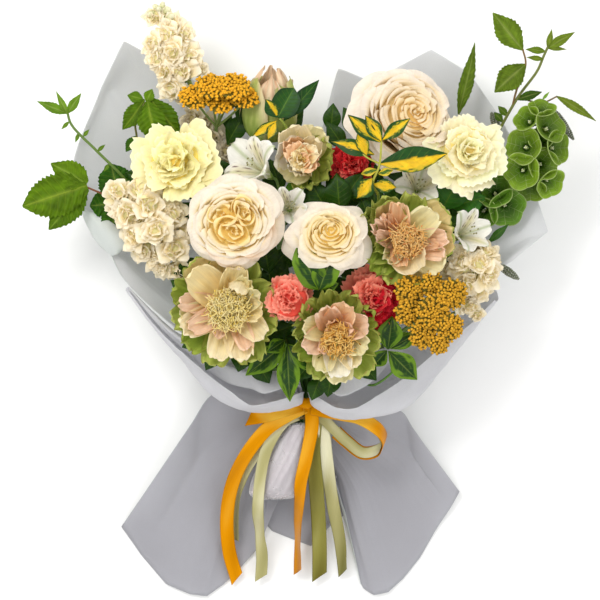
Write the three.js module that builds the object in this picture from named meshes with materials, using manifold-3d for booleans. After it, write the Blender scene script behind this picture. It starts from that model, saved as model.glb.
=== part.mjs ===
// Hand-tied mixed bouquet in wrapping film and satin ribbons, lying on its back.
// Millimetres. +X is the bouquet's right, +Y runs from the cut stems to the flower tips,
// +Z is up, away from the surface that it rests on. The origin is the middle of the
// footprint, on that surface.
//
// Layout coordinates used in the tables: x to the right, y downwards on a 600 mm square
// plan, and z the height above the surface, all in millimetres.
import * as THREE from 'three';
import { mergeVertices } from 'three/addons/utils/BufferGeometryUtils.js';
import Module from 'manifold-3d';

const wasm = await Module();
wasm.setup();

// ---------------------------------------------------------------- driving dimensions
const PLAN_X = 312.425;       // plan position of the origin
const PLAN_Y = 300.5;
const TIE_X = 306;            // where the bunch is tied
const TIE_Y = 404;
const TIE_Z = 40;
const BUNCH_R = 20.5;         // radius of the stems at the tie
const GAP = 0.35;             // clearance kept where pieces press on each other
const FILM_T = 0.8;           // wrapping film thickness as modelled
const RIBBON_T = 0.8;
const RIBBON_W = 14;          // satin ribbon width
const STEM_SIDES = 5;
const STEM_STEPS = 15;
const STEM_TAIL = 92;         // stem length below the tie
const TAIL_LEAN = -0.40;      // sideways lean of the stems below the tie
const R_INNER = 22.1;         // film layers round the tie
const R_MID = 23.9;
const R_OUT = 25.6;
const R_BAND = 27.4;          // ribbon round the tie

const P = (x, y, z) => new THREE.Vector3(x - PLAN_X, PLAN_Y - y, z);
const V = (a) => new THREE.Vector3(a[0], a[1], a[2]);

// ---------------------------------------------------------------- solids
function toSolid(geometry) {
  const g = geometry.clone();
  for (const name of Object.keys(g.attributes)) if (name !== 'position') g.deleteAttribute(name);
  const m = mergeVertices(g, 1e-4);
  const src = m.index.array;
  const pos = Float32Array.from(m.attributes.position.array);
  const tri = [];
  for (let i = 0; i < src.length; i += 3) {
    const [a, b, c] = [src[i], src[i + 1], src[i + 2]];
    if (a !== b && b !== c && a !== c) tri.push(a, b, c);
  }
  let vol = 0;
  const at = (i) => new THREE.Vector3(pos[3 * i], pos[3 * i + 1], pos[3 * i + 2]);
  for (let i = 0; i < tri.length; i += 3) {
    vol += at(tri[i]).dot(at(tri[i + 1]).cross(at(tri[i + 2])));
  }
  if (vol < 0) for (let i = 0; i < tri.length; i += 3) [tri[i + 1], tri[i + 2]] = [tri[i + 2], tri[i + 1]];
  return new wasm.Manifold(new wasm.Mesh({ numProp: 3, vertProperties: pos, triVerts: Uint32Array.from(tri) }));
}

function join(list) {
  let out = null;
  for (const s of list) if (s) out = out ? out.add(s) : s;
  return out;
}

function boxOf(s) {
  const m = s.getMesh();
  const b = new THREE.Box3();
  const v = new THREE.Vector3();
  for (let i = 0; i < m.vertProperties.length; i += m.numProp) {
    b.expandByPoint(v.set(m.vertProperties[i], m.vertProperties[i + 1], m.vertProperties[i + 2]));
  }
  return b;
}

// A profile of [radius, height] turned round +Y and then aimed along d, at point o.
// grow moves its surface out; waves and depth give it a lobed edge.
function turned(o, d, profile, sides, grow = 0, waves = 0, depth = 0, phase = 0) {
  const n = profile.length;
  const pts = profile.map((p, i) => {
    if (grow === 0) return new THREE.Vector2(p[0], p[1]);
    const a = profile[Math.max(0, i - 1)];
    const b = profile[Math.min(n - 1, i + 1)];
    let tx = b[0] - a[0];
    let ty = b[1] - a[1];
    const l = Math.hypot(tx, ty) || 1;
    tx /= l; ty /= l;
    return new THREE.Vector2(p[0] < 1e-6 ? 0 : p[0] + ty * grow, p[1] - tx * grow + (p[0] < 1e-6 ? Math.sign(i - n / 2) * grow * 0.5 : 0));
  });
  const g = new THREE.LatheGeometry(pts, sides);
  const pos = g.attributes.position;
  const rMax = Math.max(...profile.map((p) => p[0]));
  for (let i = 0; i < pos.count; i++) {
    const x = pos.getX(i), z = pos.getZ(i);
    const r = Math.hypot(x, z);
    if (r > 1e-6 && waves) {
      const k = 1 + depth * (r / rMax) * Math.cos(waves * Math.atan2(z, x) + phase);
      pos.setX(i, x * k); pos.setZ(i, z * k);
    }
  }
  const q = new THREE.Quaternion().setFromUnitVectors(new THREE.Vector3(0, 1, 0), d.clone().normalize());
  g.applyMatrix4(new THREE.Matrix4().compose(o, q, new THREE.Vector3(1, 1, 1)));
  return toSolid(g);
}

// A round stem along a smooth line of points.
function tube(points, r, sides = STEM_SIDES, steps = STEM_STEPS, grow = 0) {
  const curve = new THREE.CatmullRomCurve3(points, false, 'centripetal');
  const R = (r + grow) * 1.04;
  const shape = new THREE.Shape();
  for (let i = 0; i < sides; i++) {
    const a = (i / sides) * 2 * Math.PI;
    if (i === 0) shape.moveTo(R * Math.cos(a), R * Math.sin(a));
    else shape.lineTo(R * Math.cos(a), R * Math.sin(a));
  }
  shape.closePath();
  return toSolid(new THREE.ExtrudeGeometry(shape, { steps, extrudePath: curve, bevelEnabled: false }));
}

function lump(o, r, grow = 0, squash = 1) {
  const g = new THREE.SphereGeometry(r + grow, 7, 4);
  g.scale(1, 1, squash);
  g.translate(o.x, o.y, o.z);
  return toSolid(g);
}

// A leaf blade: a thin solid from base to tip, arched and folded along its midrib.
const LEAF = [[0, 0.06], [0.16, 0.62], [0.36, 1], [0.6, 0.93], [0.82, 0.52], [1, 0.03]];
const LANCE = [[0, 0.08], [0.2, 0.7], [0.5, 1], [0.8, 0.6], [1, 0.05]];
const ROUND = [[0, 0.12], [0.12, 0.72], [0.4, 1], [0.7, 0.88], [0.92, 0.42], [1, 0.06]];
function leaf(base, tip, width, { up = [0, 0, 1], arch = 0.08, fold = 0.15, t = 1.3, outline = LEAF } = {}, grow = 0) {
  const X = tip.clone().sub(base);
  const L = X.length();
  X.normalize();
  const Y = new THREE.Vector3().crossVectors(V(up), X).normalize();
  const Z = new THREE.Vector3().crossVectors(X, Y).normalize();
  const len = L + 2 * grow;
  const half = width / 2;
  const shape = new THREE.Shape();
  const ring = [
    ...outline.map(([u, w]) => [u * len - grow, w * half + grow]),
    ...outline.slice().reverse().map(([u, w]) => [u * len - grow, -(w * half + grow)]),
  ];
  ring.forEach(([x, y], i) => (i ? shape.lineTo(x, y) : shape.moveTo(x, y)));
  shape.closePath();
  const g = new THREE.ExtrudeGeometry(shape, { depth: t + 2 * grow, steps: 1, bevelEnabled: false });
  const pos = g.attributes.position;
  for (let i = 0; i < pos.count; i++) {
    const x = pos.getX(i), y = pos.getY(i);
    const u = Math.min(1, Math.max(0, x / L));
    const z = pos.getZ(i) - (t / 2 + grow) + arch * L * 4 * u * (1 - u) + fold * Math.abs(y);
    const p = base.clone().addScaledVector(X, x).addScaledVector(Y, y).addScaledVector(Z, z);
    pos.setXYZ(i, p.x, p.y, p.z);
  }
  return toSolid(g);
}

// A sheet through a table of points: rows of rib points are joined by smooth curves both
// ways and given a thickness. `rest` presses everything near the surface flat on it.
function loft(ribs, nu, nv) {
  const lines = ribs.map((r) => new THREE.CatmullRomCurve3(r, false, 'catmullrom', 0.5));
  const rows = lines.map((c) => Array.from({ length: nu + 1 }, (_, i) => c.getPoint(i / nu)));
  const grid = Array.from({ length: nv + 1 }, () => []);
  for (let i = 0; i <= nu; i++) {
    const across = new THREE.CatmullRomCurve3(rows.map((r) => r[i]), false, 'catmullrom', 0.5);
    for (let j = 0; j <= nv; j++) grid[j].push(across.getPoint(j / nv));
  }
  return grid;
}
function sheet(grid, t, rest = null) {
  const nv = grid.length - 1, nu = grid[0].length - 1;
  const cols = nu + 1;
  const top = [], bottom = [];
  for (let j = 0; j <= nv; j++) for (let i = 0; i <= nu; i++) {
    const a = grid[j][Math.max(0, i - 1)], b = grid[j][Math.min(nu, i + 1)];
    const c = grid[Math.max(0, j - 1)][i], d = grid[Math.min(nv, j + 1)][i];
    const n = new THREE.Vector3().crossVectors(b.clone().sub(a), d.clone().sub(c)).normalize();
    const p = grid[j][i].clone();
    if (rest !== null && p.z <= rest + 0.35) {
      p.z = rest;
      n.set(0, 0, Math.sign(n.z) || 1);
    }
    top.push(p.clone().addScaledVector(n, t / 2));
    bottom.push(p.clone().addScaledVector(n, -t / 2));
  }
  const pos = [];
  for (const p of [...top, ...bottom]) pos.push(p.x, p.y, p.z);
  const N = cols * (nv + 1);
  const idx = [];
  const quad = (a, b, c, d) => idx.push(a, b, c, a, c, d);
  for (let j = 0; j < nv; j++) for (let i = 0; i < nu; i++) {
    const a = j * cols + i, b = a + 1, c = a + cols + 1, d = a + cols;
    quad(a, b, c, d);
    quad(N + a, N + d, N + c, N + b);
  }
  for (let i = 0; i < nu; i++) {
    quad(i + 1, i, N + i, N + i + 1);
    const k = nv * cols + i;
    quad(k, k + 1, N + k + 1, N + k);
  }
  for (let j = 0; j < nv; j++) {
    const a = j * cols, b = a + cols;
    quad(a, b, N + b, N + a);
    const c = a + nu, d = c + cols;
    quad(d, c, N + c, N + d);
  }
  const g = new THREE.BufferGeometry();
  g.setAttribute('position', new THREE.Float32BufferAttribute(pos, 3));
  g.setIndex(idx);
  return g;
}

// A flat ribbon along a line of [x, y, z, wx, wy, wz] rows: the last three are the
// direction of its width. `shift` moves it off the line along its normal.
function ribbon(rows, width, t, steps, shift = 0) {
  const mid = new THREE.CatmullRomCurve3(rows.map((r) => P(r[0], r[1], r[2])), false, 'centripetal');
  const wide = new THREE.CatmullRomCurve3(rows.map((r) => new THREE.Vector3(r[3], -r[4], r[5])), false, 'centripetal');
  const grid = [];
  for (let j = 0; j <= steps; j++) {
    const c = mid.getPoint(j / steps);
    const w = wide.getPoint(j / steps).normalize().multiplyScalar(width / 2);
    if (shift) c.addScaledVector(mid.getTangent(j / steps).cross(w).normalize(), shift);
    grid.push([c.clone().sub(w), c.clone().add(w)]);
  }
  return toSolid(sheet(grid, t));
}

// Point at an angle round the tie: 0 is right, 90 is up, 180 is left, 270 is down.
const ring = (deg, r, y) => P(TIE_X + r * Math.cos(deg * Math.PI / 180), y, TIE_Z + r * Math.sin(deg * Math.PI / 180));
const STEMS = {
  rose_left: { r: 2.21, pts: [[237.4,223.0,134.3],[238.1,223.0,127.3],[252.6,267.3,110.6],[260.2,289.5,98.8],[267.8,311.7,86.9],[275.4,333.8,75.1],[283.0,356.0,63.2],[288.1,370.8,55.4],[293.2,385.6,47.5],[295.7,393.0,43.6],[295.7,404.0,43.6]] },
  rose_centre: { r: 2.35, pts: [[327.0,241.6,132.1],[326.8,241.9,125.1],[321.3,281.1,108.9],[318.4,300.8,97.3],[315.6,320.5,85.7],[312.7,340.3,74.1],[309.9,360.0,62.6],[308.0,373.1,54.8],[306.1,386.3,47.1],[305.2,393.0,43.5],[305.2,404.0,43.5]] },
  rose_right: { r: 2.40, pts: [[387.1,134.9,95.3],[385.0,137.0,89.0],[366.8,202.2,79.6],[356.7,235.9,71.7],[346.5,269.6,63.8],[336.4,303.2,55.9],[326.2,336.9,48.0],[319.4,359.3,42.7],[312.7,381.8,37.4],[309.3,393.0,34.8],[309.3,404.0,34.8]] },
  carnation_yellow_left: { r: 1.58, pts: [[185.7,172.7,94.4],[187.1,174.1,87.7],[214.1,230.2,79.8],[228.3,258.9,72.5],[242.5,287.6,65.2],[256.7,316.4,58.0],[270.9,345.1,50.7],[280.3,364.3,45.8],[289.8,383.4,41.0],[294.5,393.0,38.5],[294.5,404.0,38.5]] },
  carnation_yellow_right: { r: 1.50, pts: [[457.4,159.7,93.8],[456.0,160.7,87.1],[419.7,220.5,79.4],[400.8,251.0,72.2],[381.9,281.4,65.0],[363.0,311.8,57.8],[344.1,342.3,50.6],[331.5,362.6,45.8],[319.0,382.9,41.0],[312.7,393.0,38.6],[312.7,404.0,38.6]] },
  carnation_coral_centre: { r: 1.70, pts: [[289.0,300.7,121.1],[289.0,301.1,114.1],[292.1,324.0,100.6],[293.7,335.7,90.3],[295.2,347.5,79.9],[296.8,359.6,69.2],[298.5,371.9,60.4],[299.6,380.3,55.0],[300.7,388.8,49.5],[301.3,393.0,46.7],[301.3,404.0,46.7]] },
  carnation_coral_right: { r: 1.70, pts: [[368.5,298.0,107.3],[367.8,298.0,100.3],[353.1,322.7,91.2],[345.4,335.0,83.2],[337.6,347.4,75.1],[329.9,359.8,67.0],[322.2,372.2,59.1],[317.0,380.5,53.9],[311.9,388.8,48.7],[309.3,393.0,46.4],[309.3,404.0,46.4]] },
  carnation_coral_rear: { r: 1.70, pts: [[352.0,171.1,79.0],[352.0,172.5,72.2],[340.3,229.0,66.3],[334.4,257.9,60.0],[328.5,286.9,53.6],[322.7,315.8,47.2],[316.8,344.8,40.9],[312.9,364.1,36.7],[309.0,383.4,32.4],[307.0,393.0,30.3],[307.0,404.0,30.3]] },
  tulip_left: { r: 2.47, pts: [[231.5,305.6,124.7],[232.4,304.9,117.8],[246.7,327.3,102.7],[254.3,338.3,91.7],[262.0,349.4,80.4],[270.0,360.9,68.9],[278.2,372.7,60.5],[283.8,380.7,55.8],[289.5,388.9,51.0],[292.4,393.0,48.6],[292.4,404.0,48.6]] },
  tulip_centre: { r: 2.70, pts: [[333.0,327.6,133.1],[332.8,326.2,126.2],[327.9,341.3,107.7],[325.3,348.4,94.4],[322.5,356.2,80.2],[319.3,364.8,65.7],[315.7,374.7,60.9],[313.0,381.8,57.6],[310.4,389.3,53.9],[309.1,393.0,51.7],[309.1,404.0,51.7]] },
  tulip_right: { r: 2.30, pts: [[398.8,243.6,128.3],[400.4,252.7,113.2],[379.2,292,97.3],[368,310.7,87],[356.4,328.3,77.7],[344.8,345.5,68.8],[333.3,363,59.6],[325.5,374.7,53.6],[317.9,387,46.9],[314,393,43.9],[314,404,43.9]] },
  tulip_rear: { r: 2.70, pts: [[302.0,162.0,100.3],[302.0,162.7,93.3],[302.3,222.3,83.0],[302.5,252.4,74.4],[302.7,282.5,65.7],[302.8,312.7,57.1],[303.0,342.8,48.5],[303.1,362.9,42.7],[303.2,383.0,37.0],[303.3,393.0,34.1],[303.3,404.0,34.1]] },
  tulip_bud: { r: 2.70, pts: [[263.7,145.6,91.0],[262.9,152.3,88.8],[273.5,210.2,74.5],[278.5,242.4,66.3],[283.4,274.7,58.1],[288.4,307.0,49.9],[293.3,339.2,41.7],[296.6,360.7,36.2],[299.9,382.2,30.8],[301.5,393.0,28.0],[301.5,404.0,28.0]] },
  stock_top_left: { r: 2.70, pts: [[214.0,158.0,58.0],[215.9,164.4,55.8],[224.6,188.7,54.3],[235.2,219.3,50.6],[245.9,250.0,46.9],[256.5,280.6,43.2],[267.1,311.3,39.5],[277.7,341.9,35.9],[284.8,362.3,33.4],[291.9,382.8,30.9],[295.4,393.0,29.7],[295.4,404.0,29.7]] },
  stock_left: { r: 2.60, pts: [[196.0,268.0,104.0],[200.7,272.7,101.9],[208.2,284.3,95.9],[220.5,300.6,87.8],[232.7,316.9,79.6],[245.0,333.2,71.5],[257.2,349.5,63.4],[269.5,365.8,55.3],[277.6,376.7,49.9],[285.8,387.6,44.5],[289.9,393.0,41.8],[289.9,404.0,41.8]] },
  stock_right: { r: 2.37, pts: [[462.0,288.0,104.0],[460.1,290.8,97.9],[443.5,301.7,96.1],[425.0,315.4,88.3],[406.6,329.1,80.4],[388.1,342.8,72.5],[369.6,356.5,64.7],[351.1,370.2,56.8],[338.8,379.3,51.6],[326.5,388.4,46.3],[320.3,393.0,43.7],[320.3,404.0,43.7]] },
  yarrow_left: { r: 1.90, pts: [[216.4,127.3,89.3],[216.0,131.7,83.9],[237.6,196.6,75.1],[248.2,231.3,68.0],[258.9,265.9,60.8],[269.5,300.6,53.7],[280.1,335.2,46.6],[287.2,358.3,41.9],[294.2,381.4,37.1],[297.8,393.0,34.7],[297.8,404.0,34.7]] },
  yarrow_right: { r: 1.58, pts: [[416.3,302,108.3],[410.2,305.5,105.2],[381.6,333.6,97.1],[365.3,343.4,84.2],[350.5,352.8,72],[339.4,363.3,66.3],[330.4,374.2,62.4],[324.7,381.5,58.4],[318.3,389.2,52.8],[317,393,48.6],[317,404,48.6]] },
  alstroemeria_rear_left: { r: 1.50, pts: [[272.6,179.1,123.7],[276.9,181.6,118.8],[279.4,234.9,101.6],[282.8,262.8,90.6],[286.2,290.7,79.5],[289.6,318.6,68.5],[293.0,346.5,57.4],[295.2,365.1,50.0],[297.5,383.7,42.7],[298.6,393.0,39.0],[298.6,404.0,39.0]] },
  alstroemeria_centre: { r: 1.50, pts: [[290.1,212.3,128.5],[284.3,225.8,125],[284.1,267.9,110],[292.9,291.9,93.8],[297.6,316.8,79.5],[298.1,339.8,67.2],[300.2,362.5,55.2],[301.9,377.2,47.3],[302.8,390.6,41.3],[300.4,393,42.5],[300.4,404,42.5]] },
  alstroemeria_rear_right: { r: 1.46, pts: [[415.8,194.1,99.5],[415.4,195.8,92.7],[388.1,246.0,84.3],[374.2,271.9,76.7],[360.3,297.9,69.1],[346.5,323.8,61.6],[332.6,349.8,54.0],[323.4,367.1,48.9],[314.1,384.4,43.9],[309.5,393.0,41.3],[309.5,404.0,41.3]] },
  alstroemeria_right: { r: 1.30, pts: [[452.2,238.8,111.7],[449.0,240.2,105.6],[416.9,279.0,92.9],[399.2,299.1,83.5],[381.5,319.3,74.0],[363.8,339.4,64.6],[346.2,359.5,55.2],[334.4,372.9,48.9],[322.6,386.3,42.6],[316.7,393.0,39.5],[316.7,404.0,39.5]] },
  bells_of_ireland: { r: 2.22, pts: [[482.0,222.0,86.0],[477.7,226.7,83.2],[460.8,244.3,79.3],[439.6,266.6,72.7],[418.3,288.9,66.0],[397.1,311.2,59.4],[375.9,333.5,52.7],[354.7,355.8,46.1],[340.5,370.7,41.7],[326.4,385.6,37.2],[319.3,393.0,35.0],[319.3,404.0,35.0]] },
  euonymus_centre: { r: 1.46, pts: [[377.0,196.0,148.0],[377.3,202.0,144.4],[367.8,221.7,133.8],[358.6,247.4,119.5],[349.4,273.1,105.3],[340.2,298.8,91.0],[331.0,324.5,76.8],[321.8,350.2,62.5],[315.7,367.3,53.0],[309.6,384.4,43.5],[306.5,393.0,38.8],[306.5,404.0,38.8]] },
  euonymus_left: { r: 1.44, pts: [[292.0,150.0,112.0],[292.0,155.7,107.9],[293.3,181.7,102.1],[294.7,213.3,92.7],[296.1,245.0,83.3],[297.5,276.7,73.8],[298.9,308.4,64.4],[300.3,340.1,55.0],[301.2,361.3,48.7],[302.1,382.4,42.4],[302.6,393.0,39.2],[302.6,404.0,39.2]] },
  raspberry_left: { r: 1.48, pts: [[150.0,215.0,84.0],[153.6,220.1,80.7],[168.3,238.2,77.8],[186.6,261.4,71.6],[204.9,284.7,65.4],[223.1,307.9,59.2],[241.4,331.1,53.0],[259.7,354.3,46.8],[271.9,369.8,42.7],[284.1,385.3,38.6],[290.2,393.0,36.5],[290.2,404.0,36.5]] },
  raspberry_top_left: { r: 1.32, pts: [[139.0,158.0,96.0],[139.6,164.5,93.4],[159.2,188.6,88.0],[179.3,219.3,79.9],[199.5,249.9,71.9],[219.6,280.6,63.8],[239.8,311.2,55.8],[260.0,341.9,47.8],[273.4,362.3,42.4],[286.8,382.8,37.0],[293.5,393.0,34.4],[293.5,404.0,34.4]] },
  raspberry_right: { r: 1.49, pts: [[494.0,140.0,88.0],[491.2,145.6,84.8],[470.6,173.0,81.0],[447.1,206.0,74.1],[423.7,239.0,67.1],[400.2,272.0,60.2],[376.8,305.0,53.2],[353.3,338.0,46.3],[337.7,360.0,41.6],[322.1,382.0,37.0],[314.2,393.0,34.7],[314.2,404.0,34.7]] },
  veronica_right: { r: 1.20, pts: [[546.0,128.0,80.0],[543.2,134.0,77.9],[515.9,162.6,73.6],[485.9,197.1,67.3],[455.8,231.7,60.9],[425.7,266.3,54.5],[395.6,300.8,48.1],[365.6,335.4,41.8],[345.5,358.4,37.5],[325.5,381.5,33.3],[315.5,393.0,31.1],[315.5,404.0,31.1]] },
  veronica_rear: { r: 1.20, pts: [[488.0,140.0,72.0],[483.5,144.5,69.0],[465.0,173.0,66.6],[442.0,206.0,61.3],[419.0,239.0,55.9],[396.0,272.0,50.6],[373.0,305.0,45.2],[350.0,338.0,39.9],[334.7,360.0,36.3],[319.4,382.0,32.7],[311.7,393.0,31.0],[311.7,404.0,31.0]] },
  veronica_low: { r: 1.20, pts: [[495.5,270,105],[489.5,281,107.5],[473.7,297.1,106.9],[462.1,308.7,98.8],[444.4,317.1,93.5],[417.5,329,88.3],[390.9,347.1,74.9],[364.3,366.6,59.7],[345.8,378.6,50.3],[329.2,389.1,43.6],[321.6,393,39],[321.6,404,39]] },
  greenery_centre: { r: 1.38, pts: [[326.0,300.0,130.0],[328.9,311.8,115.6],[325.9,320.9,109.6],[322.8,331.5,99.1],[318.7,340.3,90.4],[312.8,347.2,83.4],[305.7,353.5,76.8],[300.5,363,70.3],[300.4,372.8,63.6],[302.1,385.1,54.8],[305.2,393,48.2],[305.2,404,48.2]] },
  greenery_right: { r: 1.26, pts: [[392,372,112],[383.1,379.8,106.1],[373.1,385.2,99.8],[366.6,383.8,92.3],[364.3,378.6,87.7],[364.5,370.1,86.4],[364.8,365.4,84.9],[364.3,367,82.4],[357.1,373.2,77.8],[344.3,379.5,69.5],[321.3,393,51.5],[321.3,404,51.5]] },
  greenery_left: { r: 1.40, pts: [[284.0,352.0,104.0],[284.4,355.1,97.7],[284.7,354.1,86.2],[285.6,357.0,79.5],[286.9,360.9,71.0],[288.6,366.1,64.0],[290.7,372.5,60.3],[293.2,379.8,55.9],[294.9,385.0,52.8],[296.6,390.3,49.7],[297.5,393.0,48.0],[297.5,404.0,48.0]] },
};
const STEM_TOP = (name) => STEMS[name].pts[0];

// The stem goes on below the tie, leaning to the left, to its cut end in the wet pack.
function stemLine(name) {
  const { pts } = STEMS[name];
  const line = pts.map((p) => P(p[0], p[1], p[2]));
  line[0].addScaledVector(line[0].clone().sub(line[1]).normalize(), 3);
  const [x, y, z] = pts[pts.length - 1];
  for (const s of [14, 40, 66, STEM_TAIL]) {
    line.push(P(x + TAIL_LEAN * s * s / (s + 15), y + s, z - 0.05 * s));
  }
  return line;
}
const stemSolid = (name, grow = 0) => tube(stemLine(name), STEMS[name].r, STEM_SIDES, STEM_STEPS, grow);

// ---------------------------------------------------------------- flower heads
const dir = (a) => V(a).normalize();

// Full garden rose: hip, cupped outer petals and a domed centre.
function rose(H, d, r, h) {
  return (g) => [turned(P(...H), dir(d), [[0, -h], [2.6, -h], [5.5, -h + 8], [0.32 * r, -h + 15], [0.68 * r, -0.58 * h],
    [0.94 * r, -0.34 * h], [r, -0.17 * h], [0.84 * r, -0.04 * h], [0.45 * r, 0], [0.14 * r, -0.05 * h], [0, -0.06 * h]], 13, g, 5, 0.05)];
}
// Carnation: long green calyx and a frilled dome.
function carnation(H, d, r, h) {
  return (g) => [turned(P(...H), dir(d), [[0, -h], [2, -h], [4.6, -h + 4], [6.2, -h + 14], [6, -h + 25],
    [0.55 * r, -20], [0.92 * r, -15], [r, -8], [0.78 * r, -2], [0.36 * r, 0], [0, -1]], 12, g, 6, 0.06)];
}
// Open double tulip: cupped petals round a pistil and stamens.
function tulip(H, d, r, h) {
  return (g) => [turned(P(...H), dir(d), [[0, -h], [3, -h], [0.42 * r, -0.86 * h], [0.86 * r, -0.56 * h], [r, -0.22 * h],
    [0.93 * r, -0.03 * h], [0.78 * r, 0], [0.58 * r, -0.15 * h], [0.36 * r, -0.3 * h], [0.26 * r, -0.16 * h], [0.1 * r, -0.1 * h], [0, -0.1 * h]], 12, g, 6, 0.05)];
}
// Closed tulip seen from its side.
function bud(H, d, r, h) {
  return (g) => [turned(P(...H), dir(d), [[0, -h], [2.8, -h], [0.62 * r, -0.93 * h], [r, -0.66 * h], [0.97 * r, -0.38 * h],
    [0.8 * r, -0.14 * h], [0.5 * r, -0.02 * h], [0.2 * r, -0.1 * h], [0, -0.12 * h]], 10, g, 3, 0.06)];
}
// Alstroemeria: a funnel of six petals.
function funnel(H, d, r, h) {
  return (g) => [turned(P(...H), dir(d), [[0, -h], [1.6, -h], [3.2, -h + 8], [4.6, -h + 17], [0.5 * r, -11], [r, -1], [0.9 * r, 0.6],
    [0.42 * r, -8], [0.16 * r, -14], [0, -15]], 9, g, 3, 0.1)];
}
// Yarrow: branches from the top of the stem carry flat clusters.
function yarrow(H, d, h, clusters) {
  const D = dir(d);
  const hub = P(...H).addScaledVector(D, -h);
  return (g) => clusters.flatMap(([x, y, z, r]) => {
    const c = P(x, y, z);
    const from = hub.clone().addScaledVector(D, 1);
    const mid = from.clone().lerp(c, 0.55).addScaledVector(D, -4);
    return [
      turned(c, D, [[0, -7], [1.6, -7], [0.8 * r, -4.5], [r, -0.5], [0.72 * r, 2.6], [0, 3.6]], 7, g),
      tube([from, mid, c.clone().addScaledVector(D, -4)], 1.2, 3, 2, g),
    ];
  });
}
// Stock: an axis carrying ruffled florets, with buds at its tip.
function stock(axis, florets, tipR) {
  return (g) => [
    tube(axis.map((p) => P(...p)), tipR, 5, 6, g),
    ...florets.map(([x, y, z, r]) => lump(P(x, y, z), r, g, 0.85)),
  ];
}
// Bells of Ireland: open cups round the stem.
function bells(axis, cups) {
  return (g) => [
    tube(axis.map((p) => P(...p)), 2.4, 5, 6, g),
    ...cups.map(([x, y, z, dx, dy, dz, r]) => turned(P(x, y, z), dir([dx, dy, dz]), [[0, -15], [3, -15], [4.6, -10], [0.78 * r, -2.5],
      [r, 0.5], [r - 1.6, 1.4], [0.62 * r, -1.5], [2.8, -8], [0, -9]], 7, g)),
  ];
}
// Veronica: a thin tapering spike.
function spike(a, b, r) {
  const A = P(...a), B = P(...b);
  const D = B.clone().sub(A);
  const L = D.length();
  return (g) => [turned(A, D, [[0, -2], [1.3, -2], [0.8 * r, 0.12 * L], [r, 0.4 * L], [0.7 * r, 0.75 * L], [0.25 * r, L], [0, L]], 6, g)];
}
const twig = (pts, r = 1.3) => (g) => tube(pts.map((p) => P(...p)), r, 4, Math.max(2, pts.length), g);
const blade = (a, b, w, opt) => (g) => leaf(P(...a), P(...b), w, opt, g);
const sprig = (...items) => (g) => items.map((f) => f(g));

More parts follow.
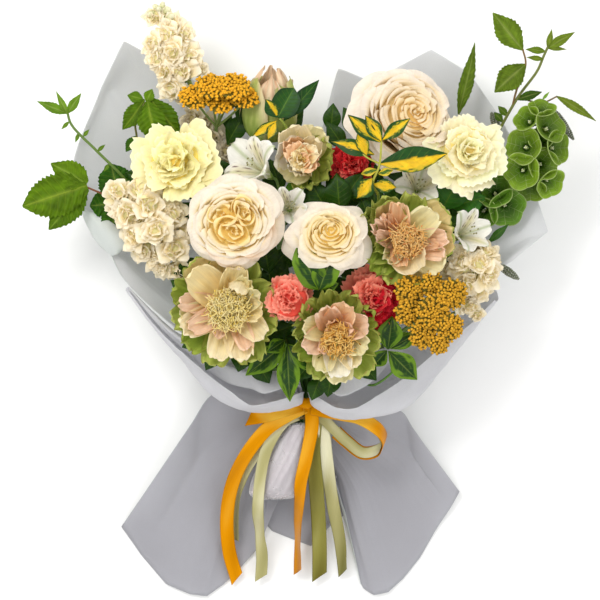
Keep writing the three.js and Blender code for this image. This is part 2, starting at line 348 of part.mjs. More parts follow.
// ---------------------------------------------------------------- plants, front to back
const PLANTS = [
  ['rose_centre', '#f3e9cf', rose([328, 239, 184], [0.02, 0.05, 1], 40, 52)],
  ['rose_left', '#f4ead2', rose([232, 223, 188], [-0.1, 0, 1], 45, 54)],
  ['tulip_centre', '#b7b06a', tulip([334, 338, 184], [0.02, -0.2, 0.98], 44, 52)],
  ['tulip_left', '#cdc07c', tulip([225, 311, 178], [-0.12, -0.1, 0.98], 51, 54)],
  ['tulip_right', '#bfb072', tulip([404, 241, 180], [0.1, 0.05, 0.99], 46, 52)],
  ['carnation_coral_centre', '#ef6a5c', carnation([289, 298, 176], [0, 0.05, 1], 32, 55)],
  ['carnation_coral_right', '#d9434a', carnation([374, 298, 162], [0.1, 0, 1], 34, 55)],
  ['alstroemeria_centre', '#f3f0ea', funnel([288, 206, 170], [-0.05, 0.15, 0.98], 17, 42)],
  ['greenery_centre', '#4f8a2a', sprig(
    twig([STEM_TOP('greenery_centre'), [322, 291, 158], [319, 288, 170]], 1.2),
    blade([320, 289, 169], [300, 248, 176], 24), blade([319, 290, 170], [331, 255, 174], 22))],
  ['yarrow_right', '#dc9a1e', yarrow([431, 309, 164], [0.25, -0.12, 0.95], 58,
    [[431, 311, 165, 17], [408, 290, 162, 15], [450, 294, 162, 15], [447, 327, 162, 14], [421, 334, 161, 14], [406, 312, 161, 13], [430, 284, 160, 12]])],
  ['stock_right', '#f3ead3', stock([STEM_TOP('stock_right'), [470, 276, 130], [479, 264, 146]],
    [[479, 262, 148, 14], [458, 262, 142, 15], [489, 276, 140, 14], [466, 285, 136, 15], [487, 250, 136, 12], [452, 284, 128, 14], [480, 292, 126, 13]], 4)],
  ['carnation_yellow_left', '#f3e7a2', carnation([174, 161, 150], [-0.2, 0.2, 0.95], 39, 58)],
  ['stock_left', '#f0e6cf', stock([STEM_TOP('stock_left'), [160, 232, 120], [130, 202, 126], [116, 190, 126]],
    [[119, 194, 130, 15], [141, 188, 130, 15], [127, 216, 134, 16], [152, 206, 140, 16], [134, 238, 128, 15], [157, 232, 142, 17], [176, 213, 134, 15], [176, 250, 130, 16], [155, 257, 118, 14]], 5)],
  ['carnation_yellow_right', '#f2e6b0', carnation([469, 151, 150], [0.2, 0.15, 0.97], 39, 58)],
  ['rose_right', '#f5ecd8', rose([404, 118, 146], [0.3, 0.3, 0.9], 49, 56)],
  ['alstroemeria_right', '#f3f1ea', funnel([472, 230, 150], [0.45, 0.2, 0.87], 21, 44)],
  ['tulip_rear', '#b9bd74', tulip([302, 157, 150], [0, 0.1, 0.99], 31, 50)],
  ['alstroemeria_rear_left', '#f1efe6', funnel([244, 163, 156], [-0.62, 0.35, 0.7], 22, 46)],
  ['alstroemeria_rear_right', '#f3f1ea', funnel([418, 183, 142], [0.05, 0.25, 0.96], 22, 44)],
  ['euonymus_centre', '#d9b51c', sprig(
    twig([STEM_TOP('euonymus_centre'), [372, 184, 160], [378, 168, 168], [380, 144, 172]], 1.4),
    blade([379, 145, 171], [348, 118, 172], 10), blade([380, 144, 172], [364, 120, 176], 10), blade([381, 143, 171], [407, 123, 176], 9),
    blade([373, 157, 167], [332, 145, 162], 11), blade([366, 158, 168], [358, 137, 170], 9), blade([378, 166, 168], [444, 161, 166], 17),
    blade([371, 180, 162], [358, 198, 160], 14), blade([372, 186, 160], [393, 189, 160], 9),
    twig([[378, 166, 168], [366, 160, 168.5], [361, 156, 168]], 1.1))],
  ['carnation_coral_rear', '#d4383c', carnation([352, 161, 128], [0, 0.2, 0.97], 26, 50)],
  ['yarrow_left', '#e59a16', yarrow([219, 95, 130], [0.05, 0.62, 0.78], 52,
    [[196, 98, 126, 16], [212, 88, 134, 16], [234, 88, 134, 17], [246, 99, 128, 14], [222, 103, 124, 15]])],
  ['bells_of_ireland', '#6ea52a', bells([STEM_TOP('bells_of_ireland'), [504, 198, 100], [524, 170, 104], [536, 138, 106], [541, 112, 108]],
    [[541, 106, 116, 0.1, 0.7, 0.7, 13], [528, 126, 122, -0.4, 0.2, 0.9, 14], [550, 128, 120, 0.5, 0.2, 0.85, 14], [532, 150, 126, -0.1, 0, 1, 15],
      [553, 150, 116, 0.7, -0.1, 0.7, 15], [520, 171, 122, -0.2, -0.1, 0.97, 15], [542, 176, 116, 0.5, -0.4, 0.8, 15], [494, 193, 108, -0.2, 0.3, 0.93, 15],
      [512, 205, 108, 0.3, -0.5, 0.8, 15], [484, 214, 104, -0.4, -0.4, 0.85, 14]])],
  ['euonymus_left', '#1f5a28', sprig(
    twig([STEM_TOP('euonymus_left'), [286, 128, 126], [280, 120, 132]], 1.3),
    blade([278, 119, 132], [294, 90, 134], 26, { outline: ROUND }), blade([278, 119, 132], [266, 102, 136], 15),
    blade([276, 124, 132], [268, 141, 134], 11), blade([277, 122, 131], [252, 139, 130], 10), blade([284, 122, 129], [319, 81, 122], 16))],
  ['raspberry_left', '#5f9a22', sprig(
    twig([STEM_TOP('raspberry_left'), [124, 178, 108], [98, 152, 114], [72, 125, 112], [68, 113, 112]], 1.6),
    twig([[124, 201, 98], [103, 194, 110], [84, 186, 116]], 1.2), twig([[150, 214, 84], [136, 207, 90], [122, 200, 99]], 1.3),
    blade([86, 186, 116], [29, 211, 122], 60, { outline: ROUND, arch: 0.04, fold: 0.08 }),
    blade([120, 202, 98], [112, 166, 100], 34, { outline: ROUND }), blade([122, 203, 96], [119, 232, 106], 24, { outline: ROUND }),
    blade([68, 114, 112], [40, 103, 114], 9), blade([68, 114, 112], [81, 95, 114], 9))],
  ['stock_top_left', '#f2ead6', stock([STEM_TOP('stock_top_left'), [200, 112, 74], [185, 70, 86], [172, 32, 92], [160, 10, 92]],
    [[160, 16, 94, 11], [176, 26, 96, 13], [155, 34, 94, 12], [170, 48, 100, 15], [188, 54, 96, 14], [163, 68, 94, 14], [186, 76, 96, 15], [176, 92, 92, 14], [213, 136, 84, 15], [228, 152, 84, 14]], 4)],
  ['raspberry_top_left', '#3f7d20', sprig(
    twig([STEM_TOP('raspberry_top_left'), [137, 138, 104], [136, 120, 112], [146, 103, 118]], 1.2),
    blade([146, 103, 118], [133, 134, 112], 18), blade([147, 103, 118], [153, 143, 112], 36, { outline: ROUND }),
    blade([148, 102, 118], [176, 135, 108], 24), blade([147, 104, 118], [150, 91, 118], 9))],
  ['raspberry_right', '#6f9a2c', sprig(
    twig([STEM_TOP('raspberry_right'), [501, 127, 96], [518, 97, 104], [537, 71, 108], [543, 57, 109], [548, 46, 110]], 1.6),
    twig([[512, 108, 101], [516, 91, 108], [525, 65, 113], [522, 50, 114]], 1.2),
    blade([522, 51, 114], [493, 15, 118], 25), blade([525, 65, 113], [495, 93, 112], 25), blade([516, 100, 103], [541, 93, 102], 9),
    blade([545, 52, 109], [526, 50, 110], 7), blade([547, 49, 110], [573, 34, 112], 10), blade([547, 49, 110], [551, 31, 112], 6),
    twig([[518, 97, 104], [541, 103, 98], [557, 96.5, 100]], 1), blade([556, 96, 100], [596.5, 120.5, 96], 9),
    twig([[497, 134, 93], [470, 122, 84], [462, 112, 84]], 1), blade([462, 113, 84], [474, 43, 92], 10, { up: [0.7, 0, 0.7] }))],
  ['tulip_bud', '#b5a779', bud([272, 68, 116], [0.1, 0.93, 0.3], 26, 82)],
  ['veronica_right', '#7d8270', sprig(twig([STEM_TOP('veronica_right'), [550, 118, 83], [554, 111, 86]], 1.1), (g) => spike([554, 110, 86], [574, 139, 92], 4.4)(g)[0])],
  ['veronica_rear', '#8a8d80', sprig(twig([STEM_TOP('veronica_rear'), [500, 130, 79]], 1.1), (g) => spike([500, 131, 79], [492, 112, 84], 4)(g)[0])],
  ['veronica_low', '#6a7458', sprig(twig([STEM_TOP('veronica_low'), [499, 266, 106]], 1.1), (g) => spike([499, 265.5, 106], [518, 279, 110], 4)(g)[0])],
  ['greenery_right', '#4c8a28', sprig(
    twig([STEM_TOP('greenery_right'), [388, 351, 140]], 1.2),
    blade([387, 349, 141], [391, 317, 146], 24), blade([388, 351, 141], [414, 378, 138], 24), blade([389, 348, 140], [414, 333, 136], 14))],
  ['greenery_left', '#56962c', sprig(
    twig([STEM_TOP('greenery_left'), [286, 344, 130]], 1.2),
    blade([286, 343, 130], [247, 374, 132], 21), blade([287, 346, 130], [290, 400, 126], 22), blade([285, 340, 130], [268, 352, 138], 14))],
];

// ---------------------------------------------------------------- wrapping film
// Ribs of a back sheet run from its skirt below the tie, through the gather, up to its
// free edge: [angle at the tie, [skirt end], [skirt middle], [..points above the tie]].
function backSheet(ribs, radius, flareBy) {
  return ribs.map(([deg, end, mid, ...up]) => {
    const low = Math.max(0, -Math.sin(deg * Math.PI / 180));
    const s = 10 + 14 * low;
    const flare = ring(deg, radius + flareBy, TIE_Y + s);
    flare.x += TAIL_LEAN * s * s / (s + 15);
    return [P(...end), P(...mid), flare, ring(deg, radius, TIE_Y + 6), ring(deg, radius, TIE_Y - 5), ...up.map((p) => P(...p))];
  });
}
const WRAP_LEFT = [
  [172, [121, 527, 5], [206, 405, 28], [262, 384, 52], [222, 354, 80], [178, 318, 98], [136, 278, 100], [112, 256, 96]],
  [185, [141, 555, 3], [205, 450, 11], [255, 376, 42], [205, 337, 62], [150, 287, 76], [105, 238, 86], [84, 214, 92]],
  [198, [166, 584, 3], [216, 480, 7], [250, 366, 28], [200, 315, 34], [140, 250, 46], [90, 198, 62], [68, 172, 72]],
  [211, [190, 594, 3], [228, 490, 6], [252, 354, 15], [205, 287, 16], [142, 207, 24], [90, 152, 44], [76, 141, 56]],
  [223, [207, 596, 3], [240, 494, 5.5], [260, 344, 8], [212, 258, 6], [160, 172, 11], [112, 98, 28], [98, 84, 44]],
  [234, [224, 584, 4], [251, 492, 5.5], [269, 338, 4.5], [228, 242, 2.4], [186, 152, 4], [142, 74, 20], [121, 37, 42]],
  [245, [243, 565, 5], [263, 486, 5.5], [280, 334, 3], [252, 240, 1.8], [222, 162, 1.8], [184, 96, 6], [160, 58, 16]],
  [256, [258, 548, 5], [275, 478, 5.5], [291, 332, 2.4], [276, 245, 1.8], [262, 185, 1.8], [244, 134, 1.8], [232, 98, 3]],
  [266, [279, 500, 6], [288, 466, 5.5], [301, 332, 2.4], [299, 250, 1.8], [296, 200, 1.8], [293, 158, 1.8], [290, 132, 1.8]],
];
const WRAP_RIGHT = [
  [274, [346, 512, 5], [331, 462, 5.5], [309, 332, 2.4], [313, 250, 1.8], [316, 200, 1.8], [319, 160, 1.8], [323, 128, 6]],
  [285, [363, 588, 3], [338, 478, 5.5], [320, 328, 2.4], [328, 245, 1.8], [333, 178, 3], [335, 115, 14], [339, 64, 32]],
  [296, [374, 595, 3], [348, 486, 5.5], [331, 328, 2.4], [348, 245, 1.8], [358, 178, 3], [366, 118, 11], [373, 77, 20]],
  [307, [388, 592, 3], [360, 490, 5.5], [342, 330, 3], [368, 245, 2.2], [390, 168, 6], [412, 98, 26], [433, 46, 46]],
  [318, [403, 579, 3], [374, 488, 6], [350, 334, 5], [388, 254, 4.6], [424, 178, 12], [454, 108, 36], [472, 71, 54]],
  [329, [420, 558, 3], [390, 478, 8], [358, 342, 9], [403, 268, 11], [450, 200, 24], [489, 142, 48], [504, 118, 62]],
  [340, [437, 528, 4], [402, 464, 10], [364, 354, 18], [414, 292, 28], [470, 238, 46], [514, 196, 66], [532, 178, 76]],
  [351, [450, 508, 5], [408, 446, 13], [361, 366, 32], [414, 318, 51], [470, 274, 71], [522, 242, 86], [549, 232, 92]],
  [364, [459, 491, 7], [408, 418, 26], [352, 378, 46], [400, 345, 76], [450, 305, 94], [492, 274, 99], [512, 262, 98]],
];
const WRAP_BACK = [
  [214, [250, 505, 0.4], [280, 458, 1.6], [262, 360, 0.4], [222, 250, 0.4], [204, 165, 0.4]],
  [242, [272, 531, 0.4], [290, 465, 1.2], [285, 356, 0.4], [262, 240, 0.4], [250, 150, 0.4]],
  [270, [311, 546, 0.4], [304, 466, 1], [307, 354, 0.4], [307, 240, 0.4], [307, 150, 0.4]],
  [298, [332, 524, 0.4], [318, 465, 1.2], [329, 356, 0.4], [352, 240, 0.4], [362, 150, 0.4]],
  [326, [362, 502, 0.4], [334, 458, 1.6], [352, 360, 0.4], [392, 250, 0.4], [410, 165, 0.4]],
];
// Front collars: each is a sheet rolled outwards into a hollow cuff with a slot along its
// front. Every station lists eight points round the roll, from the slot's outer edge over
// the front, the lower edge, the underside, the inner wall and the lip to the slot again.
const gatherRound = (side, y) => [[96, R_OUT], [118, R_OUT], [142, R_OUT], [165, R_OUT - 0.3], [163, R_MID + 0.2], [142, R_MID], [120, R_MID], [98, R_MID]]
  .map(([a, r]) => ring(side < 0 ? a : 180 - a, r, y));
const COLLAR_LEFT = [
  [[303, 392, 90], [303, 399, 88], [302, 403, 80], [300, 400, 76], [297, 391, 74], [297, 382, 79], [299, 378, 87], [300, 387, 92]],
  [[289, 397, 106], [289, 404, 100], [290, 409, 89], [287, 404, 78], [284, 391, 75], [283, 377, 83], [286, 371, 99], [286, 387, 109]],
  [[269, 403, 112], [268, 409, 104], [268, 413, 91], [266, 404, 78], [263, 388, 72], [261, 375, 84], [264, 372, 103], [265, 393, 114]],
  [[250, 405, 110], [249, 409, 102], [248, 412, 90], [246, 402, 70], [243, 384, 68], [242, 370, 80], [245, 370, 104], [251, 389, 104]],
  [[230, 391, 109], [229, 399, 103], [226, 405, 90], [222, 394, 66], [221, 375, 64], [223, 362, 80], [226, 364, 104], [230, 384, 100]],
  [[209, 375, 108], [207, 384, 102], [204, 389, 90], [200, 379, 66], [202, 363, 64], [206, 353, 80], [209, 355, 103], [209, 372, 96]],
  [[188, 357, 106], [186, 361, 100], [183, 362, 91], [180, 355, 72], [183, 345, 70], [188, 340, 82], [191, 344, 102], [189, 354, 96]],
  [[169, 340, 102], [167, 342, 98], [165, 342, 92], [163, 338, 80], [166, 331, 78], [170, 328, 86], [172, 332, 98], [170, 337, 95]],
  [[150, 319, 100], [148.5, 320, 97], [147, 319, 94], [146, 317, 88], [148, 312, 86], [151, 311, 90], [152, 313, 96], [151, 317, 96]],
  [[128, 290, 100], [127, 291, 98], [126, 291, 96], [125.5, 290, 93], [126, 288, 91.5], [128, 287, 92.5], [129, 287.5, 96], [128.8, 289, 97]],
];
const COLLAR_RIGHT = [
  [[309, 392, 90], [310, 399, 88], [311, 403, 80], [313, 400, 76], [316, 391, 74], [316, 382, 79], [313, 378, 87], [312, 387, 92]],
  [[322, 399, 106], [322, 406, 100], [322, 412, 89], [325, 405, 80], [328, 391, 76], [328, 377, 83], [325, 371, 99], [325, 388, 109]],
  [[337, 407, 112], [337, 413, 103], [337, 418, 91], [341, 408, 80], [344, 389, 72], [343, 373, 85], [340, 365, 103], [340, 396, 114]],
  [[356, 407, 110], [356, 414, 102], [356, 419, 91], [360, 408, 82], [363, 387, 68], [360, 369, 84], [354, 359, 106], [356, 391, 108]],
  [[377, 395, 109], [378, 407, 102], [380, 416, 91], [384, 404, 80], [384, 383, 66], [378, 364, 84], [371, 352, 106], [375, 379, 106]],
  [[396, 383, 108], [399, 398, 101], [402, 410, 90], [406, 398, 66], [404, 376, 64], [397, 360, 76], [389, 348, 90], [392, 358, 92]],
  [[415, 369, 106], [417, 385, 100], [419, 397, 89], [424, 388, 66], [421, 368, 60], [415, 356, 60], [409, 347, 62], [406, 343, 66]],
  [[434, 353, 104], [437, 364, 98], [441, 371, 89], [445, 363, 68], [442, 350, 58], [437, 341, 56], [430, 333, 56], [425, 328, 58]],
  [[455, 337, 103], [458, 343, 98], [461, 347, 90], [464, 342, 73], [461, 331, 62], [456, 323, 59], [450, 316, 59], [445, 311, 61]],
  [[477, 318, 103], [479, 321, 99], [481, 322, 92], [484, 318, 80], [481, 310, 70], [477, 303, 66], [472, 297, 66], [468, 293, 68]],
  [[494, 300, 104], [496, 301, 101], [497.5, 301, 96], [499, 298, 87], [498, 292, 80], [495, 287, 77], [491, 283, 77], [488, 280, 78]],
];

// ---------------------------------------------------------------- build
const group = new THREE.Group();
group.name = 'mixed_flower_bouquet';

function largestBody(solid, keep = null) {
  const m = solid.getMesh();
  const n = m.vertProperties.length / m.numProp;
  const parent = Array.from({ length: n }, (_, i) => i);
  const find = (i) => { while (parent[i] !== i) { parent[i] = parent[parent[i]]; i = parent[i]; } return i; };
  const unite = (a, b) => { parent[find(a)] = find(b); };
  const t = m.triVerts;
  for (let i = 0; i < t.length; i += 3) { unite(t[i], t[i + 1]); unite(t[i], t[i + 2]); }
  const at = (i) => new THREE.Vector3(m.vertProperties[m.numProp * i], m.vertProperties[m.numProp * i + 1], m.vertProperties[m.numProp * i + 2]);
  const vol = new Map();
  for (let i = 0; i < t.length; i += 3) {
    const r = find(t[i]);
    vol.set(r, (vol.get(r) || 0) + at(t[i]).dot(at(t[i + 1]).cross(at(t[i + 2]))) / 6);
  }
  let best = -1, bv = -Infinity;
  for (const [r, v] of vol) if (v > bv) { bv = v; best = r; }
  const pos = [], idx = [], map = new Map();
  for (let i = 0; i < t.length; i += 3) {
    if (find(t[i]) !== best) continue;
    for (let k = 0; k < 3; k++) {
      const v = t[i + k];
      if (!map.has(v)) { map.set(v, pos.length / 3); const p = at(v); pos.push(p.x, p.y, p.z); }
      idx.push(map.get(v));
    }
  }
  const g = new THREE.BufferGeometry();
  g.setAttribute('position', new THREE.Float32BufferAttribute(pos, 3));
  g.setIndex(idx);
  return g;
}
function addMesh(name, solid, colour, roughness = 0.6, metalness = 0) {
  const mesh = new THREE.Mesh(largestBody(solid), new THREE.MeshStandardMaterial({ color: colour, roughness, metalness }));
  mesh.name = name;
  group.add(mesh);
  return mesh;
}

// film, ribbons and packing
const filmNodes = [];
function film(name, make, colour, rough) {
  filmNodes.push({ name, solid: make(FILM_T), grown: make(FILM_T + 2 * GAP), colour, rough });
}
film('wrap_back', (t) => toSolid(sheet(loft(backSheet(WRAP_BACK, R_MID + 0.1, 7.5), 12, 8), t, FILM_T / 2)), '#b9b8bf', 0.7);
film('wrap_left', (t) => toSolid(sheet(loft(backSheet(WRAP_LEFT, R_INNER, 6.5), 16, 12), t, 1.85)), '#c5c5cc', 0.7);
film('wrap_right', (t) => toSolid(sheet(loft(backSheet(WRAP_RIGHT, R_INNER, 6.5), 16, 12), t, 1.85)), '#c5c5cc', 0.7);
const stations = (rows, side) => [gatherRound(side, TIE_Y + 6), gatherRound(side, TIE_Y - 7), ...rows.map((r) => r.map((p) => P(...p)))];
film('collar_left', (t) => toSolid(sheet(loft(stations(COLLAR_LEFT, -1), 11, 14), t)), '#cbcbd1', 0.7);
film('collar_right', (t) => toSolid(sheet(loft(stations(COLLAR_RIGHT, 1), 11, 15), t)), '#cbcbd1', 0.7);

// Twine round the stems just below the gather of the film.
const TWINE_Y = TIE_Y + 15;
{
  const s = TWINE_Y - TIE_Y;
  const o = P(TIE_X + TAIL_LEAN * s * s / (s + 15), TWINE_Y, TIE_Z - 0.05 * s);
  const g = new THREE.LatheGeometry([[BUNCH_R + 0.45, -1.2], [BUNCH_R + 1.15, -1.2], [BUNCH_R + 1.15, 1.2], [BUNCH_R + 0.45, 1.2], [BUNCH_R + 0.45, -1.2]]
    .map((p) => new THREE.Vector2(p[0], p[1])), 20);
  g.translate(o.x, o.y, o.z);
  addMesh('stem_twine', toSolid(g), '#b79a5e', 0.9);
}

// The wet pack: tissue round the stem ends, and over it a clear bag open at its mouth.
// Rings are [y, centre x, centre z, half width, half height].
function bagSolid(rings, t, closeEnd) {
  const n = 15;
  const line = rings.map(([y, cx, cz, a, b]) => Array.from({ length: n }, (_, i) => {
    const w = 2 * Math.PI * i / n;
    return [cx + a * Math.cos(w), y, cz + b * Math.sin(w)];
  }));
  const pos = [], idx = [];
  const inner = rings.map(([y, cx, cz, a, b]) => Array.from({ length: n }, (_, i) => {
    const w = 2 * Math.PI * i / n;
    return [cx + (a - t) * Math.cos(w), y, cz + (b - t) * Math.sin(w)];
  }));
  for (const r of line) for (const p of r) { const v = P(...p); pos.push(v.x, v.y, v.z); }
  const N = line.length * n;
  for (const r of inner) for (const p of r) { const v = P(...p); pos.push(v.x, v.y, v.z); }
  const q = (a, b, c, d) => idx.push(a, b, c, a, c, d);
  const m = rings.length;
  for (let j = 0; j < m - 1; j++) for (let i = 0; i < n; i++) {
    const k = (i + 1) % n;
    q(j * n + i, j * n + k, (j + 1) * n + k, (j + 1) * n + i);
    q(N + j * n + i, N + (j + 1) * n + i, N + (j + 1) * n + k, N + j * n + k);
  }
  for (let i = 0; i < n; i++) { const k = (i + 1) % n; q(k, i, N + i, N + k); }
  const L = (m - 1) * n;
  if (closeEnd) {
    const [y, cx, cz] = rings[m - 1];
    const a = P(cx, y + 1.5, cz), b = P(cx, y + 1.5 - t, cz);
    const c0 = pos.length / 3; pos.push(a.x, a.y, a.z); pos.push(b.x, b.y, b.z);
    for (let i = 0; i < n; i++) { const k = (i + 1) % n; idx.push(L + i, L + k, c0); idx.push(N + L + k, N + L + i, c0 + 1); }
  } else {
    for (let i = 0; i < n; i++) { const k = (i + 1) % n; q(L + i, L + k, N + L + k, N + L + i); }
  }
  const g = new THREE.BufferGeometry();
  g.setAttribute('position', new THREE.Float32BufferAttribute(pos, 3));
  g.setIndex(idx);
  return toSolid(g);
}
const lean = (s) => TIE_X + TAIL_LEAN * s * s / (s + 15);
const TISSUE = [[30, 21.6, 21.6], [44, 22.4, 22], [70, 23, 22], [90, 23, 21.4]].map(([s, a, b]) => [TIE_Y + s, lean(s), TIE_Z - 0.05 * s, a + 1.2, b + 1.2]);
const WET_BAG = [[21, 22.8, 22.8], [26, 23.6, 23.6], [36, 25.5, 25], [55, 27.5, 25.6], [78, 28.5, 25.4], [94, 28.5, 24.6], [99, 25, 20]]
  .map(([s, a, b]) => [TIE_Y + s, lean(s), TIE_Z - 0.05 * s, a, b]);
addMesh('stem_tissue', bagSolid(TISSUE, 1.0, false), '#e9e4e2', 0.95);
addMesh('wet_pack', bagSolid(WET_BAG, 0.8, true), '#dfe3e6', 0.2);

// Ribbons: one orange and two sage, each with its tails, tied over the gather.
const band = (y, half, r, t) => toSolid(new THREE.LatheGeometry([[r, -half], [r + t, -half], [r + t, half], [r, half], [r, -half]]
  .map((p) => new THREE.Vector2(p[0], p[1])), 24).translate(...P(TIE_X, y, TIE_Z).toArray()));
const knot = (x, y, z, a, b, c) => toSolid(new THREE.SphereGeometry(1, 9, 7).scale(a, b, c).translate(...P(x, y, z).toArray()));
// The bow's loop: an orange ply outside and a sage ply inside it.
const LOOP = [[326, 411, 72, 0, 1, 0.1], [342, 417, 75, 0, 1, 0.3], [357, 421, 78, -0.1, 0.9, 0.4], [371, 426, 77, -0.3, 0.7, 0.6], [382, 436, 71, -0.4, 0.3, 0.8], [383, 447, 62, -0.3, -0.3, 0.9], [374, 456, 55, -0.2, -0.6, 0.8], [358, 450, 52, 0.2, -0.7, 0.7], [343, 439, 54, 0.5, -0.7, 0.4], [332, 428, 59, 0.8, -0.6, 0.2]];
const ORANGE = [
  band(TIE_Y, 4, R_BAND, 1),
  knot(306.5, 404, 70.4, 9, 5.5, 3),
  ribbon([[302, 405, 70.5, 0, 1, 0.1], [286, 410, 70, 0.1, 1, 0.1], [266, 416, 70, 0.3, 1, 0.1], [252, 420, 67, 0.6, 0.9, 0.1]], 12, RIBBON_T, 6),
  ribbon([[304, 407, 70.5, 0.9, 0.5, 0], [288, 415, 68.8, 0.6, 0.8, 0], [268, 428, 67, 0.8, 0.6, 0], [248, 452, 60, 1, 0.4, 0], [233, 482, 40, 1, 0.2, 0], [227, 515, 24, 1, 0, 0], [229, 550, 15, 1, -0.1, 0], [237, 580, 8, 1, -0.4, 0]], RIBBON_W, RIBBON_T, 14),
  ribbon([[311, 405, 71, 1, 0, 0], [312, 425, 69.5, 1, 0.1, 0.1], [307, 455, 66, 0.9, 0.2, 0.4], [301, 482, 65, 0.8, 0.1, 0.4], [299.5, 500, 60, 0.8, 0, 0.5], [298, 520, 40, 0.6, 0, 0.8], [298, 545, 22, 0.6, 0.1, 0.8], [299, 572, 14, 0.8, 0.2, 0.6]], RIBBON_W, RIBBON_T, 12),
  ribbon([[311, 408, 71.5, 0.2, 1, 0], ...LOOP.slice(0, -1), [336, 433, 56.8, 0.75, -0.62, 0.22]], RIBBON_W, RIBBON_T, 20),
];
const PLY = -1.8;             // distance between the two plies
const SAGE_LEFT = [
  knot(297, 415, 65, 6, 4, 2.2),
  ribbon([[297, 415, 65, 0.8, 0.5, 0], [286, 420, 64, 0.7, 0.7, 0], [272, 432, 61.5, 0.8, 0.6, 0], [257, 452, 53, 0.8, 0.4, 0.4], [243, 478, 38, 0.6, 0.3, 0.7], [236, 505, 20, 0.5, 0.1, 0.8], [236, 540, 9.5, 0.5, 0, 0.8]], 12, RIBBON_T, 12),
  ribbon([[297, 415, 65, 0.8, 0.5, 0], [288, 418, 65, 0.8, 0.6, 0], [277, 430, 64, 0.9, 0.5, 0], [266, 451, 62, 1, 0.3, 0.1], [260.5, 477, 62, 1, 0.1, 0.3], [258.5, 497, 60, 1, 0, 0.3], [258, 513, 51, 0.9, 0, 0.4], [260, 532, 28, 0.8, 0, 0.6], [262, 556, 17, 1, 0, 0.1], [261, 579, 11, 1, -0.2, 0]], 12, RIBBON_T, 14),
];
const SAGE_RIGHT = [
  knot(316.5, 415, 65, 6, 4, 2.2),
  ribbon([[316, 415, 65, 1, 0, 0], [314, 430, 63, 1, 0, 0], [313, 452, 62, 1, 0, 0], [316, 485, 51, 1, 0, 0], [318, 512, 31, 1, 0, 0], [319.5, 545, 17, 1, 0, 0], [319.5, 578, 11, 1, -0.2, 0]], 15, RIBBON_T, 12),
  ribbon([[317, 415, 65, 1, 0, -0.3], [324, 434, 61, 0.8, -0.1, -0.5], [327, 462, 53, 1, -0.1, -0.2], [330, 486, 42, 1, -0.1, 0], [334, 510, 30, 1, -0.2, 0.1], [340, 541, 17, 0.8, -0.2, 0.4], [343, 574, 10, 0.5, -0.2, 0.8]], 12, RIBBON_T, 12),
  ribbon([...LOOP.slice(1), [324, 420, 63, 0.8, -0.6, 0.1], [316.5, 414.5, 65.3, 0.8, -0.6, 0.1]], 11, RIBBON_T, 20, PLY),
];
const RIBBONS = [['ribbon_orange', ORANGE, '#e89a10'], ['ribbon_sage_left', SAGE_LEFT, '#b9b97f'], ['ribbon_sage_right', SAGE_RIGHT, '#b3b06f']];
for (const [name, list, colour] of RIBBONS) addMesh(name, join(list), colour, 0.35);
for (const f of filmNodes) addMesh(f.name, f.solid, f.colour, f.rough);

// Plants. Stems run clear of each other; a head or leaf that presses on another plant or
// on the film is cut back by the clearance.
const stems = new Map(), stemCutters = new Map();
for (const name of Object.keys(STEMS)) {
  stems.set(name, stemSolid(name));
  const s = stemSolid(name, GAP);
  stemCutters.set(name, { s, b: boxOf(s) });
}
const cutters = filmNodes.map((f) => ({ s: f.grown, b: boxOf(f.grown) }));
for (const [name, colour, make] of PLANTS) {
  let body = join(make(0));
  const box = boxOf(body);
  for (const c of cutters) if (c.b.intersectsBox(box)) body = body.subtract(c.s);
  for (const [other, c] of stemCutters) if (other !== name && c.b.intersectsBox(box)) body = body.subtract(c.s);
  addMesh(name, stems.get(name).add(body), colour, 0.65);
  const grown = join(make(GAP));
  cutters.push({ s: grown, b: boxOf(grown) });
}

export default group;
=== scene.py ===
# Looks of a hand-tied mixed bouquet lying on its back: flowers, foliage, wrapping film and
# satin ribbons. Metres in Blender; the tables below are millimetres in the layout frame
# (x to the right, y downwards, z up), the same one as the CAD tables.
import math

import numpy as np
import bpy
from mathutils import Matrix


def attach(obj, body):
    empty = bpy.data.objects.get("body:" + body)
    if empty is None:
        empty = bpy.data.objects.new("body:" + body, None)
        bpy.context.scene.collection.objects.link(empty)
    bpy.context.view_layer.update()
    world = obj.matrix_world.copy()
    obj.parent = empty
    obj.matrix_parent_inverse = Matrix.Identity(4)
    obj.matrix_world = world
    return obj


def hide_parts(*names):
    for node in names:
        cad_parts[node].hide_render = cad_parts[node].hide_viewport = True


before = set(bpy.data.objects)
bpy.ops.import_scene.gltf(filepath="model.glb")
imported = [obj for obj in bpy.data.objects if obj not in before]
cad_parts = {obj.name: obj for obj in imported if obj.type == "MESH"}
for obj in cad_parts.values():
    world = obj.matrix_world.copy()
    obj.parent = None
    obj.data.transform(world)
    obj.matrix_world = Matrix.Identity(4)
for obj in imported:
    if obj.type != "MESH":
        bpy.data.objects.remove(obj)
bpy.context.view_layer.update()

PLAN_X, PLAN_Y = 312.425, 300.5
TIE_X, TIE_Y, TIE_Z = 306.0, 404.0, 40.0
TAIL_LEAN = -0.40


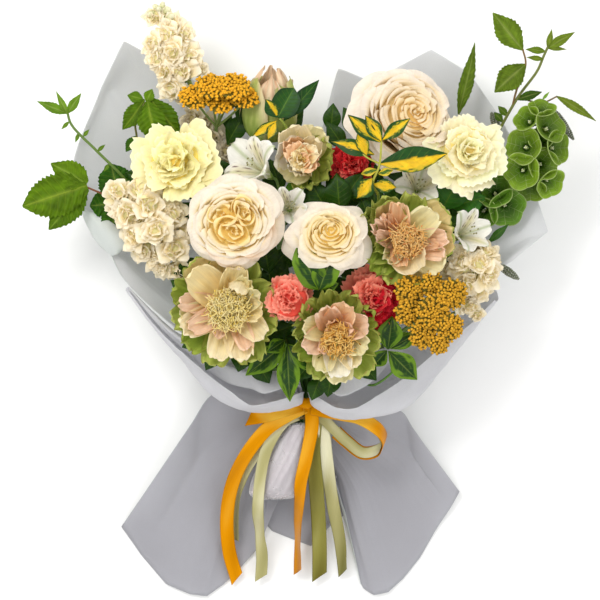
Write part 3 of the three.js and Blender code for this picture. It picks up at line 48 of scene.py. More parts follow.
# ------------------------------------------------------------------ camera, light, floor
def setup_stage():
    scene = bpy.context.scene
    cam = bpy.data.cameras.new("camera")
    cam.lens, cam.sensor_width = 240.0, 36.0
    cam.clip_end = 60.0
    ob = bpy.data.objects.new("camera", cam)
    ob.location = ((300 - PLAN_X) * 0.001, (PLAN_Y - 300) * 0.001, 0.1 + 4.0)
    scene.collection.objects.link(ob)
    scene.camera = ob

    world = bpy.data.worlds.new("studio")
    scene.world = world
    world.use_nodes = True
    bg = world.node_tree.nodes["Background"]
    bg.inputs[0].default_value = (1.0, 0.995, 0.985, 1.0)
    bg.inputs[1].default_value = 0.98

    def area(name, size, loc, power, target=(0, 0, 0.05), colour=(1, 1, 1)):
        data = bpy.data.lights.new(name, "AREA")
        data.shape, data.size, data.energy, data.color = "DISK", size, power, colour
        o = bpy.data.objects.new(name, data)
        o.location = loc
        d = np.array(target, float) - np.array(loc, float)
        o.rotation_euler = (
            math.atan2(math.hypot(d[0], d[1]), -d[2]),
            0,
            math.atan2(d[0], -d[1]) if abs(d[0]) + abs(d[1]) > 1e-9 else 0,
        )
        o.visible_camera = False
        scene.collection.objects.link(o)
        return o

    area("key", 1.3, (-0.75, 0.95, 1.9), 44, colour=(1.0, 0.985, 0.96))
    area("fill", 1.8, (1.1, -0.7, 1.9), 14, colour=(0.98, 0.99, 1.0))

    me = bpy.data.meshes.new("floor")
    s = 6.0
    me.from_pydata([(-s, -s, 0), (s, -s, 0), (s, s, 0), (-s, s, 0)], [], [(0, 1, 2, 3)])
    fl = bpy.data.objects.new("floor", me)
    scene.collection.objects.link(fl)
    m = bpy.data.materials.new("floor")
    m.use_nodes = True
    b = m.node_tree.nodes["Principled BSDF"]
    b.inputs["Base Color"].default_value = (0.93, 0.93, 0.93, 1)
    b.inputs["Roughness"].default_value = 0.9
    b.inputs["Specular IOR Level"].default_value = 0.0
    me.materials.append(m)
    scene.view_settings.view_transform = "Standard"
    scene.view_settings.look = "None"
    scene.view_settings.exposure = 0.0


setup_stage()


# ------------------------------------------------------------------ numbers and curves
def lin(h):
    c = np.array([int(h[i : i + 2], 16) / 255 for i in (1, 3, 5)])
    return np.where(c <= 0.04045, c / 12.92, ((c + 0.055) / 1.055) ** 2.4)


def mix(a, b, t):
    t = np.asarray(t, float)[..., None]
    return np.asarray(a) * (1 - t) + np.asarray(b) * t


def sstep(a, b, x):
    t = np.clip((np.asarray(x, float) - a) / (b - a), 0, 1)
    return t * t * (3 - 2 * t)


def unit(v):
    v = np.asarray(v, float)
    return v / np.maximum(np.linalg.norm(v, axis=-1, keepdims=True), 1e-9)


def at(p):
    """Layout point or points to the row frame, still in millimetres."""
    p = np.array(p, float)
    out = p.copy()
    out[..., 0] = p[..., 0] - PLAN_X
    out[..., 1] = PLAN_Y - p[..., 1]
    return out


def crom(ctrl, t):
    """Uniform Catmull-Rom through the control points, at t from 0 to 1. ctrl is (k, ...)."""
    c = np.asarray(ctrl, float)
    k = len(c) - 1
    t = np.clip(np.asarray(t, float), 0, 1) * k
    i = np.minimum(t.astype(int), k - 1)
    f = t - i
    p0 = np.where((i > 0)[(...,) + (None,) * (c.ndim - 1)], c[np.maximum(i - 1, 0)], 2 * c[0] - c[1])
    p1, p2 = c[i], c[i + 1]
    p3 = np.where((i < k - 1)[(...,) + (None,) * (c.ndim - 1)], c[np.minimum(i + 2, k)], 2 * c[k] - c[k - 1])
    f = f[(...,) + (None,) * (c.ndim - 1)]
    return 0.5 * (2 * p1 + (p2 - p0) * f + (2 * p0 - 5 * p1 + 4 * p2 - p3) * f**2 + (3 * p1 - p0 - 3 * p2 + p3) * f**3)


def even(ctrl, n):
    """n points at equal spacing along the smooth curve through ctrl."""
    d = crom(ctrl, np.linspace(0, 1, 40 * len(ctrl)))
    s = np.concatenate([[0], np.cumsum(np.linalg.norm(np.diff(d, axis=0), axis=1))])
    t = np.linspace(0, s[-1], n)
    return np.stack([np.interp(t, s, d[:, j]) for j in range(d.shape[1])], 1)


def wob(a, b, seed, n=5, lo=1.0, hi=4.0):
    r = np.random.default_rng(seed)
    out = 0.0
    for _ in range(n):
        f, g = r.uniform(lo, hi, 2) * r.choice([-1, 1], 2)
        out = out + np.sin(f * 3.1416 * a + g * 3.1416 * b + r.uniform(0, 6.283))
    return out / math.sqrt(n)


def frame_of(d, up=(0, 0, 1), spin=0.0):
    """Rotation whose third column is d; its columns are the local X, Y and Z."""
    z = unit(np.array(d, float))
    h = np.array([0.0, 1.0, 0.0]) if abs(z[1]) < 0.9 else np.array([1.0, 0.0, 0.0])
    x = unit(np.cross(h, z))
    y = np.cross(z, x)
    c, s = math.cos(spin), math.sin(spin)
    return np.stack([x * c + y * s, y * c - x * s, z], 1)


# ------------------------------------------------------------------ mesh pieces
class Piece:
    """Collects surfaces in millimetres, with a colour and (across, along, random) per vertex."""

    def __init__(self, name, *nodes, slot=None):
        self.name, self.nodes, self.slot_name = name, nodes, slot
        self.V, self.C, self.U, self.Q, self.T, self.MQ, self.MT = [], [], [], [], [], [], []
        self.n, self.mats = 0, []

    def slot_of(self, mat):
        if mat not in self.mats:
            self.mats.append(mat)
        return self.mats.index(mat)

    def add(self, P, col, puv, mat, quads=None, tris=None):
        P = np.asarray(P, float).reshape(-1, 3)
        col = np.broadcast_to(np.asarray(col, float), (len(P), 3)) if np.ndim(col) == 1 else np.asarray(col, float).reshape(-1, 3)
        puv = np.broadcast_to(np.asarray(puv, float), (len(P), 3)) if np.ndim(puv) == 1 else np.asarray(puv, float).reshape(-1, 3)
        self.V.append(P)
        self.C.append(col)
        self.U.append(puv)
        k = self.slot_of(mat)
        if quads is not None and len(quads):
            self.Q.append(np.asarray(quads) + self.n)
            self.MQ.append(np.full(len(quads), k))
        if tris is not None and len(tris):
            self.T.append(np.asarray(tris) + self.n)
            self.MT.append(np.full(len(tris), k))
        self.n += len(P)

    def grid(self, P, col, puv, mat, closed=False, cap=False):
        nv, nu = P.shape[:2]
        idx = np.arange(nv * nu).reshape(nv, nu)
        nxt = np.roll(idx, -1, 1) if closed else idx[:, 1:]
        cur = idx if closed else idx[:, :-1]
        q = np.stack([cur[:-1], nxt[:-1], nxt[1:], cur[1:]], -1).reshape(-1, 4)
        if np.ndim(col) == 3 and col.shape[:2] != (nv, nu):
            col = np.broadcast_to(col, (nv, nu, 3))
        self.add(P, col if np.ndim(col) == 1 else np.broadcast_to(col, (nv, nu, 3)), puv, mat, quads=q)
        if cap and closed:
            base = self.n - nv * nu
            for row in (0, nv - 1):
                c = P[row].mean(0)
                ring = idx[row]
                tri = np.stack([ring, np.roll(ring, -1), np.full(nu, nv * nu)], 1)
                self.V.append(c[None])
                cc = np.broadcast_to(np.asarray(col, float), (nv, nu, 3))[row].mean(0) if np.ndim(col) != 1 else np.asarray(col, float)
                self.C.append(cc[None])
                self.U.append(np.zeros((1, 3)))
                self.T.append(np.where(tri == nv * nu, self.n, tri + base))
                self.MT.append(np.full(nu, self.slot_of(mat)))
                self.n += 1

    def tube(self, pts, r, col, mat, sides=8, cap=True, rnd=0.0):
        pts = np.asarray(pts, float)
        n = len(pts)
        r = np.broadcast_to(np.asarray(r, float), (n,))
        t = unit(np.gradient(pts, axis=0))
        ref = np.array([0.0, 0.0, 1.0]) if abs(t[0][2]) < 0.9 else np.array([1.0, 0.0, 0.0])
        nrm = np.zeros_like(pts)
        cur = unit(ref - t[0] * (ref @ t[0]))
        for i in range(n):
            cur = unit(cur - t[i] * (cur @ t[i]))
            nrm[i] = cur
        b = np.cross(t, nrm)
        a = np.linspace(0, 2 * math.pi, sides, endpoint=False)
        P = pts[:, None] + r[:, None, None] * (np.cos(a)[None, :, None] * nrm[:, None] + np.sin(a)[None, :, None] * b[:, None])
        U = np.zeros((n, sides, 3))
        U[..., 0] = np.linspace(-1, 1, sides)[None]
        U[..., 1] = np.linspace(0, 1, n)[:, None]
        U[..., 2] = rnd
        col = np.asarray(col, float)
        if col.ndim == 2:
            col = np.broadcast_to(col[:, None], (n, sides, 3))
        self.grid(P, col, U, mat, closed=True, cap=cap)

    def build(self):
        V = np.concatenate(self.V) * 0.001
        Q = np.concatenate(self.Q) if self.Q else np.zeros((0, 4), int)
        T = np.concatenate(self.T) if self.T else np.zeros((0, 3), int)
        me = bpy.data.meshes.new(self.name + "_look")
        me.vertices.add(len(V))
        me.vertices.foreach_set("co", V.astype(np.float32).ravel())
        loops = np.concatenate([Q.ravel(), T.ravel()]).astype(np.int32)
        me.loops.add(len(loops))
        me.loops.foreach_set("vertex_index", loops)
        start = np.concatenate([np.arange(len(Q)) * 4, len(Q) * 4 + np.arange(len(T)) * 3]).astype(np.int32)
        me.polygons.add(len(start))
        me.polygons.foreach_set("loop_start", start)
        mi = np.concatenate([np.concatenate(self.MQ) if self.MQ else np.zeros(0), np.concatenate(self.MT) if self.MT else np.zeros(0)])
        for m in self.mats:
            me.materials.append(m)
        me.update(calc_edges=True)
        me.polygons.foreach_set("material_index", mi.astype(np.int32))
        me.polygons.foreach_set("use_smooth", np.ones(len(start), bool))
        C = np.concatenate([np.concatenate(self.C), np.ones((len(V), 1))], 1)
        me.attributes.new("col", "FLOAT_COLOR", "POINT").data.foreach_set("color", C.astype(np.float32).ravel())
        me.attributes.new("puv", "FLOAT_VECTOR", "POINT").data.foreach_set("vector", np.concatenate(self.U).astype(np.float32).ravel())
        me.validate()
        ob = bpy.data.objects.new(self.name + "_look", me)
        bpy.context.scene.collection.objects.link(ob)
        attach(ob, "root")
        if self.nodes:
            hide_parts(*self.nodes)
        return ob


# ------------------------------------------------------------------ materials
class Nodes:
    def __init__(self, name):
        self.m = bpy.data.materials.new(name)
        self.m.use_nodes = True
        self.t = self.m.node_tree
        self.t.nodes.clear()
        self.out = self.t.nodes.new("ShaderNodeOutputMaterial")

    def new(self, kind, **props):
        n = self.t.nodes.new(kind)
        for k, v in props.items():
            setattr(n, k, v)
        return n

    def link(self, a, b):
        self.t.links.new(a, b)

    def attr(self, name):
        n = self.new("ShaderNodeAttribute", attribute_name=name)
        return n

    def math(self, op, a, b=None, clamp=False):
        n = self.new("ShaderNodeMath", operation=op, use_clamp=clamp)
        for i, x in enumerate((a, b)):
            if x is None:
                continue
            if isinstance(x, (int, float)):
                n.inputs[i].default_value = x
            else:
                self.link(x, n.inputs[i])
        return n.outputs[0]

    def map(self, x, a, b, c, d):
        n = self.new("ShaderNodeMapRange")
        n.interpolation_type = "SMOOTHSTEP"
        self.link(x, n.inputs[0])
        for i, v in enumerate((a, b, c, d)):
            n.inputs[i + 1].default_value = v
        return n.outputs[0]

    def combine(self, x, y, z):
        n = self.new("ShaderNodeCombineXYZ")
        for i, v in enumerate((x, y, z)):
            if isinstance(v, (int, float)):
                n.inputs[i].default_value = v
            else:
                self.link(v, n.inputs[i])
        return n.outputs[0]

    def noise(self, vec, scale, detail=3.0, rough=0.55):
        n = self.new("ShaderNodeTexNoise")
        self.link(vec, n.inputs["Vector"])
        n.inputs["Scale"].default_value = scale
        n.inputs["Detail"].default_value = detail
        n.inputs["Roughness"].default_value = rough
        return n.outputs["Fac"]

    def mixc(self, f, a, b, blend="MIX"):
        n = self.new("ShaderNodeMix", data_type="RGBA", blend_type=blend)
        if isinstance(f, (int, float)):
            n.inputs[0].default_value = f
        else:
            self.link(f, n.inputs[0])
        for i, v in ((6, a), (7, b)):
            if isinstance(v, (tuple, list, np.ndarray)):
                n.inputs[i].default_value = (*[float(q) for q in v[:3]], 1)
            else:
                self.link(v, n.inputs[i])
        return n.outputs[2]

    def bump(self, height, strength, dist):
        n = self.new("ShaderNodeBump")
        n.inputs["Strength"].default_value = strength
        n.inputs["Distance"].default_value = dist
        self.link(height, n.inputs["Height"])
        return n.outputs[0]

    def principled(self, colour, rough, spec, normal=None, **kw):
        b = self.new("ShaderNodeBsdfPrincipled")
        if isinstance(colour, (tuple, list, np.ndarray)):
            b.inputs["Base Color"].default_value = (*[float(q) for q in colour[:3]], 1)
        else:
            self.link(colour, b.inputs["Base Color"])
        if isinstance(rough, (int, float)):
            b.inputs["Roughness"].default_value = rough
        else:
            self.link(rough, b.inputs["Roughness"])
        b.inputs["Specular IOR Level"].default_value = spec
        if normal is not None:
            self.link(normal, b.inputs["Normal"])
        for k, v in kw.items():
            b.inputs[k.replace("_", " ")].default_value = v
        return b

    def end(self, shader, trans=None, colour=None, normal=None):
        if trans:
            t = self.new("ShaderNodeBsdfTranslucent")
            self.link(colour, t.inputs[0])
            mx = self.new("ShaderNodeMixShader")
            mx.inputs[0].default_value = trans
            self.link(shader.outputs[0], mx.inputs[1])
            self.link(t.outputs[0], mx.inputs[2])
            self.link(mx.outputs[0], self.out.inputs[0])
        else:
            self.link(shader.outputs[0], self.out.inputs[0])
        return self.m

    def scaled(self, colour, factor, low, high):
        """colour times a factor that runs from low to high."""
        f = self.map(factor, 0.3, 0.7, low, high)
        v = self.new("ShaderNodeVectorMath", operation="SCALE")
        self.link(colour, v.inputs[0])
        self.link(f, v.inputs["Scale"])
        return v.outputs[0]


def petal_mat(name, across=16.0, along=1.6, vein=(0.90, 1.05), bump=0.25, rough=0.5, spec=0.25, trans=0.28, speck=None, sheen=0.0):
    """Petal: colour from the mesh, fine veins that run along it, mottling, and light through it."""
    n = Nodes(name)
    col, puv = n.attr("col"), n.attr("puv")
    s = n.new("ShaderNodeSeparateXYZ")
    n.link(puv.outputs["Vector"], s.inputs[0])
    vec = n.combine(n.math("MULTIPLY", s.outputs[0], across), n.math("MULTIPLY", s.outputs[1], along), n.math("MULTIPLY", s.outputs[2], 61.0))
    veins = n.noise(vec, 1.0, 4.0, 0.6)
    geo = n.new("ShaderNodeTexCoord")
    mott = n.noise(geo.outputs["Object"], 95.0, 3.0)
    c = n.scaled(col.outputs["Color"], veins, *vein)
    c = n.scaled(c, mott, 0.94, 1.04)
    if speck is not None:
        dots = n.noise(geo.outputs["Object"], 420.0, 2.0)
        c = n.mixc(n.map(dots, 0.6, 0.72, 0.0, speck[1]), c, lin(speck[0]))
    h = n.math("ADD", n.math("MULTIPLY", veins, 1.0), n.math("MULTIPLY", mott, 0.6))
    b = n.principled(c, rough, spec, n.bump(h, bump, 0.0008))
    if sheen:
        b.inputs["Sheen Weight"].default_value = sheen
        b.inputs["Sheen Roughness"].default_value = 0.4
    return n.end(b, trans, c)


def leaf_mat(name, veins=9.0, slope=1.3, light=0.35, rough=0.42, spec=0.4, trans=0.16, bump=0.5, rib="#b9cc7a", net=70.0):
    """Leaf: midrib and side veins drawn from the leaf's own coordinates, fine net, waxy gloss."""
    n = Nodes(name)
    col, puv = n.attr("col"), n.attr("puv")
    s = n.new("ShaderNodeSeparateXYZ")
    n.link(puv.outputs["Vector"], s.inputs[0])
    au = n.math("ABSOLUTE", s.outputs[0])
    w = n.math("FRACT", n.math("SUBTRACT", n.math("MULTIPLY", s.outputs[1], veins), n.math("MULTIPLY", au, slope)))
    tri = n.math("MULTIPLY", n.math("ABSOLUTE", n.math("SUBTRACT", w, 0.5)), 2.0)
    side = n.map(tri, 0.80, 0.98, 0.0, 1.0)
    fade = n.map(au, 0.55, 1.0, 1.0, 0.15)
    mid = n.map(au, 0.012, 0.05, 1.0, 0.0)
    mask = n.math("MAXIMUM", n.math("MULTIPLY", n.math("MULTIPLY", side, fade), 0.6), mid)
    geo = n.new("ShaderNodeTexCoord")
    mott = n.noise(geo.outputs["Object"], net, 4.0)
    fine = n.noise(geo.outputs["Object"], 900.0, 2.0)
    c = n.scaled(col.outputs["Color"], mott, 0.80, 1.12)
    c = n.mixc(n.math("MULTIPLY", mask, light), c, lin(rib))
    h = n.math("ADD", n.math("MULTIPLY", mask, -1.0), n.math("MULTIPLY", fine, 0.25))
    b = n.principled(c, rough, spec, n.bump(h, bump, 0.0007))
    return n.end(b, trans, c)


def stem_mat(name):
    n = Nodes(name)
    col, puv = n.attr("col"), n.attr("puv")
    s = n.new("ShaderNodeSeparateXYZ")
    n.link(puv.outputs["Vector"], s.inputs[0])
    vec = n.combine(n.math("MULTIPLY", s.outputs[0], 9.0), n.math("MULTIPLY", s.outputs[1], 30.0), n.math("MULTIPLY", s.outputs[2], 61.0))
    f = n.noise(vec, 1.0, 3.0)
    c = n.scaled(col.outputs["Color"], f, 0.82, 1.12)
    return n.end(n.principled(c, 0.5, 0.35, n.bump(f, 0.3, 0.0006)))


def film_mat(name, tint=1.0, rough=0.5, trans=0.22):
    """Matte wrapping film: slightly milky, with a faint grain and small scuffs."""
    n = Nodes(name)
    col = n.attr("col")
    geo = n.new("ShaderNodeTexCoord")
    big = n.noise(geo.outputs["Object"], 9.0, 4.0)
    grain = n.noise(geo.outputs["Object"], 1400.0, 2.0)
    scuff = n.noise(geo.outputs["Object"], 60.0, 5.0, 0.7)
    c = n.scaled(col.outputs["Color"], big, 0.96, 1.03)
    c = n.scaled(c, grain, 0.975, 1.015)
    h = n.math("ADD", n.math("MULTIPLY", scuff, 1.0), n.math("MULTIPLY", grain, 0.2))
    r = n.map(scuff, 0.3, 0.75, rough - 0.06, rough + 0.08)
    b = n.principled(c, r, 0.22, n.bump(h, 0.12, 0.001))
    b.inputs["Sheen Weight"].default_value = 0.15
    return n.end(b, trans, c)


def satin_mat(name):
    """Satin ribbon: fine lengthwise threads, an edge cord and a soft directional gloss."""
    n = Nodes(name)
    col, puv = n.attr("col"), n.attr("puv")
    s = n.new("ShaderNodeSeparateXYZ")
    n.link(puv.outputs["Vector"], s.inputs[0])
    thread = n.math("SINE", n.math("MULTIPLY", s.outputs[0], 75.0))
    vec = n.combine(n.math("MULTIPLY", s.outputs[0], 26.0), n.math("MULTIPLY", s.outputs[1], 3.0), n.math("MULTIPLY", s.outputs[2], 17.0))
    streak = n.noise(vec, 1.0, 3.0)
    edge = n.map(n.math("ABSOLUTE", s.outputs[0]), 0.86, 0.97, 0.0, 1.0)
    c = n.scaled(col.outputs["Color"], streak, 0.93, 1.05)
    c = n.mixc(n.math("MULTIPLY", edge, 0.20), c, (0.04, 0.03, 0.0))
    h = n.math("ADD", n.math("MULTIPLY", thread, 0.25), n.math("MULTIPLY", edge, 1.0))
    b = n.principled(c, 0.28, 0.8, n.bump(h, 0.18, 0.0004))
    n.link(c, b.inputs["Specular Tint"])
    b.inputs["Anisotropic"].default_value = 0.5
    return n.end(b, 0.08, c)


def clear_mat(name):
    """Thin clear film, seen by its gloss and a faint milkiness."""
    n = Nodes(name)
    geo = n.new("ShaderNodeTexCoord")
    f = n.noise(geo.outputs["Object"], 28.0, 2.0, 0.5)
    nb = n.bump(f, 0.35, 0.002)
    glossy = n.principled((0.93, 0.92, 0.93), 0.12, 0.6, nb)
    tr = n.new("ShaderNodeBsdfTransparent")
    tr.inputs[0].default_value = (0.97, 0.97, 0.975, 1)
    fr = n.new("ShaderNodeFresnel")
    fr.inputs[0].default_value = 1.5
    n.link(nb, fr.inputs["Normal"])
    fac = n.math("ADD", n.math("MULTIPLY", fr.outputs[0], 1.6), n.map(f, 0.40, 0.75, 0.12, 0.34), clamp=True)
    mx = n.new("ShaderNodeMixShader")
    n.link(fac, mx.inputs[0])
    n.link(tr.outputs[0], mx.inputs[1])
    n.link(glossy.outputs[0], mx.inputs[2])
    n.link(mx.outputs[0], n.out.inputs[0])
    return n.m


def plain_mat(name, rough=0.7, spec=0.2, scale=300.0, low=0.85, high=1.1, bump=0.4, trans=None):
    n = Nodes(name)
    col = n.attr("col")
    geo = n.new("ShaderNodeTexCoord")
    f = n.noise(geo.outputs["Object"], scale, 4.0, 0.6)
    c = n.scaled(col.outputs["Color"], f, low, high)
    return n.end(n.principled(c, rough, spec, n.bump(f, bump, 0.0008)), trans, c)


M = {
    "petal": petal_mat("petal_smooth", 14, 1.4, (0.96, 1.03), 0.15, 0.55, 0.15, 0.26),
    "tulip": petal_mat("petal_streaked", 11, 1.6, (0.93, 1.04), 0.35, 0.55, 0.12, 0.20),
    "frill": petal_mat("petal_frilled", 12, 2.0, (0.95, 1.04), 0.20, 0.65, 0.08, 0.20),
    "soft": petal_mat("floret_soft", 9, 2.0, (0.96, 1.03), 0.15, 0.6, 0.10, 0.26),
    "leaf": leaf_mat("leaf_waxy", 8, 1.2, 0.20, 0.42, 0.22, rib="#86a024"),
    "broad": leaf_mat("leaf_pleated", 9, 1.0, 0.28, 0.6, 0.15, 0.22, 0.7, "#92a428", 120.0),
    "plainleaf": leaf_mat("leaf_fine", 5, 2.4, 0.12, 0.42, 0.35, 0.18, 0.3),
    "calyx": leaf_mat("calyx_net", 7, 0.6, 0.35, 0.5, 0.3, 0.34, 0.6, "#d8e8a0", 160.0),
    "stem": stem_mat("stem_skin"),
    "film": film_mat("film_matte", trans=0.42),
    "film_in": film_mat("film_reverse", rough=0.6, trans=0.42),
    "satin": satin_mat("ribbon_satin"),
    "clear": clear_mat("film_clear"),
    "dust": plain_mat("floret_grains", 0.75, 0.12, 700.0, 0.75, 1.15, 0.5, 0.12),
    "bud": plain_mat("bud_skin", 0.6, 0.2, 500.0, 0.8, 1.12, 0.4, 0.15),
    "thread": plain_mat("stamen_thread", 0.55, 0.25, 300.0, 0.9, 1.08, 0.2, 0.25),
    "twine": plain_mat("twine_fibre", 0.9, 0.1, 1500.0, 0.6, 1.2, 0.8),
    "tissue": plain_mat("tissue_damp", 0.8, 0.15, 40.0, 0.92, 1.04, 0.3, 0.2),
}


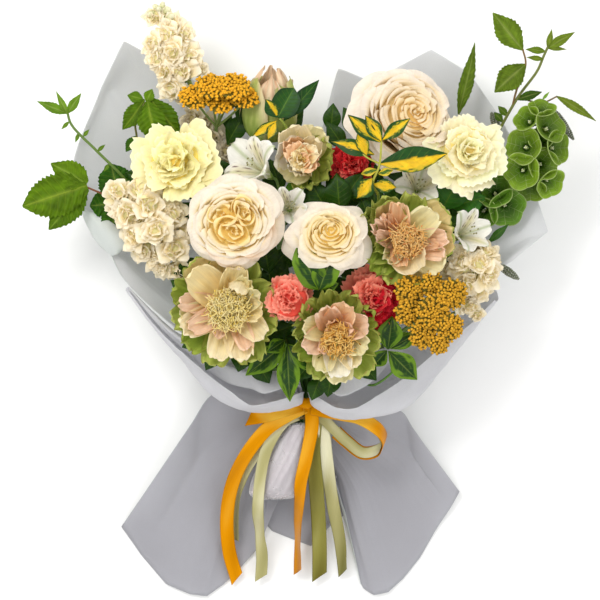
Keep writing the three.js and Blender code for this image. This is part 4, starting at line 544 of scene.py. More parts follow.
# ------------------------------------------------------------------ stem routes
# Each stem: radius, then its route from the head to below the tie, in the layout frame.
STEMS = {
    "rose_left": (2.21, [[237.4,223.0,134.3],[238.1,223.0,127.3],[252.6,267.3,110.6],[260.2,289.5,98.8],[267.8,311.7,86.9],[275.4,333.8,75.1],[283.0,356.0,63.2],[288.1,370.8,55.4],[293.2,385.6,47.5],[295.7,393.0,43.6],[295.7,404.0,43.6]]),
    "rose_centre": (2.35, [[327.0,241.6,132.1],[326.8,241.9,125.1],[321.3,281.1,108.9],[318.4,300.8,97.3],[315.6,320.5,85.7],[312.7,340.3,74.1],[309.9,360.0,62.6],[308.0,373.1,54.8],[306.1,386.3,47.1],[305.2,393.0,43.5],[305.2,404.0,43.5]]),
    "rose_right": (2.40, [[387.1,134.9,95.3],[385.0,137.0,89.0],[366.8,202.2,79.6],[356.7,235.9,71.7],[346.5,269.6,63.8],[336.4,303.2,55.9],[326.2,336.9,48.0],[319.4,359.3,42.7],[312.7,381.8,37.4],[309.3,393.0,34.8],[309.3,404.0,34.8]]),
    "carnation_yellow_left": (1.58, [[185.7,172.7,94.4],[187.1,174.1,87.7],[214.1,230.2,79.8],[228.3,258.9,72.5],[242.5,287.6,65.2],[256.7,316.4,58.0],[270.9,345.1,50.7],[280.3,364.3,45.8],[289.8,383.4,41.0],[294.5,393.0,38.5],[294.5,404.0,38.5]]),
    "carnation_yellow_right": (1.50, [[457.4,159.7,93.8],[456.0,160.7,87.1],[419.7,220.5,79.4],[400.8,251.0,72.2],[381.9,281.4,65.0],[363.0,311.8,57.8],[344.1,342.3,50.6],[331.5,362.6,45.8],[319.0,382.9,41.0],[312.7,393.0,38.6],[312.7,404.0,38.6]]),
    "carnation_coral_centre": (1.70, [[289.0,300.7,121.1],[289.0,301.1,114.1],[292.1,324.0,100.6],[293.7,335.7,90.3],[295.2,347.5,79.9],[296.8,359.6,69.2],[298.5,371.9,60.4],[299.6,380.3,55.0],[300.7,388.8,49.5],[301.3,393.0,46.7],[301.3,404.0,46.7]]),
    "carnation_coral_right": (1.70, [[368.5,298.0,107.3],[367.8,298.0,100.3],[353.1,322.7,91.2],[345.4,335.0,83.2],[337.6,347.4,75.1],[329.9,359.8,67.0],[322.2,372.2,59.1],[317.0,380.5,53.9],[311.9,388.8,48.7],[309.3,393.0,46.4],[309.3,404.0,46.4]]),
    "carnation_coral_rear": (1.70, [[352.0,171.1,79.0],[352.0,172.5,72.2],[340.3,229.0,66.3],[334.4,257.9,60.0],[328.5,286.9,53.6],[322.7,315.8,47.2],[316.8,344.8,40.9],[312.9,364.1,36.7],[309.0,383.4,32.4],[307.0,393.0,30.3],[307.0,404.0,30.3]]),
    "tulip_left": (2.47, [[231.5,305.6,124.7],[232.4,304.9,117.8],[246.7,327.3,102.7],[254.3,338.3,91.7],[262.0,349.4,80.4],[270.0,360.9,68.9],[278.2,372.7,60.5],[283.8,380.7,55.8],[289.5,388.9,51.0],[292.4,393.0,48.6],[292.4,404.0,48.6]]),
    "tulip_centre": (2.70, [[333.0,327.6,133.1],[332.8,326.2,126.2],[327.9,341.3,107.7],[325.3,348.4,94.4],[322.5,356.2,80.2],[319.3,364.8,65.7],[315.7,374.7,60.9],[313.0,381.8,57.6],[310.4,389.3,53.9],[309.1,393.0,51.7],[309.1,404.0,51.7]]),
    "tulip_right": (2.30, [[398.8,243.6,128.3],[400.4,252.7,113.2],[379.2,292,97.3],[368,310.7,87],[356.4,328.3,77.7],[344.8,345.5,68.8],[333.3,363,59.6],[325.5,374.7,53.6],[317.9,387,46.9],[314,393,43.9],[314,404,43.9]]),
    "tulip_rear": (2.70, [[302.0,162.0,100.3],[302.0,162.7,93.3],[302.3,222.3,83.0],[302.5,252.4,74.4],[302.7,282.5,65.7],[302.8,312.7,57.1],[303.0,342.8,48.5],[303.1,362.9,42.7],[303.2,383.0,37.0],[303.3,393.0,34.1],[303.3,404.0,34.1]]),
    "tulip_bud": (2.70, [[263.7,145.6,91.0],[262.9,152.3,88.8],[273.5,210.2,74.5],[278.5,242.4,66.3],[283.4,274.7,58.1],[288.4,307.0,49.9],[293.3,339.2,41.7],[296.6,360.7,36.2],[299.9,382.2,30.8],[301.5,393.0,28.0],[301.5,404.0,28.0]]),
    "stock_top_left": (2.70, [[214.0,158.0,58.0],[215.9,164.4,55.8],[224.6,188.7,54.3],[235.2,219.3,50.6],[245.9,250.0,46.9],[256.5,280.6,43.2],[267.1,311.3,39.5],[277.7,341.9,35.9],[284.8,362.3,33.4],[291.9,382.8,30.9],[295.4,393.0,29.7],[295.4,404.0,29.7]]),
    "stock_left": (2.60, [[196.0,268.0,104.0],[200.7,272.7,101.9],[208.2,284.3,95.9],[220.5,300.6,87.8],[232.7,316.9,79.6],[245.0,333.2,71.5],[257.2,349.5,63.4],[269.5,365.8,55.3],[277.6,376.7,49.9],[285.8,387.6,44.5],[289.9,393.0,41.8],[289.9,404.0,41.8]]),
    "stock_right": (2.37, [[462.0,288.0,104.0],[460.1,290.8,97.9],[443.5,301.7,96.1],[425.0,315.4,88.3],[406.6,329.1,80.4],[388.1,342.8,72.5],[369.6,356.5,64.7],[351.1,370.2,56.8],[338.8,379.3,51.6],[326.5,388.4,46.3],[320.3,393.0,43.7],[320.3,404.0,43.7]]),
    "yarrow_left": (1.90, [[216.4,127.3,89.3],[216.0,131.7,83.9],[237.6,196.6,75.1],[248.2,231.3,68.0],[258.9,265.9,60.8],[269.5,300.6,53.7],[280.1,335.2,46.6],[287.2,358.3,41.9],[294.2,381.4,37.1],[297.8,393.0,34.7],[297.8,404.0,34.7]]),
    "yarrow_right": (1.58, [[416.3,302,108.3],[410.2,305.5,105.2],[381.6,333.6,97.1],[365.3,343.4,84.2],[350.5,352.8,72],[339.4,363.3,66.3],[330.4,374.2,62.4],[324.7,381.5,58.4],[318.3,389.2,52.8],[317,393,48.6],[317,404,48.6]]),
    "alstroemeria_rear_left": (1.50, [[272.6,179.1,123.7],[276.9,181.6,118.8],[279.4,234.9,101.6],[282.8,262.8,90.6],[286.2,290.7,79.5],[289.6,318.6,68.5],[293.0,346.5,57.4],[295.2,365.1,50.0],[297.5,383.7,42.7],[298.6,393.0,39.0],[298.6,404.0,39.0]]),
    "alstroemeria_centre": (1.50, [[290.1,212.3,128.5],[284.3,225.8,125],[284.1,267.9,110],[292.9,291.9,93.8],[297.6,316.8,79.5],[298.1,339.8,67.2],[300.2,362.5,55.2],[301.9,377.2,47.3],[302.8,390.6,41.3],[300.4,393,42.5],[300.4,404,42.5]]),
    "alstroemeria_rear_right": (1.46, [[415.8,194.1,99.5],[415.4,195.8,92.7],[388.1,246.0,84.3],[374.2,271.9,76.7],[360.3,297.9,69.1],[346.5,323.8,61.6],[332.6,349.8,54.0],[323.4,367.1,48.9],[314.1,384.4,43.9],[309.5,393.0,41.3],[309.5,404.0,41.3]]),
    "alstroemeria_right": (1.30, [[452.2,238.8,111.7],[449.0,240.2,105.6],[416.9,279.0,92.9],[399.2,299.1,83.5],[381.5,319.3,74.0],[363.8,339.4,64.6],[346.2,359.5,55.2],[334.4,372.9,48.9],[322.6,386.3,42.6],[316.7,393.0,39.5],[316.7,404.0,39.5]]),
    "bells_of_ireland": (2.22, [[482.0,222.0,86.0],[477.7,226.7,83.2],[460.8,244.3,79.3],[439.6,266.6,72.7],[418.3,288.9,66.0],[397.1,311.2,59.4],[375.9,333.5,52.7],[354.7,355.8,46.1],[340.5,370.7,41.7],[326.4,385.6,37.2],[319.3,393.0,35.0],[319.3,404.0,35.0]]),
    "euonymus_centre": (1.46, [[377.0,196.0,148.0],[377.3,202.0,144.4],[367.8,221.7,133.8],[358.6,247.4,119.5],[349.4,273.1,105.3],[340.2,298.8,91.0],[331.0,324.5,76.8],[321.8,350.2,62.5],[315.7,367.3,53.0],[309.6,384.4,43.5],[306.5,393.0,38.8],[306.5,404.0,38.8]]),
    "euonymus_left": (1.44, [[292.0,150.0,112.0],[292.0,155.7,107.9],[293.3,181.7,102.1],[294.7,213.3,92.7],[296.1,245.0,83.3],[297.5,276.7,73.8],[298.9,308.4,64.4],[300.3,340.1,55.0],[301.2,361.3,48.7],[302.1,382.4,42.4],[302.6,393.0,39.2],[302.6,404.0,39.2]]),
    "raspberry_left": (1.48, [[150.0,215.0,84.0],[153.6,220.1,80.7],[168.3,238.2,77.8],[186.6,261.4,71.6],[204.9,284.7,65.4],[223.1,307.9,59.2],[241.4,331.1,53.0],[259.7,354.3,46.8],[271.9,369.8,42.7],[284.1,385.3,38.6],[290.2,393.0,36.5],[290.2,404.0,36.5]]),
    "raspberry_top_left": (1.32, [[139.0,158.0,96.0],[139.6,164.5,93.4],[159.2,188.6,88.0],[179.3,219.3,79.9],[199.5,249.9,71.9],[219.6,280.6,63.8],[239.8,311.2,55.8],[260.0,341.9,47.8],[273.4,362.3,42.4],[286.8,382.8,37.0],[293.5,393.0,34.4],[293.5,404.0,34.4]]),
    "raspberry_right": (1.49, [[494.0,140.0,88.0],[491.2,145.6,84.8],[470.6,173.0,81.0],[447.1,206.0,74.1],[423.7,239.0,67.1],[400.2,272.0,60.2],[376.8,305.0,53.2],[353.3,338.0,46.3],[337.7,360.0,41.6],[322.1,382.0,37.0],[314.2,393.0,34.7],[314.2,404.0,34.7]]),
    "veronica_right": (1.20, [[546.0,128.0,80.0],[543.2,134.0,77.9],[515.9,162.6,73.6],[485.9,197.1,67.3],[455.8,231.7,60.9],[425.7,266.3,54.5],[395.6,300.8,48.1],[365.6,335.4,41.8],[345.5,358.4,37.5],[325.5,381.5,33.3],[315.5,393.0,31.1],[315.5,404.0,31.1]]),
    "veronica_rear": (1.20, [[488.0,140.0,72.0],[483.5,144.5,69.0],[465.0,173.0,66.6],[442.0,206.0,61.3],[419.0,239.0,55.9],[396.0,272.0,50.6],[373.0,305.0,45.2],[350.0,338.0,39.9],[334.7,360.0,36.3],[319.4,382.0,32.7],[311.7,393.0,31.0],[311.7,404.0,31.0]]),
    "veronica_low": (1.20, [[495.5,270,105],[489.5,281,107.5],[473.7,297.1,106.9],[462.1,308.7,98.8],[444.4,317.1,93.5],[417.5,329,88.3],[390.9,347.1,74.9],[364.3,366.6,59.7],[345.8,378.6,50.3],[329.2,389.1,43.6],[321.6,393,39],[321.6,404,39]]),
    "greenery_centre": (1.38, [[326.0,300.0,130.0],[328.9,311.8,115.6],[325.9,320.9,109.6],[322.8,331.5,99.1],[318.7,340.3,90.4],[312.8,347.2,83.4],[305.7,353.5,76.8],[300.5,363,70.3],[300.4,372.8,63.6],[302.1,385.1,54.8],[305.2,393,48.2],[305.2,404,48.2]]),
    "greenery_right": (1.26, [[392,372,112],[383.1,379.8,106.1],[373.1,385.2,99.8],[366.6,383.8,92.3],[364.3,378.6,87.7],[364.5,370.1,86.4],[364.8,365.4,84.9],[364.3,367,82.4],[357.1,373.2,77.8],[344.3,379.5,69.5],[321.3,393,51.5],[321.3,404,51.5]]),
    "greenery_left": (1.40, [[284.0,352.0,104.0],[284.4,355.1,97.7],[284.7,354.1,86.2],[285.6,357.0,79.5],[286.9,360.9,71.0],[288.6,366.1,64.0],[290.7,372.5,60.3],[293.2,379.8,55.9],[294.9,385.0,52.8],[296.6,390.3,49.7],[297.5,393.0,48.0],[297.5,404.0,48.0]]),
}


# ------------------------------------------------------------------ plants: shared pieces
def ccr(ctrl, steps):
    """Centripetal Catmull-Rom through ctrl (k, 3), steps + 1 points."""
    c = np.asarray(ctrl, float)
    k = len(c) - 1
    out = []
    for j in range(steps + 1):
        p = k * j / steps
        i = min(int(p), k - 1)
        t = p - i
        p1, p2 = c[i], c[i + 1]
        p0 = c[i - 1] if i > 0 else 2 * c[0] - c[1]
        p3 = c[i + 2] if i + 2 <= k else 2 * c[k] - c[k - 1]
        d0, d1, d2 = (max(np.linalg.norm(a - b) ** 0.5, 1e-4) for a, b in ((p0, p1), (p1, p2), (p2, p3)))
        m1 = ((p1 - p0) / d0 - (p2 - p0) / (d0 + d1) + (p2 - p1) / d1) * d1
        m2 = ((p2 - p1) / d1 - (p3 - p1) / (d1 + d2) + (p3 - p2) / d2) * d1
        out.append(p1 + m1 * t + (-3 * p1 + 3 * p2 - 2 * m1 - m2) * t**2 + (2 * p1 - 2 * p2 + m1 + m2) * t**3)
    return np.array(out)


def stem_line(name):
    pts = np.array(STEMS[name][1], float)
    line = at(pts)
    line[0] = line[0] + unit(line[0] - line[1]) * 3
    x, y, z = pts[-1]
    tail = [[x + TAIL_LEAN * s * s / (s + 15), y + s, z - 0.05 * s] for s in (14, 40, 66, 92)]
    return np.concatenate([line, at(tail)])


def stem(pc, name, col="#5f8a34", col2="#47702c", knots=5):
    r = STEMS[name][0]
    p = ccr(stem_line(name), 84)
    t = np.linspace(0, 1, len(p))
    rr = r * (0.94 + 0.04 * np.sin(t * 23 + r * 9))
    for k in np.linspace(0.12, 0.6, knots):
        rr = rr + r * 0.10 * np.exp(-(((t - k) / 0.006) ** 2))
    pc.tube(p, rr, mix(lin(col), lin(col2), sstep(0.1, 0.8, t)), M["stem"], 9, rnd=r)


def lathe(pc, O, F, prof, col, mat, n=22, smooth=24, waves=0, depth=0.0, puv=None, seed=0):
    p = crom(np.array(prof, float), np.linspace(0, 1, smooth))
    a = np.linspace(0, 2 * math.pi, n, endpoint=False)
    rad = np.maximum(p[:, 0], 0)[:, None] * (1 + depth * np.cos(waves * a)[None] * sstep(0, 1, np.linspace(0, 1, smooth))[:, None])
    L = np.stack([rad * np.cos(a), rad * np.sin(a), np.broadcast_to(p[:, 1:2], rad.shape)], -1)
    U = np.zeros((smooth, n, 3))
    U[..., 0] = np.abs(((a / (2 * math.pi) * 5) % 1) * 2 - 1)[None]
    U[..., 1] = np.linspace(0, 1, smooth)[:, None]
    U[..., 2] = seed
    col = np.asarray(col, float)
    if col.ndim == 2:
        col = np.broadcast_to(col[:, None], (smooth, n, 3))
    pc.grid(O + L @ F.T, col, U, mat, closed=True, cap=True)


def petal(pc, mat, O, F, phi, prof, w, shape, col, nu=15, nv=13, Rc=40.0, tip=0.25, point=0.0, skew=0.0,
          ruffle=0.0, rf=3.0, crinkle=0.0, cf=(7.0, 2.5), teeth=0.0, tf=10.0, lean=0.0, roll=0.0, seed=0, power=2.4, offset=(0.0, 0.0), pleats=None):
    """One petal. prof is its middle line as (radius, height) in the flower's frame, phi its
    direction, w its half width, Rc the radius that it is cupped to across."""
    g = np.random.default_rng(seed)
    ph = g.uniform(0, 6.283, 6)
    u = np.linspace(-1, 1, nu)[None, :]
    v = np.linspace(0, 1, nv)[:, None]
    v = 1 - (1 - v) ** 1.2
    ve = v * (1 - tip * np.abs(u) ** power + point * np.exp(-((u / 0.22) ** 2))) / (1 + max(point, 0))
    if teeth:
        z = 0.5 + 0.5 * np.sin(u * tf * 3.1416 + ph[0] + 1.2 * np.sin(u * 5 + ph[1]))
        ve = ve - teeth * v**5 * z
    ve = np.clip(ve, 0, 1)
    c = crom(prof, ve)
    t = unit(crom(prof, np.clip(ve + 2e-3, 0, 1)) - crom(prof, np.clip(ve - 2e-3, 0, 1)))
    nr, nz = t[..., 1], -t[..., 0]
    sh = np.maximum(crom(np.array(shape, float)[:, None], v)[..., 0], 0.02)
    s = u * w * sh
    rc = crom(np.array(Rc, float)[:, None], v)[..., 0] if np.ndim(Rc) else Rc
    ang = np.clip(s / rc, -2.7, 2.7)
    D = -np.abs(rc) * (1 - np.cos(ang)) * np.sign(rc)
    lat = np.abs(rc) * np.sin(np.abs(ang)) * np.sign(u) + lean * v**2 * w
    grow = v**1.6
    if ruffle:
        D = D + ruffle * grow * (0.35 + 0.65 * np.abs(u)) * (np.sin(rf * 3.1416 * u + ph[2] + 1.5 * v) + 0.5 * np.sin(rf * 5.7 * u + ph[3] - 2 * v))
        lat = lat + 0.5 * ruffle * grow * np.sin(rf * 4.1 * u + ph[4])
    if pleats:
        w0 = pleats[1] * u + 0.35 * np.sin(2.2 * u + ph[1]) + ph[5]
        zig = np.abs(((w0 % 1.0) * 2 - 1)) * 2 - 1
        D = D + pleats[0] * v**1.3 * zig
        ve = np.clip(ve + 0.030 * v**4 * zig, 0, 1)
    if crinkle:
        a1 = np.sin(cf[0] * 3.1416 * u + ph[3] + 2.2 * np.sin(cf[1] * v * 2 + ph[4]))
        a2 = np.sin(cf[1] * 3.1416 * v + ph[5] + 1.7 * np.sin(cf[0] * u * 1.3 + ph[1]))
        a3 = np.sin(cf[0] * 6.1 * u + 4.0 * v + ph[0])
        D = D + crinkle * sstep(0.05, 0.5, v) * (0.6 * a1 + 0.6 * a2 + 0.3 * a3)
    if roll:
        D = D + roll * sstep(0.72, 1.0, np.maximum(v, np.abs(u) * sstep(0.3, 0.8, v)))
    D = D + skew * u * sstep(0, 0.5, v)
    er = np.array([math.cos(phi), math.sin(phi), 0.0])
    et = np.array([-math.sin(phi), math.cos(phi), 0.0])
    L = (c[..., 0] + nr * D)[..., None] * er + lat[..., None] * et + (c[..., 1] + nz * D)[..., None] * np.array([0, 0, 1.0])
    L[..., :2] += np.array(offset) * sstep(0.0, 0.75, v)[..., None]
    U = np.stack(np.broadcast_arrays(u, v, np.full((nv, nu), g.uniform(0, 1))), -1)
    uu, vv = np.broadcast_arrays(u, v)
    pc.grid(O + L @ F.T, np.clip(col(uu, vv), 0, 1), U, mat)


def foliage(pc, name, rows, seed=0):
    """Dark leaves on a flower's own stem: centre x, y, z, heading in degrees, length, width."""
    line = ccr(stem_line(name), 84)[:62]
    for k, row in enumerate(rows):
        x, y, z, deg, L, w = row[:6]
        col = row[6] if len(row) > 6 else "#24480c"
        mid = at([x, y, z])
        h = np.array([math.cos(math.radians(deg)), math.sin(math.radians(deg)), 0.12])
        a, b = mid - h * L * 0.5, mid + h * L * 0.5
        q = min(line, key=lambda q: np.linalg.norm((a - q)[:2]) + 0.5 * abs(a[2] - q[2] - 14))
        if np.linalg.norm(a - q) > 3:
            twig(pc, np.array([q, (q + a) / 2 + [0, 0, 2.0], a]), 0.9, "#3f5f26", layout=False)
        blade(pc, M["leaf"], a, b, w, green(col, "#5a7c2c", amount=0.35, seed=seed + k), LEAF, layout=False, nu=17, nv=27, arch=0.08, fold=0.16, curl=0.12, wave=1.0, seed=seed * 7 + k)


# ------------------------------------------------------------------ roses
def wrapped(pc, mat, O, F, phi, prof, half, col, nu=27, nv=20, tip=0.2, point=0.0, skew=0.0, ruffle=0.0, rf=2.0, crinkle=0.25, offset=(0.0, 0.0), oval=(1.0, 0.0), seed=0):
    """A petal that wraps round the flower's axis. prof is its middle line as (radius, height),
    half its half angle from base to rim."""
    g = np.random.default_rng(seed)
    ph = g.uniform(0, 6.283, 6)
    u = np.linspace(-1, 1, nu)[None, :]
    v = np.linspace(0, 1, nv)[:, None]
    v = 1 - (1 - v) ** 1.15
    ve = np.clip(v * (1 - tip * np.abs(u) ** 2.6 + point * np.exp(-((u / 0.25) ** 2))) / (1 + max(point, 0)), 0, 1)
    c = crom(prof, ve)
    t = unit(crom(prof, np.clip(ve + 2e-3, 0, 1)) - crom(prof, np.clip(ve - 2e-3, 0, 1)))
    nr, nz = t[..., 1], -t[..., 0]
    A = crom(np.array(half, float)[:, None], v)[..., 0] * u
    D = skew * u * sstep(0, 0.5, v)
    D = D + ruffle * v**1.6 * (np.sin(rf * 3.1416 * u + ph[2] + 1.5 * v) + 0.5 * np.sin(rf * 5.7 * u + ph[3] - 2 * v))
    D = D + crinkle * sstep(0.1, 0.6, v) * (np.sin(7.0 * u + ph[0] + 2.0 * np.sin(3 * v + ph[1])) + 0.6 * np.sin(5.0 * v + ph[4] + 1.6 * np.sin(4 * u + ph[5])))
    rad = np.maximum(c[..., 0] + nr * D, 0.2)
    a = phi + A
    L = np.stack([rad * np.cos(a), rad * np.sin(a), c[..., 1] + nz * D], -1)
    ca, sa = math.cos(oval[1]), math.sin(oval[1])
    R2 = np.array([[ca, -sa], [sa, ca]])
    S2 = R2 @ np.diag([oval[0], 1.0 / oval[0]]) @ R2.T
    L[..., :2] = L[..., :2] @ S2.T + np.array(offset) * sstep(0.0, 0.6, v)[..., None]
    uu, vv = np.broadcast_arrays(u, v)
    U = np.stack([uu, vv, np.full((nv, nu), g.uniform(0, 1))], -1)
    pc.grid(O + L @ F.T, np.clip(col(uu, vv), 0, 1), U, mat)


def core(pc, O, F, R, top, col0, col1, mat, base=10.0, dish=0.0, offset=(0.0, 0.0)):
    """The closed heart of a double flower, which the petals stand on."""
    prof = [(0.5, base), (0.45 * R, 0.35 * top + 4), (0.82 * R, 0.68 * top), (R, 0.90 * top), (0.90 * R, top), (0.55 * R, top + 1.0 - 0.4 * dish), (0.25 * R, top + 1.4 - 0.8 * dish), (0.03, top + 1.5 - dish)]
    t = np.linspace(0, 1, 30)
    Oc = O + (np.array([offset[0], offset[1], 0.0]) @ F.T)
    lathe(pc, Oc, F, prof, mix(lin(col0), lin(col1), sstep(0.55, 1.0, t)), mat, 30, 30, waves=5, depth=0.03)


ROSE_FULL = [
    # petals, crest radius, rim radius, crest height, rim height, half angle in degrees
    (6, 0.80, 1.05, 0.80, 0.60, 40), (6, 0.77, 0.98, 0.87, 0.76, 38), (6, 0.73, 0.90, 0.93, 0.87, 38), (6, 0.68, 0.81, 0.965, 0.93, 38),
    (6, 0.61, 0.715, 0.985, 0.965, 38), (5, 0.535, 0.625, 1.0, 0.985, 44), (5, 0.46, 0.54, 1.0, 0.99, 44), (5, 0.385, 0.455, 0.995, 0.985, 45),
    (4, 0.31, 0.375, 0.985, 0.98, 54), (4, 0.235, 0.295, 0.975, 0.97, 54), (3, 0.165, 0.215, 0.965, 0.96, 66), (3, 0.095, 0.14, 0.955, 0.95, 68), (2, 0.035, 0.07, 0.945, 0.94, 85),
]
ROSE_OPEN = [
    (5, 0.60, 1.06, 0.84, 0.55, 47), (5, 0.585, 0.96, 0.90, 0.72, 46), (5, 0.565, 0.84, 0.95, 0.86, 45), (4, 0.545, 0.70, 0.98, 0.94, 54),
    (5, 0.49, 0.58, 1.0, 0.985, 44), (4, 0.42, 0.50, 1.0, 0.99, 54), (4, 0.35, 0.42, 0.99, 0.985, 54), (4, 0.28, 0.345, 0.98, 0.975, 54), (3, 0.21, 0.27, 0.97, 0.965, 68), (3, 0.14, 0.19, 0.96, 0.955, 68), (2, 0.06, 0.11, 0.95, 0.94, 86),
]


def rose(name, H, d, r, h, seed, rings=ROSE_FULL, tone=("#f6ecdc", "#f7e5b6", "#fadf8a", "#fcd269"), blush=None, spin=0.0, drift=(0, 0), whorls=(), wild=1.0, oval=(1.0, 0.0), points=0.0, leaves=()):
    pc = Piece(name, name, slot="petal_cream")
    g = np.random.default_rng(seed)
    F = frame_of(d)
    O = at(H) - h * F[:, 2]
    stem(pc, name)
    foliage(pc, name, leaves, seed)
    lathe(pc, O, F, [(0.3, -0.5), (2.6, 0), (5.0, 4), (6.6, 9), (5.5, 13), (1, 14)], mix(lin("#5c8a34"), lin("#86a650"), np.linspace(0, 1, 24)), M["bud"], 18)
    for k in range(5):
        a = k * 1.2566 + 0.4
        petal(pc, M["plainleaf"], O, F, a, [(3, 9), (9, 6), (18, 5), (25, 0)], 4.2, [1, 0.9, 0.5, 0.06],
              lambda u, v: mix(lin("#3f6a22"), lin("#6f9040"), np.abs(u) * 0.5), 7, 9, 12.0, 0.1, ruffle=0.6, seed=seed + 900 + k)
    ivory, cream, gold, deep = (lin(c) for c in tone)
    core(pc, O, F, 0.60 * r, 0.895 * h, tone[2], tone[3], M["soft"], offset=np.array(drift) * 0.5)
    i = 0
    for ri, (n, cf, ef, hc, he, half) in enumerate(rings):
        off = np.array(drift, float) * (1 - ef)
        for k in range(n):
            i += 1
            phi = spin + 2 * math.pi * (k + 0.5 * (ri % 2)) / n + 0.35 * ri + g.normal(0, 0.10)
            wv = 1 + g.normal(0, 0.018 * wild)
            c_, e_ = r * cf * wv, r * ef * wv * (1 + g.normal(0, 0.012 * wild))
            zc, ze = h * hc + g.normal(0, 0.6 * wild), h * he + g.normal(0, 0.6 * wild)
            prof = [(2.2, 9), (0.42 * c_ + 0.6, 0.40 * zc), (0.80 * c_, 0.72 * zc), (c_, zc - 1.8), (0.5 * (c_ + e_), 0.62 * zc + 0.38 * ze + 0.8), (e_, ze)]
            warm = float(sstep(0.95, 0.25, ef))
            lip = mix(ivory, mix(cream, gold, 0.35), 0.95 * warm * g.uniform(0.7, 1.05))
            body = mix(cream, gold, 0.15 + 0.85 * warm)
            tint = blush(phi % 6.2832, ef) if blush else None

            def colour(u, v, lip=lip, body=body, tint=tint, warm=warm):
                c = mix(deep, body, sstep(0.10, 0.46, v))
                c = mix(c, lip, sstep(0.56, 0.90, v))
                if tint is not None:
                    c = mix(c, tint[0], tint[1] * (0.35 + 0.65 * sstep(0.1, 0.8, np.abs(u))) * (1 - 0.5 * sstep(0.8, 1.0, v)))
                return c

            big = ef > 0.6
            wrapped(pc, M["petal"], O, F, phi, prof, [math.radians(half) * q for q in (0.6, 0.85, 1.0, 1.06, 1.0, 0.84)], colour, nu=35 if big else 23, nv=26 if big else 18,
                    tip=0.10 + 0.10 * float(ef > 0.75), point=(g.uniform(0, 0.06) + points) if big else 0.0, skew=(0.8 + 0.028 * e_) * wild * g.uniform(0.8, 1.2), ruffle=g.uniform(0.5, 1.1) * wild * (1.0 if big else 0.55), rf=g.uniform(0.9, 1.7),
                    crinkle=0.28, seed=seed * 100 + i, offset=off, oval=oval)
    for (dx, dy, wr, wz, n, ph0) in whorls:
        for k in range(2 * n):
            i += 1
            phi = ph0 + k * 3.1416 + (k // 2) * 1.2 + g.normal(0, 0.2)
            c_ = wr * (0.90 - 0.80 * (k / (2 * n - 1.0)) ** 0.9)
            zc = wz - 0.25 * k
            prof = [(0.8, wz - 22), (0.5 * c_, wz - 15), (0.84 * c_, wz - 8), (c_, zc - 1.2), (c_ * 1.07, zc), (c_ * 1.16, zc - 0.8)]
            wrapped(pc, M["petal"], O, F, phi, prof, [1.2, 1.35, 1.5, 1.45, 1.35, 1.1], lambda u, v: mix(mix(deep, gold, sstep(0.1, 0.5, v)), mix(gold, cream, 0.75), sstep(0.55, 0.92, v)),
                    nu=25, nv=18, tip=0.18, skew=1.2, ruffle=0.9, rf=1.1, crinkle=0.35, seed=seed * 100 + i, offset=(dx + g.normal(0, 0.5), dy + g.normal(0, 0.5)), oval=(1.16, ph0))
    return pc.build()


# ------------------------------------------------------------------ carnations
def carnation(name, H, d, r, h, seed, tip, mid, deep, slot, side=None, N=34, amp=1.0, sag=(), heart=None, leaves=(), folds=1.35, press=()):
    pc = Piece(name, name, slot=slot)
    g = np.random.default_rng(seed)
    F = frame_of(d)
    O = at(H) - h * F[:, 2]
    stem(pc, name, "#5f8456", "#3f6440")
    foliage(pc, name, leaves, seed)
    lathe(pc, O, F, [(0.3, -0.5), (2, 0), (4.6, 4), (6.1, 14), (5.9, 25), (7.2, 30), (3, 31)], mix(lin("#5f8a4e"), lin("#83a264"), np.linspace(0, 1, 24)), M["bud"], 20, waves=5, depth=0.05)
    core(pc, O, F, 0.60 * r, h - 10.5, deep, heart or deep, M["soft"], base=24.0)
    rows = []
    for i in range(N):
        f = i / (N - 1)
        rows.append((i * 2.39996 + g.normal(0, 0.22), r * (1.0 - 0.93 * f**0.85) * (1 + g.normal(0, 0.06)) + 0.6, h - 14 + 12.5 * float(sstep(0.0, 0.8, f)) + g.normal(0, 1.2), f, 1.0))
    for (deg, reach, z, k) in sag:
        rows.append((math.radians(deg), r * reach, h + z, 0.0, k))
    for i, (phi, rr, zr, f, big) in enumerate(rows):
        for (deg, wd, k) in press:
            dp = (phi - math.radians(deg) + math.pi) % (2 * math.pi) - math.pi
            near = math.exp(-((dp / math.radians(wd)) ** 2)) * min(1.0, rr / (0.6 * r))
            rr, zr = rr * (1 - k * near), zr - (7.0 * near if k >= 0.5 else 0.0)
        base = h - 28
        prof = [(1.2, base), (2 + 0.08 * rr, base + 8), (0.45 * rr + 1.0, zr - 8 + 3 * f), (0.80 * rr, zr - 1.6), (rr, zr - 2.0 * (1 - f))]
        wid = r * (0.56 - 0.20 * f) * (1 + g.normal(0, 0.10)) * big
        T = tip if side is None else side(phi % 6.2832, f, tip)
        lighter = g.uniform(-0.10, 0.10)

        def colour(u, v, T=T, lighter=lighter):
            c = mix(lin(deep), lin(mid), sstep(0.10, 0.38, v))
            c = mix(c, T, sstep(0.40, 0.80, v))
            # painted highlight: the rim of each petal is painted lighter than its tip colour
            c = mix(c, np.minimum(T * 1.2 + 0.04, 0.98), 0.6 * sstep(0.9, 1.0, v))
            return c * (1 + lighter)

        petal(pc, M["frill"], O, F, phi, prof, wid, [0.10, 0.2, 0.62, 1.0, 1.08], colour, nu=47, nv=17,
              Rc=(70.0 if f < 0.35 else 11.0 + 10 * (1 - f)) * (1 if g.uniform() < 0.75 else -1), tip=0.18, teeth=0.05 + 0.04 * folds, tf=7.0, ruffle=(1.7 + 0.7 * f) * amp / big**0.5, rf=1.3 + g.uniform(0, 0.8),
              skew=g.normal(0, 2.4), crinkle=0.35, cf=(3.5, 2.5), seed=seed * 100 + i, offset=(g.normal(0, 1.4), g.normal(0, 1.4)), pleats=(folds * amp * (1.0 if big == 1.0 else 0.4), g.uniform(2.6, 3.8)))
    return pc.build()


